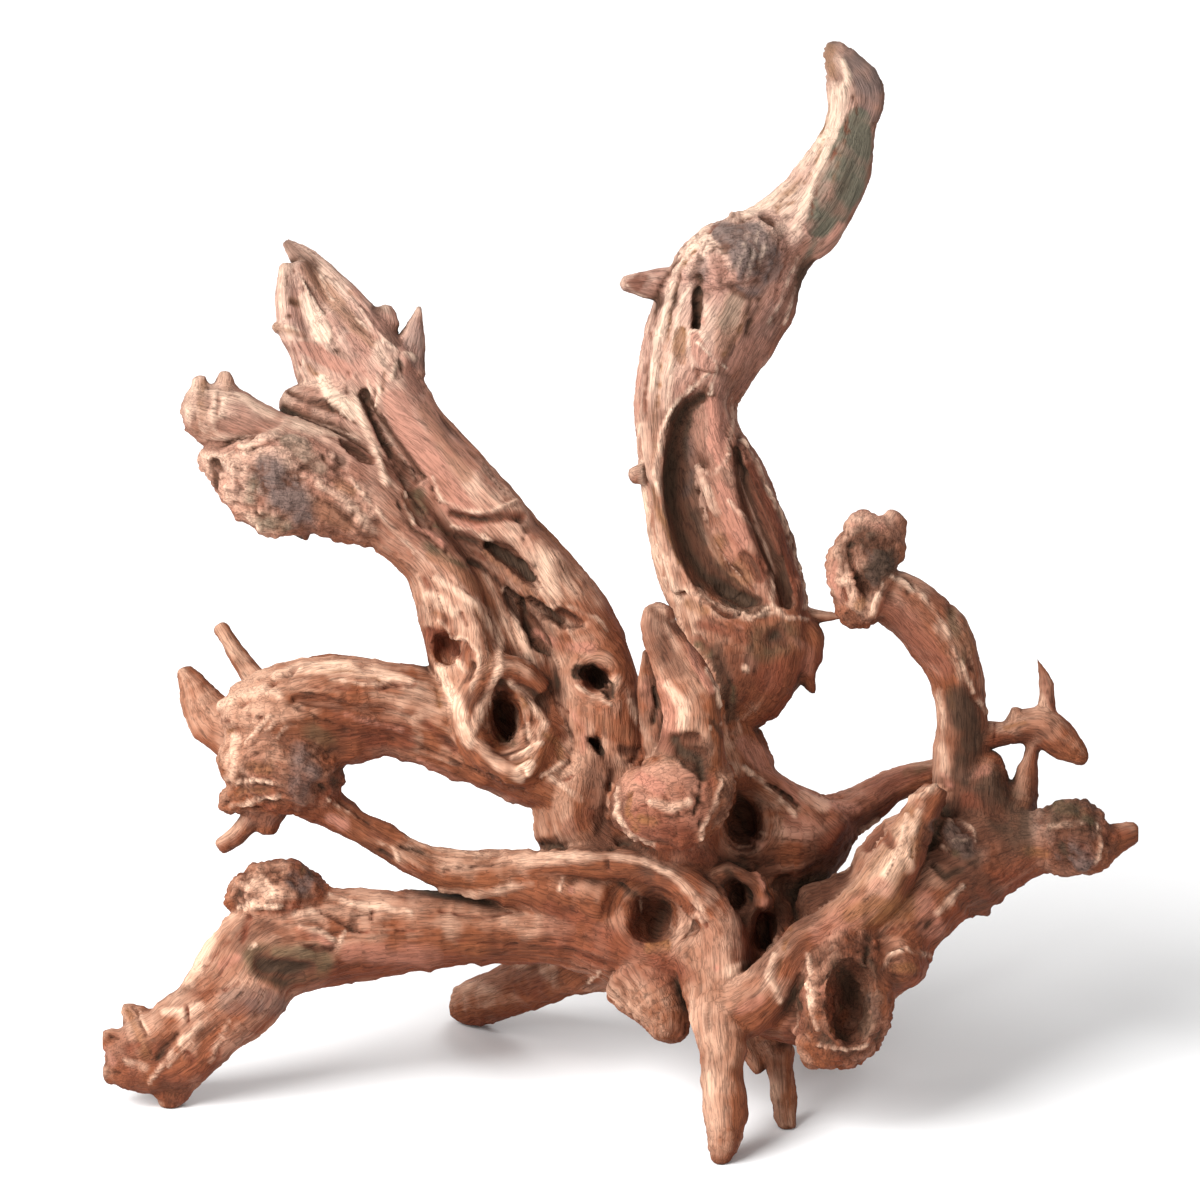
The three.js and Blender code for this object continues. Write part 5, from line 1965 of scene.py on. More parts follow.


# Besides the wood's own stains and pale faces, many dark DEEP and BROWN marks here are painted shade in
# grooves, pockets and under ledges, and many CREAM marks along ridges are painted highlights.
UPPER_LEFT_MARKS = (
    Mark(((285, 242, 4), (296, 252, 9), (311, 263, 8)), 0, Tone.BROWN, 0.6, 0.6),
    Mark(((305, 268, 8), (325, 290, 11), (345, 315, 11), (370, 342, 9)), 1.4, Tone.TAN, 0.7, 0.7),
    Mark(((318, 268, 2.4), (325, 285, 2.4), (333, 301, 2)), 1.2, Tone.CREAM, 0.65),
    Mark(((314, 262, 5), (320, 272, 4)), -0.8, Tone.BROWN, 0.6),
    Mark(((345, 310, 6),), 0, Tone.MAUVE, 0.3),
    Mark(((305, 298, 7), (314, 315, 12), (321, 333, 11)), 0.8, Tone.CREAM, 0.9, 1.0, 0.7),
    # Painted highlight along the spear's bright edge, on a low ridge.
    Mark(((302, 282, 2.6), (314, 300, 2.6), (325, 318, 2.4), (332, 336, 2.4),
          (327, 348, 2.2)), 1.4, Tone.CREAM, 1.0),
    # Painted shade along the spear's left edge, over a shallow groove.
    Mark(((300, 275, 2.4), (313, 292, 3), (323, 310, 3.4), (332, 330, 4),
          (337, 350, 5)), -2.0, Tone.BROWN, 0.6),
    Mark(((302, 345, 7), (322, 356, 9), (340, 366, 9), (352, 374, 7)), 0.3, Tone.SALMON, 0.85, 1.0, 0.6),
    # Painted shade below the spear.
    Mark(((338, 352, 5), (352, 361, 6)), -0.8, Tone.BROWN, 0.5, 0.8),
    Mark(((283, 270, 2.4), (280, 290, 2.8), (281, 310, 2.6), (285, 318, 2.2)), 1.2, Tone.CREAM, 0.85),
    Mark(((288, 276, 2.2), (286, 292, 2.2), (288, 304, 2)), -1.0, Tone.BROWN, 0.7),
    Mark(((291, 267, 2.2), (299, 281, 2.2), (304, 290, 2)), -1.2, Tone.RUST, 0.9),
    Mark(((297, 272, 2), (307, 289, 2)), 1.2, Tone.CREAM, 0.9),
    Mark(((292, 300, 6), (299, 304, 5)), -1.8, Tone.OCHRE, 0.9),
    Mark(((289, 317, 4), (296, 317, 3.4)), -2.4, Tone.BROWN, 0.9),
    Mark(((276, 327, 6), (290, 330, 6), (304, 335, 5)), 1.6, Tone.OCHRE, 0.5, 0.4),
    Mark(((284, 325, 2.4), (298, 330, 2.4)), -0.8, Tone.CREAM, 0.6),
    Mark(((298, 338, 2.2), (308, 340, 2.2)), 1.0, Tone.CREAM, 0.9),
    Mark(((288, 345, 2.4), (294, 362, 2.4), (298, 378, 2.4)), 1.2, Tone.CREAM, 0.85),
    Mark(((291, 342, 1.8), (299, 365, 2)), -1.2, Tone.RUST, 0.8),
    Mark(((301, 356, 2.4), (305, 373, 2.4)), 1.2, Tone.CREAM, 0.9),
    Mark(((308, 366, 5), (314, 373, 5)), -1.0, Tone.OCHRE, 0.85),
    Mark(((350, 321, 3), (361, 330, 4), (371, 338, 3)), -1.8, Tone.BROWN, 0.65),
    Mark(((356, 319, 2), (374, 335, 2.2)), 1.0, Tone.CREAM, 0.75),
    Mark(((350, 298, 2.4), (365, 318, 2.6), (380, 337, 2.8), (398, 353, 2.8)), 1.9, Tone.CREAM, 0.9),
    Mark(((360, 306, 2), (375, 324, 2.4)), -1.3, Tone.RUST, 0.8),
    Mark(((350, 292, 4), (358, 298, 4)), 0, Tone.OCHRE, 0.6),
    Mark(((377, 311, 8), (386, 327, 9), (396, 342, 7)), -0.5, Tone.BROWN, 0.7, 0.9, 0.7),
    Mark(((384, 305, 5), (390, 312, 4)), 0, Tone.MOSS, 0.8),
    Mark(((418, 322, 6), (412, 343, 11), (419, 362, 9)), 0, Tone.MAUVE, 0.55, 0.6, 0.7),
    Mark(((411, 345, 3), (417, 355, 3)), -0.6, Tone.RUST, 0.6),
    Mark(((425, 352, 3), (424, 370, 3)), -1.0, Tone.BROWN, 0.85),
    Mark(((399, 355, 3), (401, 368, 3.4), (399, 378, 2.4)), -2.4, Tone.DEEP, 0.85),
    Mark(((395, 364, 2.8), (392, 378, 3.4)), 1.9, Tone.CREAM, 0.97),
    Mark(((403, 354, 4), (415, 358, 5)), 1.4, Tone.CREAM, 0.7),
    Mark(((408, 372, 9), (416, 388, 10)), 0.8, Tone.RUST, 0.35, 0.8),
    Mark(((394, 400, 13), (406, 430, 17), (425, 458, 18), (446, 490, 18), (470, 524, 16)), 0.6,
         Tone.SALMON, 0.8, 1.0, 0.6),
    Mark(((425, 410, 10), (445, 445, 10), (465, 475, 10)), 0, Tone.TAN, 0.5, 0.7),
    Mark(((350, 338, 7), (364, 352, 9)), 0.4, Tone.SALMON, 0.7, 0.9),
    Mark(((378, 345, 6), (385, 360, 6)), 0.4, Tone.CREAM, 0.5, 0.5),
    Mark(((365, 372, 3),), -1.2, Tone.RUST, 0.95),
    Mark(((349, 370, 2.4), (346, 381, 2.4)), -1.4, Tone.RUST, 0.85),
    Mark(((344, 385, 2.2), (347, 393, 2.4)), -1.6, Tone.BROWN, 0.85),
    Mark(((355, 372, 2), (350, 382, 2)), 1.0, Tone.CREAM, 0.7),
    Mark(((367, 380, 2.2), (370, 396, 2.4), (373, 408, 2.2)), 1.6, Tone.CREAM, 0.9),
    Mark(((372, 378, 1.8), (375, 396, 2)), -1.6, Tone.BROWN, 0.85),
    Mark(((377, 374, 2.2), (380, 392, 2.4), (377, 403, 2.2)), 1.6, Tone.CREAM, 0.85),
    Mark(((384, 372, 2), (382, 392, 2.4)), -1.0, Tone.OCHRE, 0.7),
    Mark(((284, 389, 3), (300, 398, 5), (322, 404, 9), (338, 410, 8)), -2.4, Tone.BROWN, 0.85, 0.8),
    Mark(((302, 390, 6), (318, 393, 6)), 0, Tone.RUST, 0.55, 0.8),
    Mark(((283, 402, 3.4), (290, 411, 3.4), (298, 417, 3)), 1.4, Tone.CREAM, 0.7),
    Mark(((287, 405, 2), (293, 414, 2)), -1.2, Tone.RUST, 0.8),
    Mark(((322, 378, 5), (330, 394, 8), (343, 405, 9), (352, 413, 8)), 1.4, Tone.CREAM, 0.95, 0.8, 0.7),
    Mark(((356, 400, 4), (363, 420, 5), (371, 440, 5.4), (379, 460, 6),
          (386, 482, 6)), 2.6, Tone.CREAM, 0.92, 0.8),
    Mark(((365, 398, 3), (373, 418, 4), (383, 440, 5), (393, 460, 5.4), (406, 484, 5), (419, 506, 5),
          (432, 526, 4)), -3.4, Tone.BROWN, 0.92, 0.8, 0.7),
    Mark(((376, 405, 2.2), (383, 425, 2.6), (393, 443, 2.8), (403, 460, 2.8),
          (413, 480, 2.6)), 2.2, Tone.CREAM, 0.9),
    Mark(((386, 440, 2.4), (396, 458, 2.6)), -1.8, Tone.DEEP, 0.8),
    Mark(((324, 395, 2), (332, 410, 2.2), (345, 418, 2.4), (357, 424, 2.2)), -1.6, Tone.BROWN, 0.9),
    Mark(((285, 424, 7), (310, 428, 8), (340, 432, 7), (356, 436, 6)), 0.8, Tone.CREAM, 0.6, 0.4),
    Mark(((324, 436, 2.2), (334, 437, 2)), -0.8, Tone.RUST, 0.8),
    Mark(((346, 444, 6), (358, 452, 8), (371, 460, 6)), -2.2, Tone.RUST, 0.75, 0.8, 0.6),
    Mark(((340, 440, 2.6), (348, 451, 2.8), (360, 459, 2.6), (372, 465, 2.4)), -1.6, Tone.BROWN, 0.9),
    Mark(((203, 384, 6), (200, 400, 6), (203, 416, 5)), -0.4, Tone.OCHRE, 0.7),
    Mark(((208, 388, 2.6), (209, 404, 2.6)), -1.0, Tone.BROWN, 0.65),
    Mark(((224, 376, 6), (227, 389, 6)), 0, Tone.OCHRE, 0.7),
    Mark(((216, 390, 4.6), (214, 408, 4.6), (212, 420, 3.4)), 1.6, Tone.CREAM, 0.95),
    Mark(((224, 400, 4), (222, 416, 3.6)), 1.0, Tone.CREAM, 0.75),
    Mark(((218, 398, 2), (218, 414, 2.4)), -1.0, Tone.RUST, 0.7),
    Mark(((187, 408, 2.4), (191, 424, 2.4), (197, 432, 2)), 1.2, Tone.CREAM, 0.75),
    Mark(((193, 404, 2), (196, 420, 2.2)), -1.2, Tone.BROWN, 0.75),
    Mark(((199, 410, 2), (202, 424, 2)), 1.0, Tone.CREAM, 0.7),
    Mark(((224, 424, 9), (240, 425, 11), (256, 430, 8)), -0.8, Tone.RUST, 0.42, 1.0, 0.6),
    Mark(((212, 446, 8), (233, 448, 8)), -0.8, Tone.RUST, 0.6, 0.9, 0.6),
    Mark(((240, 436, 6), (248, 442, 4)), -0.8, Tone.BROWN, 0.5),
    Mark(((200, 427, 2.6), (214, 437, 3), (232, 437, 3), (243, 436, 2.4)), 1.4, Tone.CREAM, 0.65, 0.6),
    Mark(((238, 447, 3), (252, 444, 5.4), (265, 436, 6.4), (281, 430, 5)), 2.2, Tone.CREAM, 1.0, 0.8),
    Mark(((210, 459, 2.6), (226, 455, 2.8), (242, 449, 3)), 1.8, Tone.CREAM, 0.97),
    Mark(((236, 395, 4), (255, 409, 7), (276, 419, 8), (300, 426, 9)), 0.6, Tone.CREAM, 0.65, 0.3),
    Mark(((250, 450, 2.2), (265, 445, 2.2), (282, 438, 2.6)), -1.6, Tone.BROWN, 0.85),
    Mark(((286, 440, 9), (305, 450, 11), (320, 468, 11)), 0, Tone.MOSS, 0.5, 0.2),
    Mark(((268, 472, 22), (284, 495, 28), (300, 512, 22)), 0, Tone.MAUVE, 0.92),
    Mark(((253, 482, 8), (250, 500, 8)), 0, Tone.MOSS, 0.85),
    Mark(((262, 521, 10), (285, 525, 9)), 0, Tone.MOSS, 0.7),
    Mark(((256, 515, 2.4), (270, 524, 2.4), (285, 528, 2.4)), -1.0, Tone.DEEP, 0.6),
    Mark(((287, 515, 3), (291, 527, 3)), 0.6, Tone.MAUVE, 0.4),
    Mark(((322, 508, 14), (345, 524, 10)), 0, Tone.TAN, 0.6, 0.6),
    Mark(((216, 466, 6), (226, 470, 6)), 0, Tone.MAUVE, 0.7),
    Mark(((229, 470, 3.4),), 2.0, Tone.CREAM, 0.95),
    Mark(((240, 461, 3.4),), 2.0, Tone.CREAM, 0.9),
    Mark(((228, 486, 3.6),), 2.0, Tone.CREAM, 0.95),
    Mark(((237, 496, 3.4),), 1.8, Tone.CREAM, 0.9),
    Mark(((247, 467, 3.2),), 1.8, Tone.CREAM, 0.9),
    Mark(((246, 455, 3),), 1.6, Tone.CREAM, 0.8),
    Mark(((222, 478, 2.6), (230, 478, 2.4)), -2.0, Tone.BROWN, 0.95),
    Mark(((237, 480, 3), (242, 488, 2.6)), -2.0, Tone.RUST, 0.95),
    Mark(((236, 467, 2.6), (242, 472, 2.4)), -1.8, Tone.BROWN, 0.9),
    Mark(((233, 503, 2.6), (243, 504, 2.4)), -1.6, Tone.RUST, 0.9),
    Mark(((248, 517, 3.6), (260, 527, 3.4)), 1.2, Tone.CREAM, 0.75),
    Mark(((306, 528, 9), (308, 540, 6)), 0, Tone.BROWN, 0.5, 0.8),
    Mark(((318, 498, 3), (338, 510, 4), (358, 529, 4.4), (374, 548, 4)), -1.6, Tone.BROWN, 0.75),
    Mark(((318, 484, 5), (340, 498, 6), (358, 513, 6), (374, 532, 6)), 1.3, Tone.CREAM, 0.6, 0.4),
    Mark(((340, 484, 9), (351, 492, 7)), 0, Tone.OCHRE, 0.55),
    Mark(((322, 455, 3), (327, 463, 2.6)), -1.4, Tone.BROWN, 0.8),
    Mark(((340, 468, 2.4), (350, 480, 2.4)), -0.9, Tone.RUST, 0.6),
)


# Besides the wood's own stains and pale faces, many dark DEEP and BROWN marks here are painted shade in
# grooves, pockets and under ledges, and many CREAM marks along ridges are painted highlights.
STRAND_MARKS = (
    Mark(((410, 515, 14), (450, 540, 16), (500, 555, 22), (525, 575, 16)), 0, Tone.BROWN, 0.75),
    Mark(((500, 590, 12), (530, 620, 18), (550, 645, 16)), 0, Tone.BROWN, 0.75),
    Mark(((590, 680, 22),), 0, Tone.RUST, 0.6),
    Mark(((500, 715, 28),), 0, Tone.BROWN, 0.7),
    Mark(((435, 640, 16), (460, 655, 14)), 0, Tone.RUST, 0.7),
    Mark(((440, 500, 3), (455, 506, 3), (480, 513, 4), (497, 509, 4), (514, 502, 3)), 2.2, Tone.CREAM, 0.7),
    # Face under the lip: its own rust-brown, with painted shade below the lip.
    Mark(((452, 513, 5), (478, 521, 7), (505, 515, 8), (520, 518, 6)), -3.2, Tone.RUST, 0.95, 0.8),
    Mark(((470, 519, 3), (490, 521, 3), (500, 519, 2.5)), -1.4, Tone.BROWN, 0.7),
    Mark(((433, 478, 2.4), (437, 492, 3), (443, 500, 2.4)), 2.2, Tone.CREAM, 1.0),
    Mark(((430, 483, 2), (434, 496, 2.4), (440, 502, 2)), -2.4, Tone.DEEP, 0.85),
    Mark(((384, 438, 2), (398, 452, 2.6), (413, 470, 2.8), (428, 479, 2.2)), -2.4, Tone.DEEP, 0.85),
    Mark(((402, 478, 4), (408, 485, 4)), 0.8, Tone.CREAM, 0.7),
    Mark(((405, 492, 2.2), (406, 507, 2.4), (414, 523, 2.4)), 1.6, Tone.CREAM, 0.95),
    Mark(((417, 494, 9), (420, 508, 11)), 0.6, Tone.OLIVE, 0.85, 0.9),
    Mark(((412, 492, 4), (409, 500, 3)), -1.4, Tone.BROWN, 0.8),
    Mark(((399, 500, 3), (403, 514, 4), (412, 528, 4), (430, 538, 4), (446, 552, 4)), -3, Tone.BROWN, 0.85),
    Mark(((415, 526, 3), (430, 534, 4), (443, 545, 4)), 1.8, Tone.SALMON, 0.8),
    Mark(((437, 524, 5), (446, 531, 4)), -1.2, Tone.OLIVE, 0.9),
    Mark(((450, 533, 5), (464, 537, 6), (478, 543, 5)), -3.4, Tone.BROWN, 0.95, 0.6),
    Mark(((452, 526, 2.6), (468, 529, 3), (482, 536, 3), (492, 542, 3)), 2, Tone.CREAM, 0.8),
    Mark(((474, 552, 2.6), (484, 558, 3)), -1.8, Tone.RUST, 0.9),
    Mark(((488, 545, 5), (505, 556, 9), (522, 568, 9), (532, 578, 6)), -4.8, Tone.BROWN, 0.95, 0.7),
    Mark(((506, 551, 4), (520, 563, 5)), -1.5, Tone.DEEP, 0.7),
    Mark(((524, 538, 2.4), (530, 552, 3), (534, 568, 3)), -2.4, Tone.DEEP, 0.8),
    Mark(((540, 545, 8), (548, 570, 10), (556, 596, 9)), 1.2, Tone.CREAM, 0.75, 0.9),
    Mark(((484, 552, 3), (500, 566, 4), (518, 582, 4), (538, 598, 4)), 2.4, Tone.TAN, 0.8),
    Mark(((470, 560, 4), (488, 572, 5), (506, 588, 6), (520, 602, 7)), -4.5, Tone.BROWN, 0.95),
    Mark(((430, 555, 7), (455, 568, 9), (478, 588, 9)), 0.6, Tone.TAN, 0.7, 0.9),
    Mark(((425, 545, 6), (445, 556, 6), (465, 566, 5)), -1.2, Tone.OLIVE, 0.8),
    Mark(((350, 478, 3), (368, 500, 3.6), (385, 520, 4), (402, 537, 4),
          (415, 552, 3)), 1.6, Tone.CREAM, 0.6),
    Mark(((378, 544, 2.2), (398, 558, 2.4), (416, 572, 2.4)), -1.6, Tone.BROWN, 0.85),
    Mark(((372, 535, 2.2), (395, 553, 2.4)), -1, Tone.RUST, 0.6),
    # Painted shade beside the rust face.
    Mark(((520, 520, 6), (527, 531, 6)), -2, Tone.BROWN, 0.8),
    Mark(((436, 578, 5), (462, 594, 6), (486, 612, 7), (500, 640, 7), (499, 668, 6), (489, 695, 6),
          (474, 722, 7), (470, 745, 6)), 1.6, Tone.CREAM, 0.85),
    Mark(((450, 580, 2), (474, 597, 2), (492, 620, 2.2), (497, 650, 2.2)), -1.2, Tone.RUST, 0.6),
    Mark(((470, 600, 2), (484, 622, 2), (490, 652, 2.2), (484, 680, 2)), -1.2, Tone.OCHRE, 0.6),
    Mark(((505, 590, 6), (514, 612, 6), (521, 640, 6), (530, 660, 6)), 2, Tone.CREAM, 0.7, 0.6),
    Mark(((522, 602, 5), (527, 625, 7), (534, 645, 6), (548, 654, 4)), -5, Tone.DEEP, 0.95, 0.6),
    Mark(((530, 598, 4), (550, 612, 6), (562, 622, 7)), -4.4, Tone.DEEP, 0.9),
    Mark(((562, 610, 6), (578, 622, 6)), -1.8, Tone.RUST, 0.9, 0.9),
    Mark(((535, 632, 5), (560, 645, 7), (590, 648, 8)), 1, Tone.SALMON, 0.8, 0.8),
    Mark(((545, 605, 3), (570, 606, 3), (595, 618, 3), (605, 630, 3)), 1.4, Tone.CREAM, 0.7),
    Mark(((578, 672, 8), (592, 672, 10), (606, 685, 9), (610, 696, 4)), -5.5, Tone.DEEP, 1.0, 0.6, 0.8),
    Mark(((590, 680, 6), (600, 688, 5)), -1, Tone.OLIVE, 0.45),
    Mark(((576, 685, 2.4), (592, 696, 3), (610, 704, 3)), 1.6, Tone.CREAM, 0.8),
    Mark(((591, 741, 5), (598, 748, 6), (603, 757, 4)), -5, Tone.DEEP, 1.0, 0.6),
    Mark(((503, 684, 7), (498, 700, 10), (503, 718, 14), (508, 735, 11)), -4, Tone.BROWN, 0.9, 0.8),
    Mark(((503, 716, 8),), -1, Tone.DEEP, 0.6),
    Mark(((500, 738, 7), (512, 742, 6)), 0, Tone.OLIVE, 0.8),
    Mark(((519, 690, 4), (524, 704, 4), (523, 712, 3)), 0.8, Tone.OCHRE, 0.8),
    Mark(((488, 708, 3), (484, 722, 4), (488, 738, 4), (498, 748, 4)), 1, Tone.OCHRE, 0.5),
    Mark(((521, 712, 3), (524, 726, 3.4), (527, 742, 3)), -2.5, Tone.DEEP, 0.85),
    Mark(((527, 724, 3), (529, 737, 3.4)), 1.8, Tone.CREAM, 1.0),
    Mark(((532, 718, 2), (535, 730, 2.2), (536, 742, 2)), -1.8, Tone.BROWN, 0.9),
    Mark(((512, 757, 3.4), (525, 752, 5), (540, 744, 4)), 2.6, Tone.CREAM, 1.0, 0.8),
    Mark(((518, 770, 4), (530, 764, 6), (527, 774, 4)), 2.4, Tone.CREAM, 1.0, 0.8),
    Mark(((516, 764, 2.4), (530, 758, 2.4)), -1.4, Tone.OCHRE, 0.8),
    Mark(((510, 683, 5), (524, 692, 6), (536, 708, 7), (545, 724, 7)), 1.8, Tone.CREAM, 0.9, 0.6),
    Mark(((549, 688, 2.2), (556, 701, 2.4), (563, 707, 2.2), (569, 713, 2)), -2, Tone.RUST, 0.95),
    Mark(((545, 735, 4), (556, 742, 6), (560, 758, 6)), -1.4, Tone.OCHRE, 0.8),
    Mark(((565, 720, 3), (575, 740, 3), (570, 760, 3), (560, 775, 3)), -1.8, Tone.BROWN, 0.7),
    Mark(((572, 712, 4), (585, 730, 5), (583, 752, 5)), 1.2, Tone.SALMON, 0.7),
    Mark(((540, 775, 3), (555, 768, 4), (566, 760, 3)), 1.6, Tone.CREAM, 0.8),
    Mark(((540, 784, 2.4), (560, 782, 2.6), (575, 775, 2.4)), -1.6, Tone.RUST, 0.8),
    Mark(((600, 720, 9), (625, 735, 9)), 0.3, Tone.TAN, 0.6, 0.8),
    Mark(((624, 750, 8), (640, 752, 8), (632, 764, 8)), -2.8, Tone.BROWN, 0.9, 0.8),
    Mark(((612, 772, 5), (612, 790, 6)), -3, Tone.DEEP, 0.8),
    Mark(((630, 702, 5), (638, 722, 6), (648, 738, 5)), 1, Tone.CREAM, 0.7),
    Mark(((430, 632, 8), (445, 642, 10), (460, 652, 8)), -3, Tone.RUST, 0.95),
    Mark(((463, 640, 3.4), (472, 652, 4), (474, 668, 4), (466, 682, 3.4)), -2.8, Tone.RUST, 1.0),
    Mark(((460, 664, 5), (466, 670, 5)), 1.6, Tone.CREAM, 0.8),
    Mark(((440, 622, 3), (452, 632, 3), (466, 640, 3), (478, 652, 3.4), (478, 672, 3.4),
          (470, 690, 4)), 2.2,
         Tone.CREAM, 1.0),
    Mark(((430, 596, 8), (445, 604, 9), (455, 612, 7)), 1, Tone.CREAM, 0.9),
    Mark(((462, 613, 3), (466, 625, 3.4)), -2.4, Tone.RUST, 0.95),
    Mark(((436, 612, 3), (446, 618, 3)), -1.4, Tone.OCHRE, 0.9),
    Mark(((424, 578, 5), (430, 588, 6)), -1.8, Tone.RUST, 0.8),
    Mark(((440, 668, 6), (450, 690, 8), (460, 712, 8), (466, 740, 8)), 1.2, Tone.CREAM, 0.95, 0.4),
    Mark(((436, 690, 3), (439, 706, 4)), -1.4, Tone.OCHRE, 0.9),
    Mark(((438, 672, 2.4), (440, 684, 2.4)), -1.6, Tone.RUST, 0.8),
    Mark(((425, 722, 6), (440, 735, 7), (455, 750, 6)), -2.4, Tone.RUST, 0.95),
    Mark(((420, 760, 4), (450, 775, 5), (485, 792, 5), (515, 802, 5)), 1.2, Tone.SALMON, 0.6),
    Mark(((420, 748, 2.6), (445, 756, 3), (462, 765, 3), (490, 778, 3),
          (505, 786, 3)), -2.8, Tone.BROWN, 0.95),
    Mark(((478, 766, 4), (486, 772, 4)), -1.6, Tone.RUST, 0.9),
    Mark(((508, 787, 4), (522, 788, 4)), -3, Tone.DEEP, 0.9),
    Mark(((478, 745, 8), (500, 765, 10), (520, 778, 6)), 0.8, Tone.CREAM, 0.6, 0.5),
)
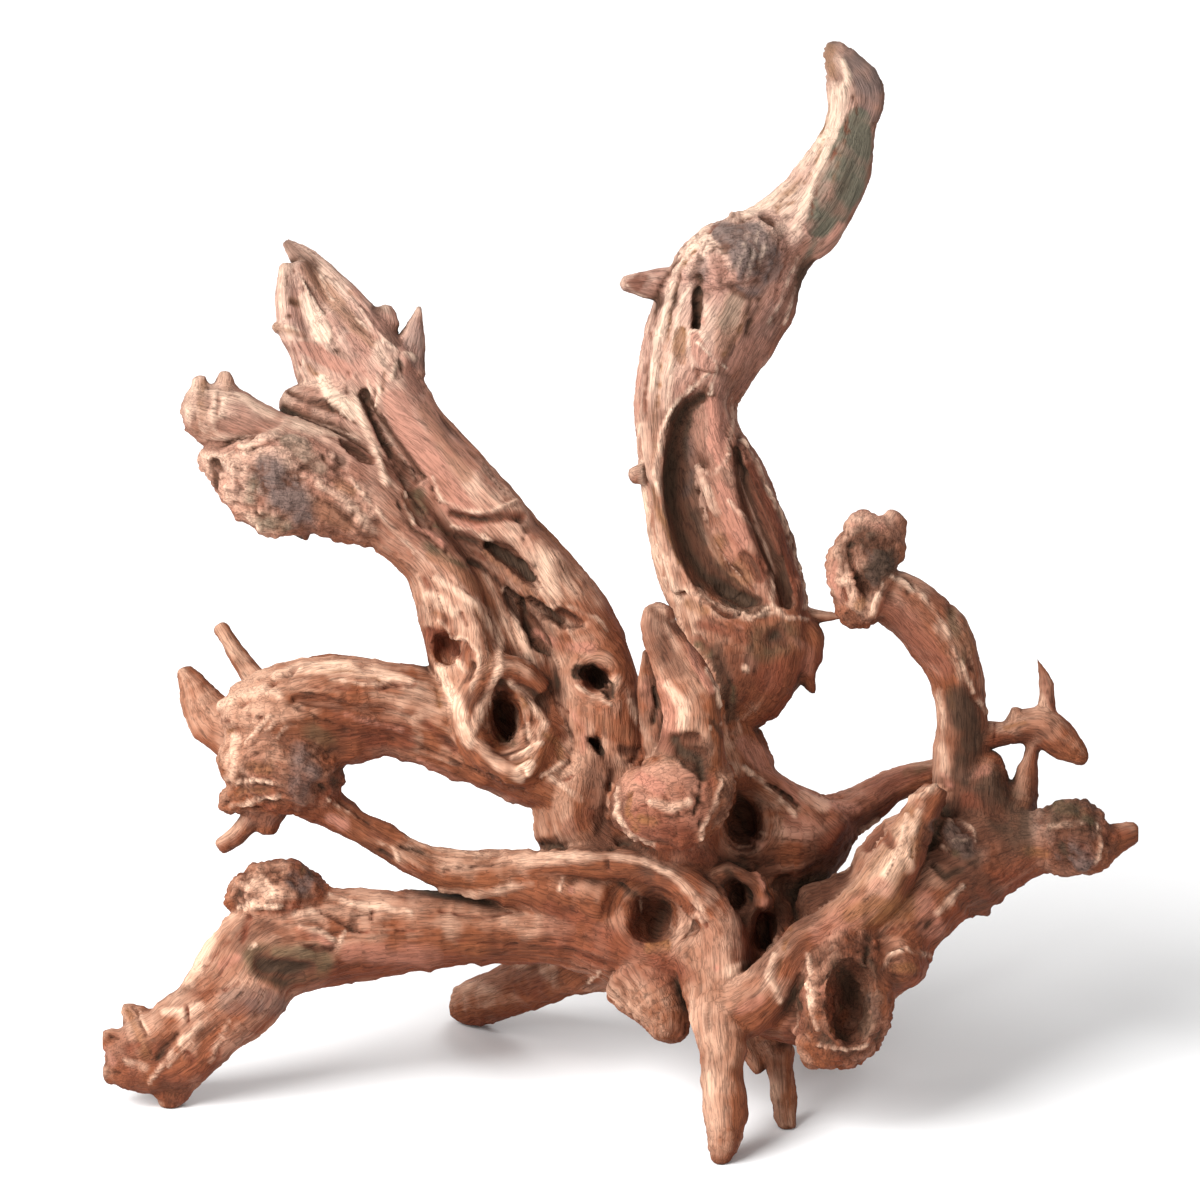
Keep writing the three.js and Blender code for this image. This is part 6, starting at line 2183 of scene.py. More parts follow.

# Besides the wood's own stains and pale faces, many dark DEEP and BROWN marks here are painted shade in
# grooves, pockets and under ledges, and many CREAM marks along ridges are painted highlights.
HUB_MARKS = (
    Mark(((650, 805, 46), (682, 800, 40)), 0, Tone.SALMON, 0.5, 1.0, 0.6),
    Mark(((682, 752, 12), (700, 757, 14), (704, 775, 9)), -5, Tone.DEEP, 0.95, 0.5),
    Mark(((660, 735, 10), (676, 745, 10)), -2, Tone.RUST, 0.9),
    Mark(((634, 812, 2.4), (645, 805, 2.4), (658, 811, 2.4), (662, 825, 2.4), (650, 836, 2.4)), -1.6,
         Tone.RUST, 0.8),
    Mark(((620, 802, 2.6), (636, 791, 2.6), (662, 793, 2.8), (678, 812, 2.8), (676, 836, 2.4)), -1.8,
         Tone.RUST, 0.7),
    Mark(((624, 826, 2.4), (640, 842, 2.4), (662, 845, 2.4)), -1.6, Tone.RUST, 0.7),
    Mark(((692, 792, 3), (704, 806, 3.4), (700, 826, 3)), -2.0, Tone.BROWN, 0.8),
    Mark(((652, 690, 18), (672, 720, 16), (668, 745, 12)), 0, Tone.SALMON, 0.7),
    Mark(((655, 625, 12), (662, 650, 16), (676, 670, 12)), 0, Tone.BROWN, 0.7),
    Mark(((700, 650, 18), (740, 680, 30), (780, 660, 30), (810, 650, 20)), 0, Tone.RUST, 0.6),
    Mark(((716, 650, 10), (724, 690, 14), (728, 715, 12)), 0, Tone.DEEP, 0.75),
    Mark(((765, 642, 24), (785, 638, 22)), 0, Tone.OLIVE, 0.75),
    Mark(((745, 745, 12), (800, 790, 20), (850, 800, 20), (900, 775, 16)), 0, Tone.SALMON, 0.75),
    Mark(((795, 825, 18), (840, 835, 20)), 0, Tone.SALMON, 0.55),
    Mark(((600, 770, 22), (605, 815, 28), (600, 845, 20)), 0, Tone.BROWN, 0.8),
    Mark(((720, 800, 20), (745, 820, 34), (760, 860, 30)), 0, Tone.BROWN, 0.85),
    Mark(((700, 860, 22), (735, 885, 26), (765, 920, 24), (760, 960, 20)), 0, Tone.BROWN, 0.7),
    Mark(((650, 905, 30), (655, 935, 24)), 0, Tone.BROWN, 0.85),
    Mark(((560, 930, 26), (610, 950, 30), (670, 970, 26)), 0, Tone.RUST, 0.65),
    Mark(((640, 700, 14), (655, 745, 16), (700, 750, 18)), 0, Tone.BROWN, 0.7),
    Mark(((640, 820, 22), (680, 835, 18)), 0, Tone.RUST, 0.6),
    Mark(((684, 593, 3),), -1.8, Tone.RUST, 0.9),
    Mark(((700, 625, 8), (725, 632, 8), (745, 640, 8)), 0.4, Tone.RUST, 0.7),
    Mark(((715, 622, 2), (735, 630, 2.2), (750, 633, 2)), -1, Tone.BROWN, 0.6),
    Mark(((699, 646, 7), (706, 654, 7)), -1.6, Tone.OLIVE, 0.9),
    Mark(((768, 638, 12), (780, 632, 12), (785, 642, 10)), -3, Tone.BROWN, 0.9, 0.8),
    Mark(((771, 640, 7),), 0, Tone.OLIVE, 0.6),
    Mark(((795, 640, 6), (810, 650, 7), (808, 670, 8)), 0.8, Tone.SALMON, 0.4, 0.7),
    Mark(((745, 668, 5),), 2.6, Tone.CREAM, 0.8),
    Mark(((755, 671, 3.4),), -1.8, Tone.BROWN, 0.8),
    Mark(((760, 682, 12), (785, 665, 10), (770, 702, 10)), 0, Tone.RUST, 0.7, 0.8),
    Mark(((715, 660, 5), (721, 672, 6), (728, 690, 8), (727, 706, 6)), -4, Tone.DEEP, 0.9, 0.6),
    Mark(((733, 688, 5), (732, 700, 4)), 0, Tone.OLIVE, 0.8),
    Mark(((800, 617, 3), (790, 619, 3), (775, 613, 3), (765, 614, 3), (752, 619, 3), (735, 617, 3)), 1.8,
         Tone.CREAM, 0.7),
    Mark(((652, 611, 6), (668, 620, 7), (678, 631, 6)), -1, Tone.BROWN, 0.8),
    Mark(((674, 621, 3),), 1, Tone.CREAM, 0.9),
    Mark(((664, 640, 8), (668, 658, 8)), -2, Tone.BROWN, 0.7),
    Mark(((688, 645, 6), (696, 668, 6), (712, 690, 6)), 1.2, Tone.SALMON, 0.8),
    Mark(((705, 668, 3), (714, 686, 3), (720, 706, 3)), 1.6, Tone.CREAM, 1.0),
    Mark(((668, 685, 6), (684, 705, 9), (682, 726, 8)), 1, Tone.CREAM, 0.7, 0.8),
    Mark(((655, 688, 4), (657, 705, 5), (652, 722, 5)), -4, Tone.DEEP, 0.9),
    Mark(((646, 655, 5), (648, 672, 5)), -1.2, Tone.RUST, 0.9),
    Mark(((714, 722, 4), (723, 734, 5)), -1.6, Tone.DEEP, 0.8),
    Mark(((711, 728, 2.4),), 1.4, Tone.CREAM, 1.0),
    Mark(((722, 724, 2.4),), 1.6, Tone.CREAM, 1.0),
    Mark(((672, 740, 8), (695, 737, 8)), -3, Tone.BROWN, 0.9),
    Mark(((618, 790, 4), (616, 812, 4), (630, 835, 4), (652, 846, 4)), 1.6, Tone.CREAM, 0.85),
    Mark(((640, 778, 8), (660, 788, 9)), 0.5, Tone.SALMON, 0.9, 0.6),
    Mark(((631, 794, 4), (627, 812, 5), (636, 828, 5)), -1.4, Tone.OCHRE, 0.8),
    Mark(((640, 818, 6), (653, 822, 7)), -2, Tone.OCHRE, 0.95),
    Mark(((647, 816, 2.4),), -1.6, Tone.BROWN, 1.0),
    Mark(((656, 824, 2.4),), -1.6, Tone.BROWN, 1.0),
    Mark(((638, 824, 2.4),), -1.4, Tone.BROWN, 0.9),
    Mark(((652, 803, 6), (672, 808, 7), (688, 802, 6)), 2.4, Tone.CREAM, 0.8, 0.8),
    Mark(((660, 816, 2.6), (675, 818, 3), (690, 812, 2.6)), -2.4, Tone.BROWN, 0.9),
    Mark(((665, 832, 8), (690, 835, 8)), -0.8, Tone.RUST, 0.7),
    Mark(((701, 783, 3), (699, 800, 4), (695, 815, 3)), -3, Tone.BROWN, 0.95),
    Mark(((719, 782, 3), (715, 805, 4), (705, 825, 3.4), (700, 836, 3)), 2.4, Tone.CREAM, 0.9),
    Mark(((710, 775, 4), (712, 788, 3)), -1.6, Tone.RUST, 0.9),
    Mark(((684, 764, 6), (696, 770, 5)), -2.4, Tone.DEEP, 0.85),
    # Painted shadow below the bulb.
    Mark(((618, 838, 5), (635, 847, 4), (655, 850, 3)), -2.4, Tone.DEEP, 0.9),
    # Painted shade in the gap left of the bulb.
    Mark(((610, 785, 5), (606, 810, 8), (602, 832, 9)), -2.4, Tone.BROWN, 0.75, 0.8),
    Mark(((546, 775, 4), (565, 786, 5), (580, 800, 5)), 1.2, Tone.CREAM, 0.6),
    Mark(((570, 828, 12), (590, 815, 8)), 0, Tone.RUST, 0.6),
    Mark(((542, 845, 3), (575, 849, 3), (605, 848, 3.4), (622, 843, 3)), -2.8, Tone.DEEP, 0.85),
    Mark(((540, 854, 4), (575, 857, 5), (615, 856, 5), (645, 861, 6), (672, 874, 7), (692, 893, 7),
          (704, 918, 6)), 2, Tone.CREAM, 0.75, 0.5),
    Mark(((607, 858, 3), (609, 869, 4)), -2.6, Tone.RUST, 0.95),
    Mark(((619, 886, 4), (630, 890, 5), (645, 900, 5)), -3.2, Tone.DEEP, 0.85),
    Mark(((640, 902, 8), (660, 915, 18), (655, 935, 12)), -3, Tone.BROWN, 0.95, 0.8),
    Mark(((666, 906, 11), (652, 930, 7)), -1.4, Tone.DEEP, 0.8),
    Mark(((640, 899, 2.2), (642, 910, 2.4)), 1.4, Tone.CREAM, 0.8),
    Mark(((650, 948, 8), (668, 946, 6)), 0.8, Tone.OCHRE, 0.8),
    Mark(((690, 905, 3), (703, 914, 3), (706, 926, 3)), -2, Tone.RUST, 0.9),
    Mark(((694, 915, 4), (690, 935, 4)), 1.4, Tone.CREAM, 0.6),
    Mark(((716, 968, 4),), 0, Tone.SALMON, 1.0),
    Mark(((730, 972, 8), (745, 965, 6)), 1.2, Tone.CREAM, 0.6),
    Mark(((728, 872, 5), (738, 888, 9), (742, 902, 6)), -3, Tone.DEEP, 0.9),
    Mark(((750, 866, 3), (762, 883, 4), (765, 900, 4), (760, 916, 3.4)), 2, Tone.SALMON, 0.9),
    Mark(((702, 872, 3), (715, 884, 3), (723, 897, 3)), -2.4, Tone.BROWN, 0.85),
    Mark(((770, 890, 8), (785, 880, 10), (775, 920, 9), (765, 945, 8)), -3, Tone.DEEP, 0.9),
    Mark(((735, 796, 9), (745, 812, 13), (750, 828, 10)), -3, Tone.DEEP, 0.85, 0.8),
    Mark(((752, 840, 3), (762, 846, 5), (772, 838, 3)), 2.4, Tone.SALMON, 0.9),
    Mark(((764, 834, 2.4), (775, 836, 2.4)), 1.4, Tone.CREAM, 1.0),
    Mark(((740, 857, 4), (760, 868, 4)), -2.4, Tone.DEEP, 0.85),
    Mark(((690, 850, 10), (715, 862, 8)), 0.8, Tone.RUST, 0.6),
    Mark(((745, 768, 4), (762, 782, 4), (780, 800, 4), (795, 815, 4)), 1.8, Tone.CREAM, 0.8),
    Mark(((767, 784, 3), (778, 790, 5), (790, 800, 4)), -4, Tone.DEEP, 1.0),
    Mark(((550, 905, 8), (590, 925, 10), (620, 940, 9)), 0, Tone.RUST, 0.5),
    Mark(((563, 877, 2.4), (559, 890, 2.6)), 1.8, Tone.CREAM, 0.9),
    Mark(((571, 890, 5),), 0.6, Tone.SALMON, 0.95),
    Mark(((592, 953, 2.4), (605, 962, 2.4), (618, 972, 2.4)), -1.8, Tone.BROWN, 0.9),
    Mark(((588, 984, 2.4), (594, 976, 2.6), (600, 970, 2.4)), 1.2, Tone.CREAM, 1.0),
    Mark(((655, 960, 10), (690, 975, 10)), 0, Tone.RUST, 0.6),
)

# Besides the wood's own stains and pale faces, many dark DEEP and BROWN marks here are painted shade in
# grooves, pockets and under ledges, and many CREAM marks along ridges are painted highlights.
LEFT_LIMB_MARKS = (
    Mark(((300, 740, 26), (300, 780, 26)), 0, Tone.BROWN, 0.7),
    Mark(((330, 720, 16), (370, 735, 18), (405, 740, 14)), 0, Tone.RUST, 0.6),
    Mark(((255, 765, 14), (265, 795, 14)), 0, Tone.RUST, 0.6),
    Mark(((275, 678, 5), (300, 668, 7), (340, 668, 9), (375, 674, 8),
          (410, 682, 5)), 1.2, Tone.CREAM, 1.0, 0.3),
    Mark(((310, 672, 1.8), (345, 672, 2), (380, 682, 2)), -1, Tone.OCHRE, 0.8),
    Mark(((330, 680, 2.2), (360, 685, 2.4), (378, 687, 2.2)), 1.4, Tone.CREAM, 0.9),
    Mark(((300, 684, 2.4), (330, 688, 2.6), (360, 692, 2.6)), -1.6, Tone.RUST, 0.8),
    Mark(((378, 689, 3), (395, 685, 5), (412, 686, 5)), -3.2, Tone.RUST, 1.0),
    Mark(((287, 677, 2.6), (295, 671, 3), (299, 668, 2)), -2.6, Tone.RUST, 0.95),
    Mark(((270, 692, 3), (276, 683, 3)), -2.6, Tone.RUST, 0.95),
    # Painted shade on the limb's smooth lower side.
    Mark(((295, 698, 9), (335, 708, 11), (375, 716, 12), (405, 728, 9)), 0.2, Tone.RUST, 0.35, 0.6),
    Mark(((300, 692, 2.2), (345, 699, 2.2), (390, 709, 2.2)), -1.2, Tone.RUST, 0.7),
    Mark(((288, 704, 2.4), (303, 711, 3), (318, 718, 3), (335, 724, 2.4)), -2.6, Tone.BROWN, 0.9),
    Mark(((335, 724, 2.2), (365, 733, 2.6), (395, 741, 2.4)), -1.4, Tone.RUST, 0.75),
    Mark(((345, 715, 3), (375, 723, 4), (400, 730, 4)), 1, Tone.SALMON, 0.8),
    Mark(((345, 731, 6), (380, 741, 6)), -1, Tone.RUST, 0.7),
    Mark(((310, 730, 12), (330, 742, 10)), 0, Tone.OLIVE, 0.55),
    Mark(((298, 752, 14), (305, 775, 18), (300, 792, 14)), 0, Tone.MAUVE, 0.8),
    Mark(((222, 708, 4), (240, 698, 6), (262, 690, 7), (278, 695, 6)), 1.6, Tone.CREAM, 0.9),
    Mark(((222, 718, 4), (230, 721, 3)), -2, Tone.RUST, 0.9),
    Mark(((244, 707, 3), (250, 703, 3)), -2, Tone.RUST, 0.85),
    Mark(((250, 716, 3.4), (264, 718, 3)), -2, Tone.RUST, 0.9),
    Mark(((232, 731, 4),), -1.6, Tone.OCHRE, 0.9),
    Mark(((246, 743, 2.4), (258, 729, 2.8), (272, 715, 2.6)), 2.2, Tone.CREAM, 0.95),
    Mark(((262, 736, 2.4), (276, 722, 2.6)), 1.8, Tone.CREAM, 0.85),
    Mark(((246, 749, 2.4), (258, 742, 2.8), (268, 731, 2.4)), -2.6, Tone.BROWN, 0.95),
    Mark(((245, 758, 2.4), (262, 753, 2.6), (275, 745, 2.4)), -2.2, Tone.BROWN, 0.9),
    Mark(((276, 738, 2), (284, 728, 2.4), (296, 724, 2.4)), 1.6, Tone.CREAM, 0.8),
    Mark(((236, 738, 6), (232, 758, 8), (230, 778, 6)), 1.4, Tone.CREAM, 0.95, 0.7),
    Mark(((250, 766, 8), (268, 769, 8)), -1.8, Tone.OCHRE, 0.8),
    Mark(((272, 762, 4),), 0, Tone.OLIVE, 0.9),
    Mark(((232, 784, 3.4), (252, 780, 3.6), (272, 784, 3)), 2.4, Tone.CREAM, 0.9),
    Mark(((240, 792, 4), (256, 791, 5), (270, 792, 4)), -2, Tone.OCHRE, 0.85, 0.8),
    Mark(((230, 804, 3), (252, 802, 3.2), (278, 797, 2.8)), 2.4, Tone.CREAM, 0.95),
    Mark(((225, 803, 3.4),), -3, Tone.BROWN, 1.0),
    Mark(((238, 809, 2.6), (262, 807, 2.8), (280, 802, 2.4)), -2.2, Tone.RUST, 0.85),
    Mark(((250, 820, 10), (268, 820, 10)), 0, Tone.MAUVE, 0.5),
    Mark(((222, 846, 6), (238, 836, 6)), 0, Tone.RUST, 0.6),
    Mark(((322, 786, 3), (335, 798, 3.4), (352, 812, 3.4), (370, 822, 3)), -2.4, Tone.BROWN, 0.9),
    Mark(((326, 797, 2.4), (340, 808, 2.6), (355, 817, 2.4)), 1.6, Tone.CREAM, 0.9),
    Mark(((330, 818, 7), (345, 824, 8)), 0.6, Tone.SALMON, 1.0, 0.8),
    Mark(((370, 833, 6), (390, 839, 5)), -1, Tone.RUST, 0.7),
    Mark(((380, 852, 5), (390, 858, 6)), -3, Tone.BROWN, 0.95),
    Mark(((378, 843, 2.4), (392, 847, 2.8), (399, 859, 2.6)), 1.8, Tone.CREAM, 0.8),
    Mark(((400, 845, 2.6), (415, 851, 3), (435, 857, 3)), -2.6, Tone.DEEP, 0.9),
    Mark(((400, 869, 8), (430, 873, 8)), 0, Tone.RUST, 0.6),
)


# Besides the wood's own stains and pale faces, many dark DEEP and BROWN marks here are painted shade in
# grooves, pockets and under ledges, and many CREAM marks along ridges are painted highlights.
LEFT_ROOT_MARKS = (
    # Painted shadow across the left root's dark dip, olive then deep brown, where the surface also sinks.
    Mark(((258, 958, 20), (284, 964, 26), (318, 960, 20)), -3, Tone.OLIVE, 0.85, 0.5),
    Mark(((262, 970, 12), (285, 975, 15), (300, 972, 10)), -3, Tone.DEEP, 0.85, 0.5),
    Mark(((238, 945, 12), (250, 930, 12), (268, 928, 12)), 0, Tone.BROWN, 0.65),
    Mark(((300, 930, 6), (318, 936, 7), (330, 946, 6)), 2.5, Tone.SALMON, 0.7, 0.4),
    Mark(((230, 1000, 16), (262, 1000, 18), (275, 1005, 14)), 0, Tone.MAUVE, 0.5),
    Mark(((170, 1085, 12), (180, 1092, 12)), 0, Tone.BROWN, 0.8),
    Mark(((300, 885, 20),), 0, Tone.BROWN, 0.7),
    Mark(((160, 1050, 14), (172, 1090, 20), (185, 1095, 14)), 0, Tone.RUST, 0.7),
    Mark(((120, 1040, 16), (130, 1085, 16)), 0, Tone.RUST, 0.6),
    Mark(((430, 960, 14), (480, 968, 18), (530, 985, 20)), 0, Tone.RUST, 0.6),
    Mark(((245, 885, 7), (262, 880, 9), (270, 893, 8)), 0, Tone.CREAM, 0.8, 0.3),
    Mark(((240, 878, 3.2),), -2.4, Tone.RUST, 1.0),
    Mark(((248, 880, 3),), -2.2, Tone.RUST, 0.95),
    Mark(((262, 869, 4), (272, 867, 3)), -2.2, Tone.BROWN, 0.9),
    Mark(((277, 880, 3),), -2, Tone.RUST, 0.95),
    Mark(((272, 904, 3),), -2, Tone.RUST, 0.95),
    Mark(((292, 878, 9), (302, 888, 10), (309, 877, 7)), -0.8, Tone.MAUVE, 0.9),
    Mark(((303, 872, 5),), 0, Tone.OLIVE, 0.8),
    Mark(((238, 908, 4), (255, 903, 6), (280, 907, 4)), 1.6, Tone.CREAM, 1.0),
    Mark(((295, 914, 5), (312, 911, 5)), 1.4, Tone.CREAM, 0.9),
    Mark(((232, 916, 7), (215, 938, 8), (200, 962, 8), (189, 985, 6)), 1.2, Tone.CREAM, 0.85, 0.3),
    Mark(((250, 917, 6), (246, 931, 5), (242, 941, 4)), -2.2, Tone.RUST, 0.9),
    Mark(((265, 925, 8), (285, 932, 8)), -0.8, Tone.BROWN, 0.5, 0.7),
    Mark(((300, 928, 4), (318, 931, 5), (333, 940, 4)), 2.6, Tone.CREAM, 0.85),
    Mark(((300, 944, 3), (318, 949, 6), (333, 949, 5)), -3.6, Tone.BROWN, 0.95),
    # Painted shadow on the left root, with an olive tint.
    Mark(((262, 965, 12), (285, 968, 14), (310, 970, 10)), -2.8, Tone.BROWN, 0.85, 0.7),
    Mark(((268, 968, 8),), 0, Tone.OLIVE, 0.5),
    Mark(((250, 948, 2.6), (255, 944, 2.4)), 1.4, Tone.CREAM, 1.0),
    Mark(((222, 965, 7), (236, 958, 7)), 0.8, Tone.SALMON, 0.8),
    Mark(((204, 968, 2.4), (222, 948, 2.6), (240, 932, 2.6)), -1.5, Tone.RUST, 0.75),
    Mark(((212, 985, 2.4), (225, 968, 2.4), (235, 955, 2.2)), -1.4, Tone.RUST, 0.7),
    Mark(((195, 995, 2.8), (220, 992, 2.8), (240, 984, 2.6)), -2.4, Tone.RUST, 0.9),
    Mark(((165, 1012, 6), (182, 1015, 7), (200, 1006, 6)), 1, Tone.CREAM, 0.85),
    Mark(((187, 1006, 3), (190, 1021, 3)), -3, Tone.RUST, 0.95),
    Mark(((150, 1081, 3.4), (165, 1062, 4), (182, 1040, 4), (200, 1024, 4)), 2.6, Tone.CREAM, 0.95),
    Mark(((168, 1066, 3), (182, 1050, 3), (196, 1038, 3)), 2, Tone.CREAM, 0.85),
    Mark(((157, 1058, 6), (165, 1045, 7), (176, 1035, 4)), -3.4, Tone.BROWN, 0.95),
    Mark(((186, 1053, 5), (192, 1060, 5)), -2.6, Tone.RUST, 0.95),
    Mark(((208, 1060, 3), (218, 1040, 3), (228, 1020, 3)), 1.4, Tone.CREAM, 0.6),
    Mark(((214, 1058, 2.2), (224, 1036, 2.2)), -1.4, Tone.RUST, 0.7),
    Mark(((230, 1010, 9), (255, 1005, 10)), 0, Tone.MAUVE, 0.4),
    Mark(((128, 1012, 5), (138, 1030, 6), (145, 1055, 7)), 0, Tone.OCHRE, 0.6),
    Mark(((133, 1006, 2.2), (145, 1030, 2.4), (150, 1055, 2.4)), -1.6, Tone.BROWN, 0.85),
    Mark(((140, 1012, 2.2), (153, 1040, 2.4)), 1.4, Tone.CREAM, 0.6),
    Mark(((110, 1037, 3), (118, 1038, 3)), -2.8, Tone.BROWN, 1.0),
    Mark(((108, 1048, 5), (112, 1063, 5)), 0.8, Tone.SALMON, 0.9),
    Mark(((130, 1048, 7), (138, 1045, 6)), -1.2, Tone.RUST, 0.95, 0.7),
    Mark(((110, 1072, 3), (121, 1072, 3)), -2.8, Tone.BROWN, 1.0),
    Mark(((115, 1084, 5), (140, 1084, 6), (156, 1091, 6)), -0.5, Tone.BROWN, 0.7),
    Mark(((125, 1062, 5), (145, 1068, 5)), 1, Tone.CREAM, 0.5),
    Mark(((165, 1087, 8), (182, 1088, 8), (172, 1100, 7)), -0.8, Tone.BROWN, 0.7),
    Mark(((330, 896, 3), (355, 905, 5), (380, 908, 5), (410, 915, 4)), 1.4, Tone.CREAM, 0.8),
    Mark(((372, 911, 2.6), (371, 919, 2.4)), -2.6, Tone.RUST, 1.0),
    Mark(((322, 912, 3), (338, 920, 4), (352, 928, 3.4)), -2.6, Tone.BROWN, 0.9),
    Mark(((355, 931, 3), (380, 932, 2.8), (415, 931, 2.6)), -2.2, Tone.RUST, 0.9),
    Mark(((345, 932, 3), (341, 941, 3)), 1.8, Tone.CREAM, 0.9),
    Mark(((385, 895, 4), (410, 901, 5), (435, 904, 5)), 0, Tone.BROWN, 0.5),
    Mark(((350, 953, 12), (390, 953, 14), (430, 955, 14)), 0.3, Tone.SALMON, 0.6, 0.8),
    Mark(((440, 890, 5), (470, 895, 6), (500, 890, 6), (530, 884, 5)), 1.2, Tone.CREAM, 0.55),
    Mark(((440, 912, 2.4), (480, 918, 2.6), (520, 912, 2.4)), -1.6, Tone.RUST, 0.8),
    Mark(((455, 940, 2.4), (500, 945, 2.6), (540, 948, 2.4)), -1.4, Tone.RUST, 0.8),
    Mark(((445, 870, 3), (475, 866, 3), (510, 862, 3)), -2, Tone.BROWN, 0.8),
)
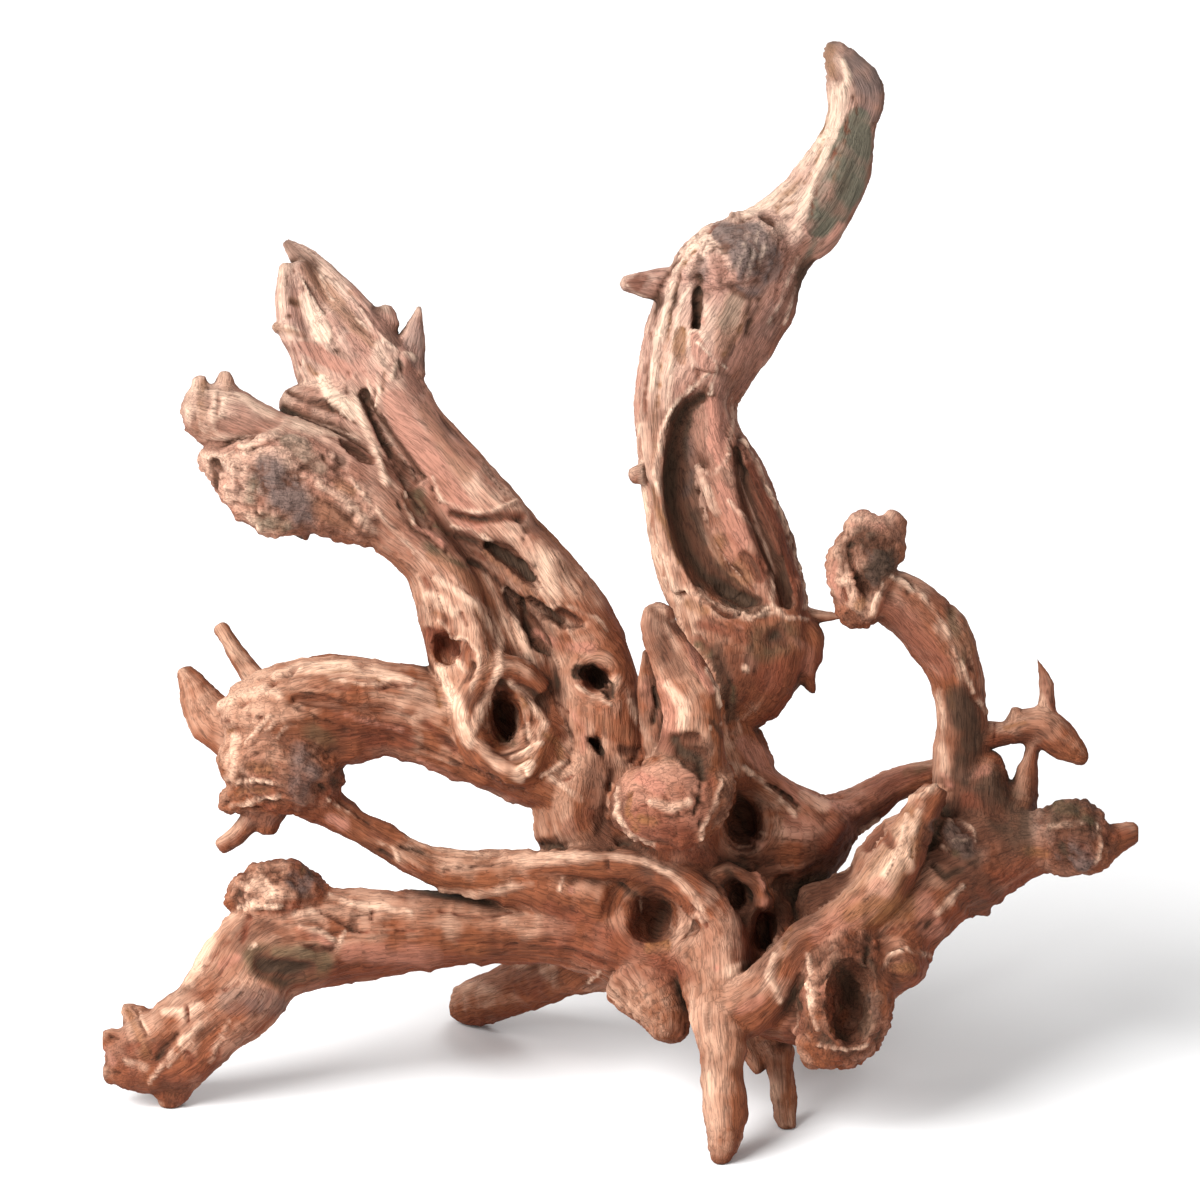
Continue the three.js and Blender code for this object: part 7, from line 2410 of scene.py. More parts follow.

# Besides the wood's own stains and pale faces, many dark DEEP and BROWN marks here are painted shade in
# grooves, pockets and under ledges, and many CREAM marks along ridges are painted highlights.
ROOT_MASS_MARKS = (
    Mark(((955, 785, 22), (985, 812, 34), (1002, 848, 26)), 0, Tone.BROWN, 0.85),
    Mark(((1062, 815, 24), (1082, 818, 20)), 0, Tone.DEEP, 0.85, 0, 0.5),
    Mark(((1070, 850, 18), (1086, 856, 14)), 0, Tone.MAUVE, 0.9, 0, 0.5),
    Mark(((910, 818, 16), (902, 848, 20), (880, 885, 24), (850, 912, 20), (905, 905, 20)), 0,
         Tone.OCHRE, 0.7),
    Mark(((908, 825, 12), (898, 855, 14), (878, 885, 16)), 0, Tone.CREAM, 0.5),
    Mark(((925, 905, 16), (930, 925, 16)), 0, Tone.SALMON, 0.6),
    Mark(((935, 838, 20), (958, 868, 26), (985, 895, 20)), 0, Tone.BROWN, 0.9),
    Mark(((842, 970, 20), (856, 1000, 28), (850, 1032, 22)), 0, Tone.BROWN, 0.95),
    Mark(((862, 945, 12), (870, 975, 12)), 0, Tone.BROWN, 0.8),
    Mark(((835, 850, 34), (805, 900, 34), (790, 930, 20)), 0, Tone.BROWN, 0.9),
    Mark(((1068, 848, 26), (1078, 812, 22)), 0, Tone.BROWN, 0.85),
    Mark(((900, 968, 18),), 0, Tone.BROWN, 0.6),
    Mark(((800, 990, 12), (792, 1030, 14)), 0, Tone.RUST, 0.7),
    Mark(((880, 890, 16), (850, 915, 18), (820, 935, 14)), 0, Tone.SALMON, 0.6),
    Mark(((905, 801, 4), (920, 794, 5), (935, 786, 4)), 2, Tone.CREAM, 1.0, 0.8),
    Mark(((852, 860, 2.8), (857, 846, 3.2), (864, 830, 3.6), (878, 820, 3)), 3, Tone.CREAM, 1.0),
    Mark(((868, 848, 7), (882, 832, 9), (892, 845, 7)), -2.6, Tone.RUST, 0.8, 0.8),
    Mark(((906, 815, 4), (904, 835, 4), (896, 858, 4), (884, 876, 5)), 2.4, Tone.CREAM, 0.95),
    Mark(((922, 800, 5), (917, 815, 5), (912, 838, 5), (908, 870, 6)), 1, Tone.CREAM, 0.6),
    Mark(((913, 838, 3), (911, 857, 3)), -2.2, Tone.OCHRE, 0.95),
    Mark(((920, 806, 3),), -2, Tone.RUST, 0.95),
    Mark(((936, 826, 9), (955, 835, 15), (966, 850, 11)), 0, Tone.MAUVE, 0.85),
    Mark(((928, 828, 5), (942, 822, 6)), -2.6, Tone.DEEP, 0.85),
    Mark(((955, 853, 6),), 0, Tone.OLIVE, 0.8),
    Mark(((948, 821, 2.4), (962, 822, 2.6), (973, 830, 2.6), (976, 841, 2.4)), 2, Tone.CREAM, 0.7),
    Mark(((953, 841, 2.4), (970, 839, 2.4)), 1.6, Tone.CREAM, 0.6),
    Mark(((950, 831, 3), (966, 831, 3)), -2, Tone.DEEP, 0.6),
    Mark(((938, 845, 4), (946, 848, 3)), 2, Tone.CREAM, 0.95),
    Mark(((925, 843, 4), (930, 851, 3)), -2.4, Tone.RUST, 0.95),
    Mark(((932, 866, 4), (945, 876, 7), (960, 870, 6)), -3.4, Tone.DEEP, 0.9),
    Mark(((905, 890, 8), (930, 893, 9)), 0.5, Tone.RUST, 0.4, 0.6),
    Mark(((962, 886, 4), (950, 900, 6), (938, 912, 5)), 2, Tone.CREAM, 0.75),
    Mark(((850, 915, 10), (875, 901, 10), (895, 907, 8)), 0.3, Tone.OCHRE, 0.7),
    # Painted shadow on the trunk behind the root mass.
    Mark(((826, 895, 12), (846, 870, 10), (812, 905, 10)), -1, Tone.BROWN, 0.8),
    Mark(((830, 934, 3.4),), -2, Tone.RUST, 0.95),
    Mark(((878, 937, 2.8), (895, 928, 3), (912, 923, 2.8)), -2.2, Tone.RUST, 0.9),
    Mark(((884, 967, 3), (890, 954, 3.6), (908, 948, 3.6), (928, 955, 3)), 2.2, Tone.CREAM, 0.85),
    Mark(((895, 968, 7), (912, 968, 7)), -1.4, Tone.OCHRE, 0.85),
    Mark(((893, 976, 2.6), (905, 979, 2.8), (918, 973, 2.6)), -2, Tone.BROWN, 0.85),
    Mark(((888, 961, 2.6), (902, 957, 2.8)), -2, Tone.BROWN, 0.85),
    Mark(((870, 945, 4), (866, 960, 5), (872, 976, 5)), -2.8, Tone.DEEP, 0.8),
    Mark(((808, 955, 3), (810, 980, 3.6), (813, 1005, 3.6), (816, 1030, 3.2)), 2.6, Tone.CREAM, 0.95),
    Mark(((820, 985, 4), (825, 1003, 5)), 2.2, Tone.SALMON, 0.95),
    Mark(((815, 993, 2.2), (829, 995, 2.6)), -2.4, Tone.DEEP, 0.9),
    Mark(((818, 1013, 2.6), (833, 1017, 2.8)), -2.8, Tone.DEEP, 0.95),
    Mark(((835, 965, 9), (850, 985, 12), (856, 1015, 10)), -2, Tone.DEEP, 0.8, 0.6),
    Mark(((840, 1008, 5),), 0.8, Tone.OLIVE, 0.8),
    Mark(((832, 1030, 5),), 0.8, Tone.OCHRE, 0.8),
    Mark(((872, 998, 6), (878, 1015, 6)), 1.4, Tone.MAUVE, 0.7),
    Mark(((820, 1046, 4), (845, 1051, 4), (868, 1046, 3)), 2, Tone.CREAM, 0.8),
    Mark(((965, 800, 10), (985, 800, 12), (1000, 820, 10)), -0.6, Tone.RUST, 0.75, 0.7),
    Mark(((985, 838, 12), (1005, 836, 12), (1010, 850, 8)), -2, Tone.BROWN, 0.85),
    Mark(((1025, 850, 6), (1045, 853, 6)), 0.5, Tone.OCHRE, 0.85),
    Mark(((1058, 808, 8), (1075, 811, 9), (1090, 820, 7)), 0, Tone.OLIVE, 0.95),
    Mark(((1060, 850, 10), (1075, 860, 10)), -1, Tone.BROWN, 0.8),
    Mark(((1050, 826, 4), (1080, 823, 4)), 1.4, Tone.CREAM, 0.45),
    Mark(((1068, 832, 3), (1090, 830, 3)), -2.4, Tone.DEEP, 0.85),
    Mark(((1098, 822, 3), (1101, 842, 3.4), (1096, 862, 3)), 2, Tone.CREAM, 0.9),
    Mark(((1082, 848, 6), (1088, 856, 5)), -2.4, Tone.RUST, 0.9),
    Mark(((1108, 838, 8), (1125, 832, 7)), 0, Tone.RUST, 0.6),
    Mark(((980, 890, 6), (995, 900, 6)), 1.4, Tone.RUST, 0.6),
    Mark(((962, 905, 8), (975, 912, 6)), -2, Tone.BROWN, 0.8),
    Mark(((805, 795, 8), (822, 805, 9)), 0, Tone.CREAM, 0.45, 0.6),
    Mark(((828, 845, 14), (842, 832, 12)), 0, Tone.RUST, 0.7, 0.7),
    Mark(((775, 955, 4), (768, 975, 5), (780, 1000, 5)), 1.8, Tone.CREAM, 0.6),
    Mark(((790, 930, 3), (783, 950, 3), (778, 975, 3)), -2, Tone.OCHRE, 0.85),
    Mark(((760, 1000, 8), (740, 1010, 8)), 0, Tone.SALMON, 0.5),
    Mark(((800, 985, 4), (798, 1010, 5), (790, 1030, 5)), -2.4, Tone.BROWN, 0.8),
    Mark(((992, 786, 24), (1010, 818, 28), (1022, 844, 16)), 0, Tone.DEEP, 0.75),
    Mark(((948, 830, 14), (960, 846, 16), (972, 858, 12)), 0, Tone.DEEP, 0.55),
    Mark(((868, 965, 12), (873, 1000, 14), (866, 1028, 12)), 0, Tone.DEEP, 0.7),
    Mark(((1056, 812, 14), (1078, 814, 14)), 0, Tone.DEEP, 0.6),
    Mark(((1066, 852, 14), (1082, 858, 12)), 0, Tone.MAUVE, 0.8),
)

# Besides the wood's own stains and pale faces, many dark DEEP and BROWN marks here are painted shade in
# grooves, pockets and under ledges, and many CREAM marks along ridges are painted highlights.
ARCH_MARKS = (
    Mark(((870, 545, 20), (882, 562, 22), (868, 590, 16)), 0, Tone.BROWN, 0.8),
    Mark(((962, 700, 20), (970, 735, 24), (968, 770, 18)), 0, Tone.BROWN, 0.8),
    Mark(((895, 606, 15), (918, 640, 17), (942, 668, 14)), 0, Tone.SALMON, 0.45),
    Mark(((834, 562, 5), (833, 582, 5), (840, 600, 5)), 1, Tone.SALMON, 0.95, 0.6),
    Mark(((842, 588, 4), (846, 600, 4)), -2, Tone.RUST, 0.95),
    Mark(((849, 545, 5), (852, 562, 5), (858, 578, 4)), -3, Tone.BROWN, 0.95),
    Mark(((870, 545, 10), (880, 560, 12), (870, 580, 9)), 0, Tone.MAUVE, 0.8),
    Mark(((866, 545, 6),), -0.8, Tone.OLIVE, 0.7),
    Mark(((881, 582, 2.6), (876, 598, 3), (872, 613, 3)), 2.2, Tone.CREAM, 0.9),
    Mark(((860, 604, 8),), 0, Tone.OCHRE, 0.7),
    Mark(((852, 526, 5), (880, 528, 6)), 0, Tone.SALMON, 0.6),
    Mark(((888, 575, 3), (905, 584, 4), (922, 598, 4), (936, 615, 4), (948, 635, 4), (956, 655, 4)), 1.6,
         Tone.CREAM, 0.95),
    Mark(((900, 588, 3), (909, 594, 4)), -3, Tone.DEEP, 0.9),
    Mark(((903, 578, 2), (914, 590, 2.2)), -2, Tone.BROWN, 0.9),
    Mark(((927, 600, 2), (930, 611, 2)), -2, Tone.RUST, 0.95),
    Mark(((937, 605, 2), (940, 619, 2)), -2, Tone.RUST, 0.95),
    Mark(((948, 606, 4), (951, 615, 4)), -2.8, Tone.RUST, 0.95),
    Mark(((946, 640, 2.2), (955, 660, 2.2)), -1.4, Tone.RUST, 0.8),
    Mark(((888, 608, 10), (908, 628, 12), (930, 650, 12), (948, 668, 9)), 0.5, Tone.RUST, 0.45, 0.85),
    Mark(((884, 592, 6), (893, 600, 6)), -1.4, Tone.BROWN, 0.7),
    Mark(((966, 635, 6), (972, 652, 6)), 1, Tone.OCHRE, 0.5),
    Mark(((965, 655, 3), (972, 668, 4)), -3, Tone.BROWN, 0.95),
    Mark(((960, 661, 3), (967, 676, 4), (973, 691, 4)), 2, Tone.CREAM, 0.85),
    Mark(((978, 700, 3), (985, 712, 3)), 2, Tone.CREAM, 0.85),
    Mark(((972, 698, 2.2), (981, 708, 2.4)), -2, Tone.BROWN, 0.9),
    Mark(((940, 690, 4), (945, 715, 4), (944, 750, 4), (947, 775, 5)), 1.6, Tone.CREAM, 0.6),
    Mark(((948, 688, 3), (954, 708, 3)), -1.6, Tone.OCHRE, 0.9),
    Mark(((965, 705, 12), (970, 730, 14), (965, 755, 12)), -0.4, Tone.BROWN, 0.75, 0.5),
    Mark(((946, 775, 5), (950, 785, 5)), 1, Tone.SALMON, 0.9),
    Mark(((995, 725, 2.4), (994, 738, 2.4)), -2, Tone.RUST, 1.0),
    Mark(((1005, 742, 6), (1030, 735, 7), (1050, 730, 6)), 0, Tone.BROWN, 0.6),
    Mark(((1005, 728, 4), (1025, 722, 4)), 0.5, Tone.OCHRE, 0.7),
    Mark(((1040, 668, 5), (1046, 688, 6), (1052, 705, 6)), 0, Tone.RUST, 0.7),
    Mark(((1065, 720, 7), (1078, 740, 7)), 0, Tone.RUST, 0.6),
    Mark(((960, 775, 8), (985, 770, 8)), 0.5, Tone.SALMON, 0.5),
    Mark(((870, 790, 10), (900, 779, 9), (925, 771, 8)), 0, Tone.RUST, 0.7),
    Mark(((905, 775, 5), (925, 768, 4)), 0, Tone.OLIVE, 0.5),
    Mark(((956, 694, 13), (968, 718, 18), (970, 745, 18), (962, 776, 13)), 0, Tone.DEEP, 0.8),
    Mark(((862, 534, 13), (878, 546, 18), (884, 560, 16), (868, 578, 13)), 0, Tone.DEEP, 0.85),
    Mark(((844, 545, 8), (846, 568, 8)), 0, Tone.BROWN, 0.7),
    Mark(((948, 612, 7), (958, 640, 7), (962, 660, 6)), 0, Tone.OLIVE, 0.7),
)


MARKS: tuple[Mark, ...] = (
    *TALL_LIMB_MARKS,
    *UPPER_LEFT_MARKS,
    *STRAND_MARKS,
    *HUB_MARKS,
    *LEFT_LIMB_MARKS,
    *LEFT_ROOT_MARKS,
    *ROOT_MASS_MARKS,
    *ARCH_MARKS,
)


@dataclass
class Tones:
    """Where the wood is greyer, greener, redder or paler than the rest, and where shade and light are
    painted into its colour.
    """

    patches: tuple[tuple[Tone, Patch], ...] = (
        (Tone.RUST, Patch((60, -40, -230), 95, 0.3)),
        (Tone.RUST, Patch((190, -80, -290), 80, 0.4)),
        (Tone.RUST, Patch((290, -20, -160), 90, 0.3)),
        (Tone.RUST, Patch((-240, -40, -270), 130, 0.22)),
        # Painted shade on the boulder, which sits behind the right limb in shade.
        (Tone.DEEP, Patch((304, -14, -160), 36, 0.75)),
        (Tone.MAUVE, Patch((350, -30, -172), 30, 0.8)),
        (Tone.MAUVE, Patch((265, -45, -182), 24, 0.8)),
        (Tone.MAUVE, Patch((-240, -40, -122), 26, 0.35)),
    )
    # Direction of the key lamp's side: surfaces facing it get painted light (paler, pinker), surfaces
    # facing away get painted shade (rust-brown).
    painted_light_side: tuple[float, float, float] = (-0.58, -0.42, 0.70)
    low_loss: tuple[float, float, float] = (0.22, 0.40, 0.50)
    warmth: tuple[float, float, float] = (1.12, 0.99, 0.92)
    low_top_mm: float = 330.0
    low_fade_mm: float = 230.0
    broad_pitch: float = 60.0
    stain_pitch: float = 30.0
    spot_pitch: float = 14.0
    # How closed in each point is, measured at these steps out from it, sets the painted shade in hollows
    # and crevices.
    shelter_steps_mm: tuple[float, ...] = (3.0, 8.0, 16.0)
    shelter_full: float = 2.4
    crack_darkness: float = 0.75
    # Painted shade in the valleys between fibres.
    valley_shade: float = 0.8
    # Painted shade in hollows: brown, then deep brown, as a point is more closed in.
    hollow_shade_brown: tuple[float, float] = (1.9, 0.2)
    hollow_shade_deep: tuple[float, float] = (2.2, 0.56)

    def low_down(self, heights: np.ndarray) -> np.ndarray:
        """Give how far down the wood each height in millimetres lies, from 0 to 1."""
        return np.clip(1.0 - (heights - self.low_top_mm) / self.low_fade_mm, 0.0, 1.0)


class Driftwood:
    """The whole piece of wood: its limbs and hollows joined into one skin."""

    NAMES = (
        "tall_limb",
        "upper_strands",
        "left_limb",
        "bridge",
        "left_root",
        "trunk_foot",
        "front_bulb",
        "right_arch",
        "root_mass",
        "back_strands",
    )
    MERGED = {"bridge": "left_limb", "front_bulb": "tall_limb", "back_strands": "trunk_foot"}
    seed = 61

    def __init__(self) -> None:
        """Gather the limbs, the hollows and the rules of the surface."""
        self.groups: list[Limbs] = [
            TallLimb(),
            UpperStrands(),
            LeftLimb(),
            Bridge(),
            LeftRoot(),
            TrunkFoot(),
            FrontBulb(),
            RightArch(),
            RootMass(),
            BackStrands(),
        ]
        self.cuts: list[Limbs] = [Hollows(), Slots()]
        self.inner = InnerRidges()
        self.relief = Relief()
        self.tones = Tones()
        knots = (
            Knot((-72, -34, -88), 34),
            Knot((-2, -30, -57), 20),
            Knot((40, -50, -236), 34),
            Knot((108, -40, -168), 26),
            Knot((223, -84, -272), 18),
        )
        self.limbs = [stroke for group in self.groups for stroke in group.strokes()]
        self.fibre_strokes: list[tuple[int, Stroke | Knot]] = [
            (number, stroke)
            for number, group in enumerate(self.groups)
            for stroke in group.strokes()
        ]
        self.fibre_strokes += [(0, stroke) for stroke in self.inner.strokes()]
        self.fibre_strokes += [(0, knot) for knot in knots]

    def shape(self, low: np.ndarray, high: np.ndarray) -> WoodField:
        """Join the limbs and cut the hollows.

        Args:
            low: The part's lowest corner, in millimetres.
            high: The part's highest corner, in millimetres.

        Returns:
            The field of distances from the wood's surface.
        """
        wood = WoodField(low, high)
        for stroke in self.limbs:
            wood.add(stroke)
        for group in self.cuts:
            for stroke in group.strokes():
                wood.cut(stroke)
        for stroke in self.inner.strokes():
            wood.add(stroke)
        wood.wear_flat()
        return wood

    def build(self) -> list[bpy.types.Object]:
        """Make the skin, piece by piece, and dress it.

        Returns:
            The pieces' objects.
        """
        low, high = (np.array(corner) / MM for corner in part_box("driftwood"))
        wood = self.shape(low, high)
        LOG.info("joined %d strokes", len(self.limbs))
        points, faces = wood.skin()
        out = wood.outward(points)
        fibres = FibreMap(points, self)
        painting = Painting(points, out)
        painting.apply(list(MARKS))
        height, crest, crack = self._heights(points, fibres, painting)
        above = np.clip(points[:, 2] / 6.0, 0.0, 1.0)
        carved = np.clip(points + out * (height * above)[:, None], low + 0.2, high - 0.2)
        LOG.info("carved %d points and %d faces", len(points), len(faces))
        shelter = self._shelter(wood, carved, out)
        colour = self._colours(points, out, crest, crack, shelter, painting)
        normals = self._normals(carved, faces)
        burled = self._burled(fibres, painting)
        finish = WoodFinish().material()
        pieces = []
        owner = fibres.group[faces[:, 0]]
        for name in dict.fromkeys(self.MERGED.get(name, name) for name in self.NAMES):
            numbers = [i for i, own in enumerate(self.NAMES) if self.MERGED.get(own, own) == name]
            part = faces[np.isin(owner, numbers)]
            keep, local = np.unique(part, return_inverse=True)
            local = local.reshape(part.shape)
            skin = self._piece(name, carved[keep], local, normals[keep])
            coordinates, share = fibres.by_face(keep, local)
            for slot, values in zip(("grain_a", "grain_b", "grain_c"), coordinates):
                self._store(skin.data, slot, "FLOAT_VECTOR", "CORNER", "vector", values)
            self._store(skin.data, "grain_share", "FLOAT_VECTOR", "CORNER", "vector", share)
            # The stored colour carries painted light and shade as well as the wood's own tones.
            self._store(skin.data, "wood_tone_and_painted_light", "FLOAT_COLOR", "POINT", "color", colour[keep])
            self._store(skin.data, "burl", "FLOAT", "POINT", "value", burled[keep])
            skin.data.materials.append(finish)
            LOG.info("piece %s has %d triangles", name, 2 * len(part))
            pieces.append(skin)
        return pieces

    def _burled(self, fibres: FibreMap, painting: Painting) -> np.ndarray:
        """Work out how burled each point looks where the marks have smoothed it.

        Args:
            fibres: Where each limb's fibres run.
            painting: What the marks do to the skin.

        Returns:
            A share from 0 to 1 for each point.
        """
        return fibres.burl_share() * (1.0 - self.relief.mark_on_burl * painting.calm)

    def _heights(
        self, points: np.ndarray, fibres: FibreMap, painting: Painting
    ) -> tuple[np.ndarray, np.ndarray, np.ndarray]:
        """Add up how far the fibres, burls and marks raise each point.

        Args:
            points: The skin's points in millimetres.
            fibres: Where each limb's fibres run.
            painting: What the marks do to the skin.

        Returns:
            The height in millimetres, how near a crest each point is, and how deep in a crack.
        """
        relief = self.relief
        fibre_height, crest, crack = fibres.relief()
        burled = self._burled(fibres, painting)
        calm = 1.0 - painting.calm
        height = fibre_height * (1.0 - relief.burl_smoothness * burled) * calm
        swell = Noise(self.seed + 10).layered(points / relief.swell_pitch, 2)
        height += relief.swell_height * swell * (1.0 - relief.mark_on_swell * painting.calm)
        gnarl = Noise(self.seed + 11).ridged(points / relief.gnarl_pitch, 2)
        lower = np.clip(1.5 - points[:, 2] / relief.gnarl_fade_mm, *relief.gnarl_limits)
        height += relief.gnarl_height * lower * gnarl * (1.0 - relief.mark_on_gnarl * painting.calm)
        lumps = Noise(self.seed + 4)
        lump = lumps.layered(points / relief.lump_pitch, 2)
        grain = 1.0 - 2.0 * np.abs(lumps.at(points / relief.grain_pitch))
        lump = relief.lump_share * lump - relief.grain_share * grain
        height += burled * relief.lump_height * lump
        crevice = np.clip(-1.6 * lump - 0.25, 0.0, 1.0)
        crack = np.maximum(crack * calm, np.clip(1.3 * burled * crevice, 0.0, 1.0))
        pitted = relief.pit_share * np.clip(-gnarl - 0.25, 0.0, 1.0) * (1.0 - painting.calm)
        return height + painting.rise, crest * calm, np.maximum(crack, pitted)

    @staticmethod
    def _normals(points: np.ndarray, faces: np.ndarray) -> np.ndarray:
        """Work out the smooth normal at each point of the whole skin.

        Args:
            points: The skin's points.
            faces: The four point numbers of each face.

        Returns:
            A unit vector for each point.
        """
        first = points[faces[:, 2]] - points[faces[:, 0]]
        second = points[faces[:, 3]] - points[faces[:, 1]]
        flat = np.cross(first, second)
        total = np.zeros_like(points)
        for corner in range(4):
            for axis in range(3):
                total[:, axis] += np.bincount(
                    faces[:, corner], weights=flat[:, axis], minlength=len(points)
                )
        return unit(total)

    @staticmethod
    def _piece(
        name: str, points: np.ndarray, faces: np.ndarray, normals: np.ndarray
    ) -> bpy.types.Object:
        """Make one piece of the skin.

        Args:
            name: The piece's name.
            points: Its points in millimetres.
            faces: The four point numbers of each face.
            normals: The whole skin's normals at its points.

        Returns:
            The piece's object.
        """
        mesh = bpy.data.meshes.new(name)
        mesh.from_pydata((points * MM).tolist(), [], faces.tolist())
        mesh.shade_smooth()
        mesh.normals_split_custom_set_from_vertices(normals.tolist())
        skin = bpy.data.objects.new(name, mesh)
        bpy.context.scene.collection.objects.link(skin)
        return skin

    @staticmethod
    def _store(
        mesh: bpy.types.Mesh, name: str, kind: str, domain: str, key: str, values: np.ndarray
    ) -> None:
        """Keep values on the mesh for its finish to read.

        Args:
            mesh: The piece's mesh.
            name: The name that the finish reads.
            kind: The values' type.
            domain: Whether they belong to points or to face corners.
            key: The field of each element that takes the value.
            values: The values, one row for each element.
        """
        layer = mesh.attributes.new(name, kind, domain)
        layer.data.foreach_set(key, np.ascontiguousarray(values, dtype=np.float32).ravel())

    def _shelter(self, wood: WoodField, points: np.ndarray, out: np.ndarray) -> np.ndarray:
        """Work out how closed in each point is, which sets the painted shade in hollows and crevices.

        Args:
            wood: The distances from the wood's surface.
            points: The skin's points in millimetres.
            out: The way out of the wood at each point.

        Returns:
            A share from 0 in the open to 1 in a hollow.
        """
        total = np.zeros(len(points))
        for step in self.tones.shelter_steps_mm:
            open_way = wood.at(points + out * step)
            total += np.clip(1.0 - open_way / step, 0.0, 1.5)
        return np.clip(total / self.tones.shelter_full, 0.0, 1.0)

    def _colours(
        self,
        points: np.ndarray,
        out: np.ndarray,
        crest: np.ndarray,
        crack: np.ndarray,
        shelter: np.ndarray,
        painting: Painting,
    ) -> np.ndarray:
        """Mix the wood's colour at each point, with painted light and shade laid into it.

        Args:
            points: The skin's points in millimetres.
            out: The way out of the wood at each point.
            crest: How high each point stands on a fibre, from -1 to 1.
            crack: How deep in a crack each point lies, from 0 to 1.
            shelter: How closed in each point is, from 0 to 1, which sets the painted shade in hollows.
            painting: What the marks do to the skin.

        Returns:
            Red, green, blue and a full alpha for each point.
        """
        tones = self.tones
        board = frame_to_board(points)
        broad = Noise(self.seed + 6).layered(points / tones.broad_pitch, 3)
        spots = Noise(self.seed + 7).layered(points / tones.spot_pitch, 3)
        stains = Noise(self.seed + 12).layered(points / tones.stain_pitch, 3)
        colour = np.tile(np.array(Tone.TAN.value), (len(points), 1))

        def blend(tone: Tone, share: np.ndarray) -> None:
            """Move the colours towards a tone by a share from 0 to 1."""
            colour[:] += (np.array(tone.value) - colour) * np.clip(share, 0.0, 1.0)[:, None]

        # Painted light and shade: light is how far each point faces the key lamp's side.
        light = out @ (np.array(tones.painted_light_side) / np.linalg.norm(tones.painted_light_side))
        low_down = tones.low_down(points[:, 2])
        blend(Tone.SALMON, 0.45 + 1.1 * broad)
        blend(Tone.OCHRE, 0.6 * np.clip(low_down - 0.25 + 0.8 * broad, 0.0, 1.0))
        # Painted shade on the side facing away from the light, mixed with random rust patches, more of them
        # lower down.
        shade = np.clip(0.2 - light, -0.5, 0.45)
        blend(Tone.RUST, 0.9 * np.clip(shade + 0.15 * low_down + 0.6 * broad + 0.3 * spots, 0.0, 1.0))
        blend(Tone.BROWN, np.clip(1.6 * stains - 0.25, 0.0, 0.6))
        colour *= 1.0 - low_down[:, None] * np.array(tones.low_loss)
        # Partly painted light: the lit side of the upper wood turns pinker.
        blend(Tone.PINK, 0.5 * (1.0 - low_down) * np.clip(0.45 + 0.8 * light + 0.5 * spots, 0.0, 1.0))
        # Painted highlight: cream where a point faces the light or stands on a fibre crest, broken up by
        # random spots.
        pale = np.clip(light - 0.38 - 0.1 * low_down + 0.5 * spots + 0.35 * crest, 0.0, 1.0)
        blend(Tone.CREAM, 0.6 * pale)
        # Painted highlight along fibre crests, broken up by random spots.
        blend(Tone.CREAM, 0.3 * np.clip(crest - 0.2 + 0.5 * spots, 0.0, 1.0))
        for tone, patch in tones.patches:
            blend(tone, patch.share(board) * (0.75 + 0.6 * spots))
        # Painted shade in the valleys between fibres.
        blend(Tone.BROWN, tones.valley_shade * np.clip(-crest - 0.12, 0.0, 1.0))
        painting.colour(colour, spots)
        blend(Tone.BROWN, tones.crack_darkness * crack)
        # Painted shade in hollows and crevices, darker the more closed in.
        for tone, (gain, start) in ((Tone.BROWN, tones.hollow_shade_brown), (Tone.DEEP, tones.hollow_shade_deep)):
            blend(tone, gain * (shelter - start))
        colour *= 1.0 + low_down[:, None] * (np.array(tones.warmth) - 1.0)
        return np.concatenate([colour, np.ones((len(points), 1))], axis=1)


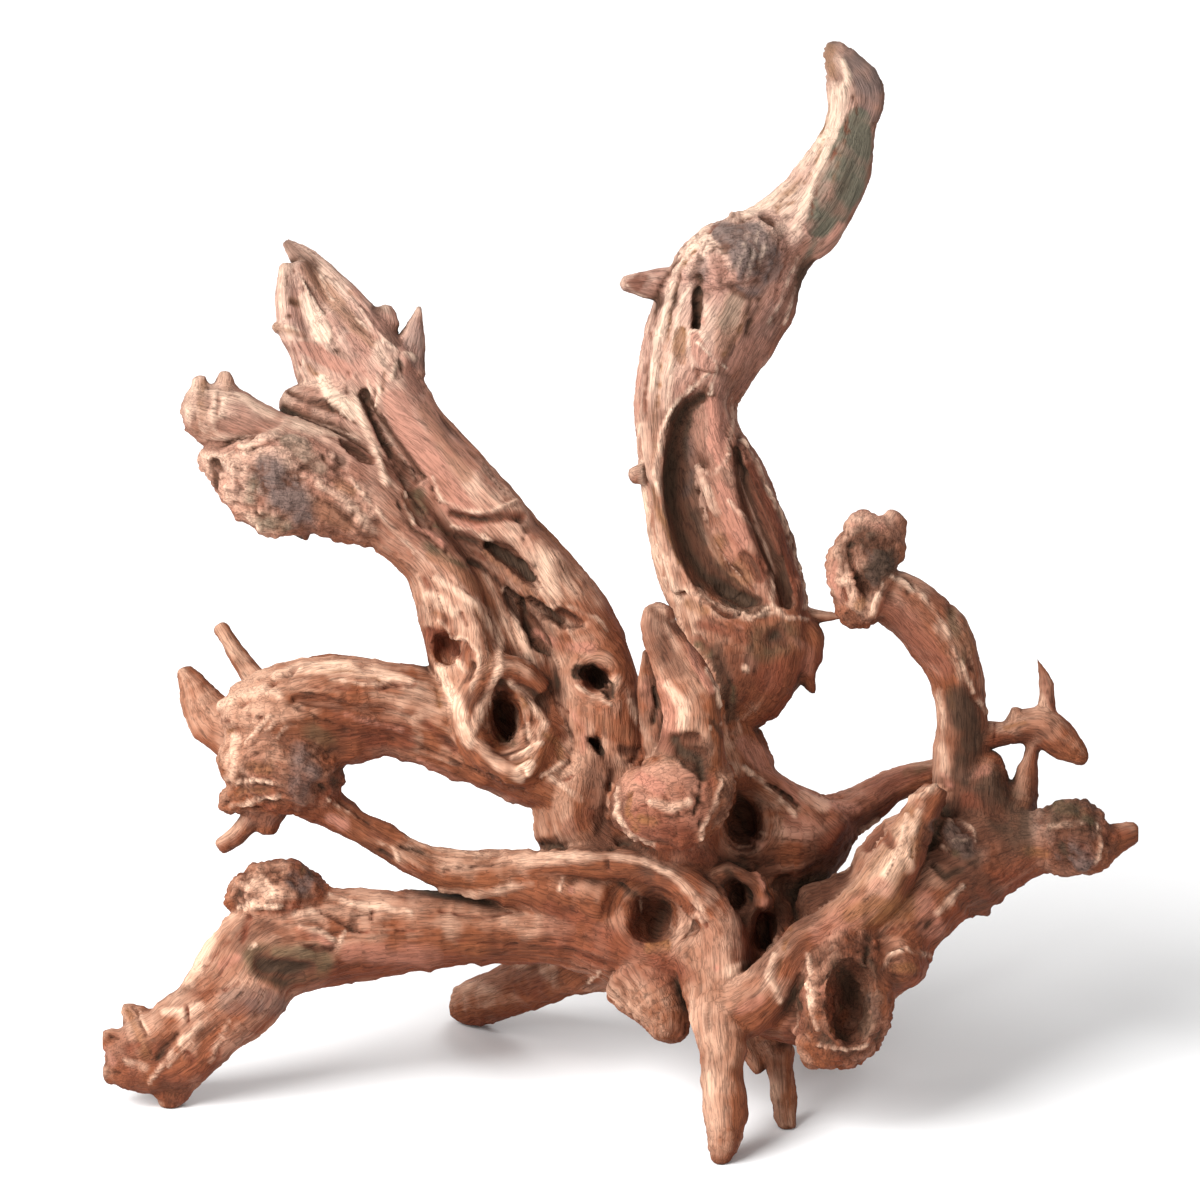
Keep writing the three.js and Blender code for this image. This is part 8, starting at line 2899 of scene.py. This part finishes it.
@dataclass(frozen=True)
class WoodFinish:
    """Weathered wood: fine grain along the fibres, dull, with fine cracks and grit."""

    name: str = "weathered_wood"
    grain_scale: float = 0.42
    hair_scale: float = 1.25
    line_scale: float = 0.3
    line_share: float = 0.65
    grit_scale: float = 480.0
    roughness: float = 0.8
    specular: float = 0.16
    hair_share: float = 0.6
    bump_strength: float = 0.8
    grain_depth: float = 0.001
    line_greys: tuple[tuple[float, float], ...] = (
        (0.44, 1.0),
        (0.487, 0.42),
        (0.5, 0.42),
        (0.53, 1.0),
    )
    grain_greys: tuple[tuple[float, float], ...] = (
        (0.3, 0.58),
        (0.48, 0.92),
        (0.7, 1.04),
        (0.98, 1.14),
    )

    def material(self) -> bpy.types.Material:
        """Make the node material.

        Returns:
            The material, which reads the values stored on each piece.
        """
        material = bpy.data.materials.new(self.name)
        material.use_nodes = True
        tree = material.node_tree
        shader = tree.nodes["Principled BSDF"]
        shader.inputs["Roughness"].default_value = self.roughness
        shader.inputs["Specular IOR Level"].default_value = self.specular
        share = self._attribute(tree, "grain_share")
        split = tree.nodes.new("ShaderNodeSeparateXYZ")
        tree.links.new(share.outputs["Vector"], split.inputs["Vector"])
        grain = self._mixed(tree, split, self.grain_scale, 4.0)
        hair = self._mixed(tree, split, self.hair_scale, 2.0)
        grit = tree.nodes.new("ShaderNodeTexNoise")
        grit.inputs["Scale"].default_value = self.grit_scale
        grit.inputs["Detail"].default_value = 3.0
        place = tree.nodes.new("ShaderNodeTexCoord")
        tree.links.new(place.outputs["Object"], grit.inputs["Vector"])
        burl = self._attribute(tree, "burl")
        both = self._math(tree, "ADD", grain, self._scaled(tree, hair, self.hair_share))
        lines = self._mixed(tree, split, self.line_scale, 2.0)
        cracks = self._ramp(tree, lines, self.line_greys)
        rough = self._mix_value(tree, burl.outputs["Fac"], both, grit.outputs["Fac"])
        # Stored colour: the wood's own tones with painted light and shade in them.
        tone = self._attribute(tree, "wood_tone_and_painted_light")
        dark = self._ramp(tree, rough, self.grain_greys)
        colour = tree.nodes.new("ShaderNodeMix")
        colour.data_type = "RGBA"
        colour.blend_type = "MULTIPLY"
        colour.inputs["Factor"].default_value = 1.0
        lined = tree.nodes.new("ShaderNodeMix")
        lined.data_type = "RGBA"
        lined.blend_type = "MULTIPLY"
        lined.inputs["Factor"].default_value = self.line_share
        tree.links.new(dark, lined.inputs[6])
        tree.links.new(cracks, lined.inputs[7])
        tree.links.new(tone.outputs["Color"], colour.inputs[6])
        tree.links.new(lined.outputs[2], colour.inputs[7])
        tree.links.new(colour.outputs[2], shader.inputs["Base Color"])
        bump = tree.nodes.new("ShaderNodeBump")
        bump.inputs["Strength"].default_value = self.bump_strength
        bump.inputs["Distance"].default_value = self.grain_depth
        height = self._math(tree, "ADD", rough, self._math(tree, "MULTIPLY", cracks, rough))
        tree.links.new(height, bump.inputs["Height"])
        tree.links.new(bump.outputs["Normal"], shader.inputs["Normal"])
        return material

    @staticmethod
    def _attribute(tree: bpy.types.NodeTree, name: str) -> bpy.types.Node:
        """Add a node that reads one of the mesh's stored values.

        Args:
            tree: The material's nodes.
            name: The stored values' name.

        Returns:
            The new node.
        """
        node = tree.nodes.new("ShaderNodeAttribute")
        node.attribute_name = name
        return node

    @staticmethod
    def _math(
        tree: bpy.types.NodeTree,
        work: str,
        first: bpy.types.NodeSocket,
        second: bpy.types.NodeSocket,
    ) -> bpy.types.NodeSocket:
        """Join two values with a math node.

        Args:
            tree: The material's nodes.
            work: The node's operation.
            first: The first value.
            second: The second value.

        Returns:
            The result's socket.
        """
        node = tree.nodes.new("ShaderNodeMath")
        node.operation = work
        tree.links.new(first, node.inputs[0])
        tree.links.new(second, node.inputs[1])
        return node.outputs[0]

    @staticmethod
    def _scaled(
        tree: bpy.types.NodeTree, value: bpy.types.NodeSocket, share: float
    ) -> bpy.types.NodeSocket:
        """Scale a value about its middle of one half, and shift the result to lie about zero.

        Args:
            tree: The material's nodes.
            value: The value to scale.
            share: How much of it stays.

        Returns:
            The result's socket.
        """
        node = tree.nodes.new("ShaderNodeMath")
        node.operation = "MULTIPLY_ADD"
        tree.links.new(value, node.inputs[0])
        node.inputs[1].default_value = share
        node.inputs[2].default_value = -0.5 * share
        return node.outputs[0]

    @staticmethod
    def _mix_value(
        tree: bpy.types.NodeTree,
        share: bpy.types.NodeSocket,
        first: bpy.types.NodeSocket,
        second: bpy.types.NodeSocket,
    ) -> bpy.types.NodeSocket:
        """Mix two values by a share.

        Args:
            tree: The material's nodes.
            share: How much of the second value to take.
            first: The value where the share is 0.
            second: The value where the share is 1.

        Returns:
            The result's socket.
        """
        node = tree.nodes.new("ShaderNodeMix")
        tree.links.new(share, node.inputs[0])
        tree.links.new(first, node.inputs[2])
        tree.links.new(second, node.inputs[3])
        return node.outputs[0]

    def _mixed(
        self, tree: bpy.types.NodeTree, split: bpy.types.Node, scale: float, detail: float
    ) -> bpy.types.NodeSocket:
        """Sample noise along each of three limbs' fibres and mix it by their shares.

        Args:
            tree: The material's nodes.
            split: The node that gives the three shares.
            scale: The noise's scale.
            detail: The noise's layers.

        Returns:
            The mixed value, about one half on average.
        """
        total = None
        for slot, name in enumerate(("grain_a", "grain_b", "grain_c")):
            noise = tree.nodes.new("ShaderNodeTexNoise")
            noise.inputs["Scale"].default_value = scale
            noise.inputs["Detail"].default_value = detail
            noise.inputs["Roughness"].default_value = 0.6
            tree.links.new(self._attribute(tree, name).outputs["Vector"], noise.inputs["Vector"])
            part = self._math(tree, "MULTIPLY", noise.outputs["Fac"], split.outputs[slot])
            total = part if total is None else self._math(tree, "ADD", total, part)
        return total

    @staticmethod
    def _ramp(
        tree: bpy.types.NodeTree,
        value: bpy.types.NodeSocket,
        stops: tuple[tuple[float, float], ...],
    ) -> bpy.types.NodeSocket:
        """Turn a value into a grey by a row of stops.

        Args:
            tree: The material's nodes.
            value: The value to turn.
            stops: The value and the grey at each stop.

        Returns:
            The grey's socket.
        """
        ramp = tree.nodes.new("ShaderNodeValToRGB")
        low = 0.2
        span = 0.8
        elements = ramp.color_ramp.elements
        while len(elements) < len(stops):
            elements.new(0.5)
        for element, (spot, grey) in zip(elements, stops):
            element.position = (spot - low) / span
            element.color = (grey, grey, grey, 1.0)
        shift = tree.nodes.new("ShaderNodeMapRange")
        shift.inputs["From Min"].default_value = low
        shift.inputs["From Max"].default_value = low + span
        tree.links.new(value, shift.inputs["Value"])
        tree.links.new(shift.outputs["Result"], ramp.inputs["Fac"])
        return ramp.outputs["Color"]


@dataclass
class Studio:
    """The pale floor, the soft light and the camera of the photograph."""

    floor_size: float = 16.0
    floor_grey: float = 0.85
    lens_mm: float = 320.0
    sensor_mm: float = 36.0
    key_place: tuple[float, float, float] = (-2.9, -2.1, 3.1)
    key_size: float = 3.2
    key_watts: float = 425.0
    fill_place: tuple[float, float, float] = (2.8, -2.6, 1.2)
    fill_watts: float = 22.0
    rim_place: tuple[float, float, float] = (0.8, 3.2, 2.6)
    rim_watts: float = 66.0
    small_size: float = 2.0
    aim: tuple[float, float, float] = (0.0, 0.0, 0.36)
    sky: float = 0.44

    def build(self) -> None:
        """Make the floor, the lights and the camera."""
        self._floor()
        self._light("key", self.key_place, self.key_size, self.key_watts)
        self._light("fill", self.fill_place, self.small_size, self.fill_watts)
        self._light("rim", self.rim_place, self.small_size, self.rim_watts)
        world = bpy.data.worlds.new("studio")
        bpy.context.scene.world = world
        world.use_nodes = True
        backdrop = world.node_tree.nodes["Background"]
        backdrop.inputs["Color"].default_value = (1.0, 1.0, 1.0, 1.0)
        backdrop.inputs["Strength"].default_value = self.sky
        bpy.context.scene.view_settings.view_transform = "Standard"
        self._camera()

    def _floor(self) -> None:
        """Lay the pale floor."""
        half = self.floor_size / 2.0
        mesh = bpy.data.meshes.new("floor")
        corners = [(-half, -half, 0.0), (half, -half, 0.0), (half, half, 0.0), (-half, half, 0.0)]
        mesh.from_pydata(corners, [], [(0, 1, 2, 3)])
        floor = bpy.data.objects.new("floor", mesh)
        bpy.context.scene.collection.objects.link(floor)
        paint = bpy.data.materials.new("floor_paint")
        paint.use_nodes = True
        shader = paint.node_tree.nodes["Principled BSDF"]
        shader.inputs["Base Color"].default_value = (*[self.floor_grey] * 3, 1.0)
        shader.inputs["Roughness"].default_value = 0.9
        shader.inputs["Specular IOR Level"].default_value = 0.1
        mesh.materials.append(paint)

    def _light(
        self, name: str, place: tuple[float, float, float], size: float, watts: float
    ) -> None:
        """Hang a soft square light that faces the wood.

        Args:
            name: The light's name.
            place: Where it hangs, in metres.
            size: The length of its sides, in metres.
            watts: Its power.
        """
        lamp = bpy.data.lights.new(name, "AREA")
        lamp.shape = "SQUARE"
        lamp.size = size
        lamp.energy = watts
        holder = bpy.data.objects.new(name, lamp)
        holder.location = place
        aim = Vector(self.aim) - Vector(place)
        holder.rotation_euler = aim.to_track_quat("-Z", "Y").to_euler()
        bpy.context.scene.collection.objects.link(holder)

    def _camera(self) -> None:
        """Set the camera where the photograph was taken from."""
        camera = bpy.data.cameras.new("camera")
        camera.lens = self.lens_mm
        camera.sensor_width = self.sensor_mm
        camera.clip_end = 60.0
        holder = bpy.data.objects.new("camera", camera)
        eye = board_to_frame(np.array([[0.0, -EYE_DISTANCE_MM, 0.0]]))[0] * MM
        holder.location = Vector(eye.tolist())
        holder.rotation_euler = (math.pi / 2.0 - LEAN, 0.0, 0.0)
        bpy.context.scene.collection.objects.link(holder)
        bpy.context.scene.camera = holder


def main() -> None:
    """Build the wood and the studio round the part's frame."""
    logging.basicConfig(level=logging.INFO, format="%(name)s: %(message)s")
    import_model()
    Studio().build()
    for skin in Driftwood().build():
        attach(skin, "root")
        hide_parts("driftwood")
        LOG.info("piece %s rides on root", skin.name)


if __name__ == "__main__":
    main()
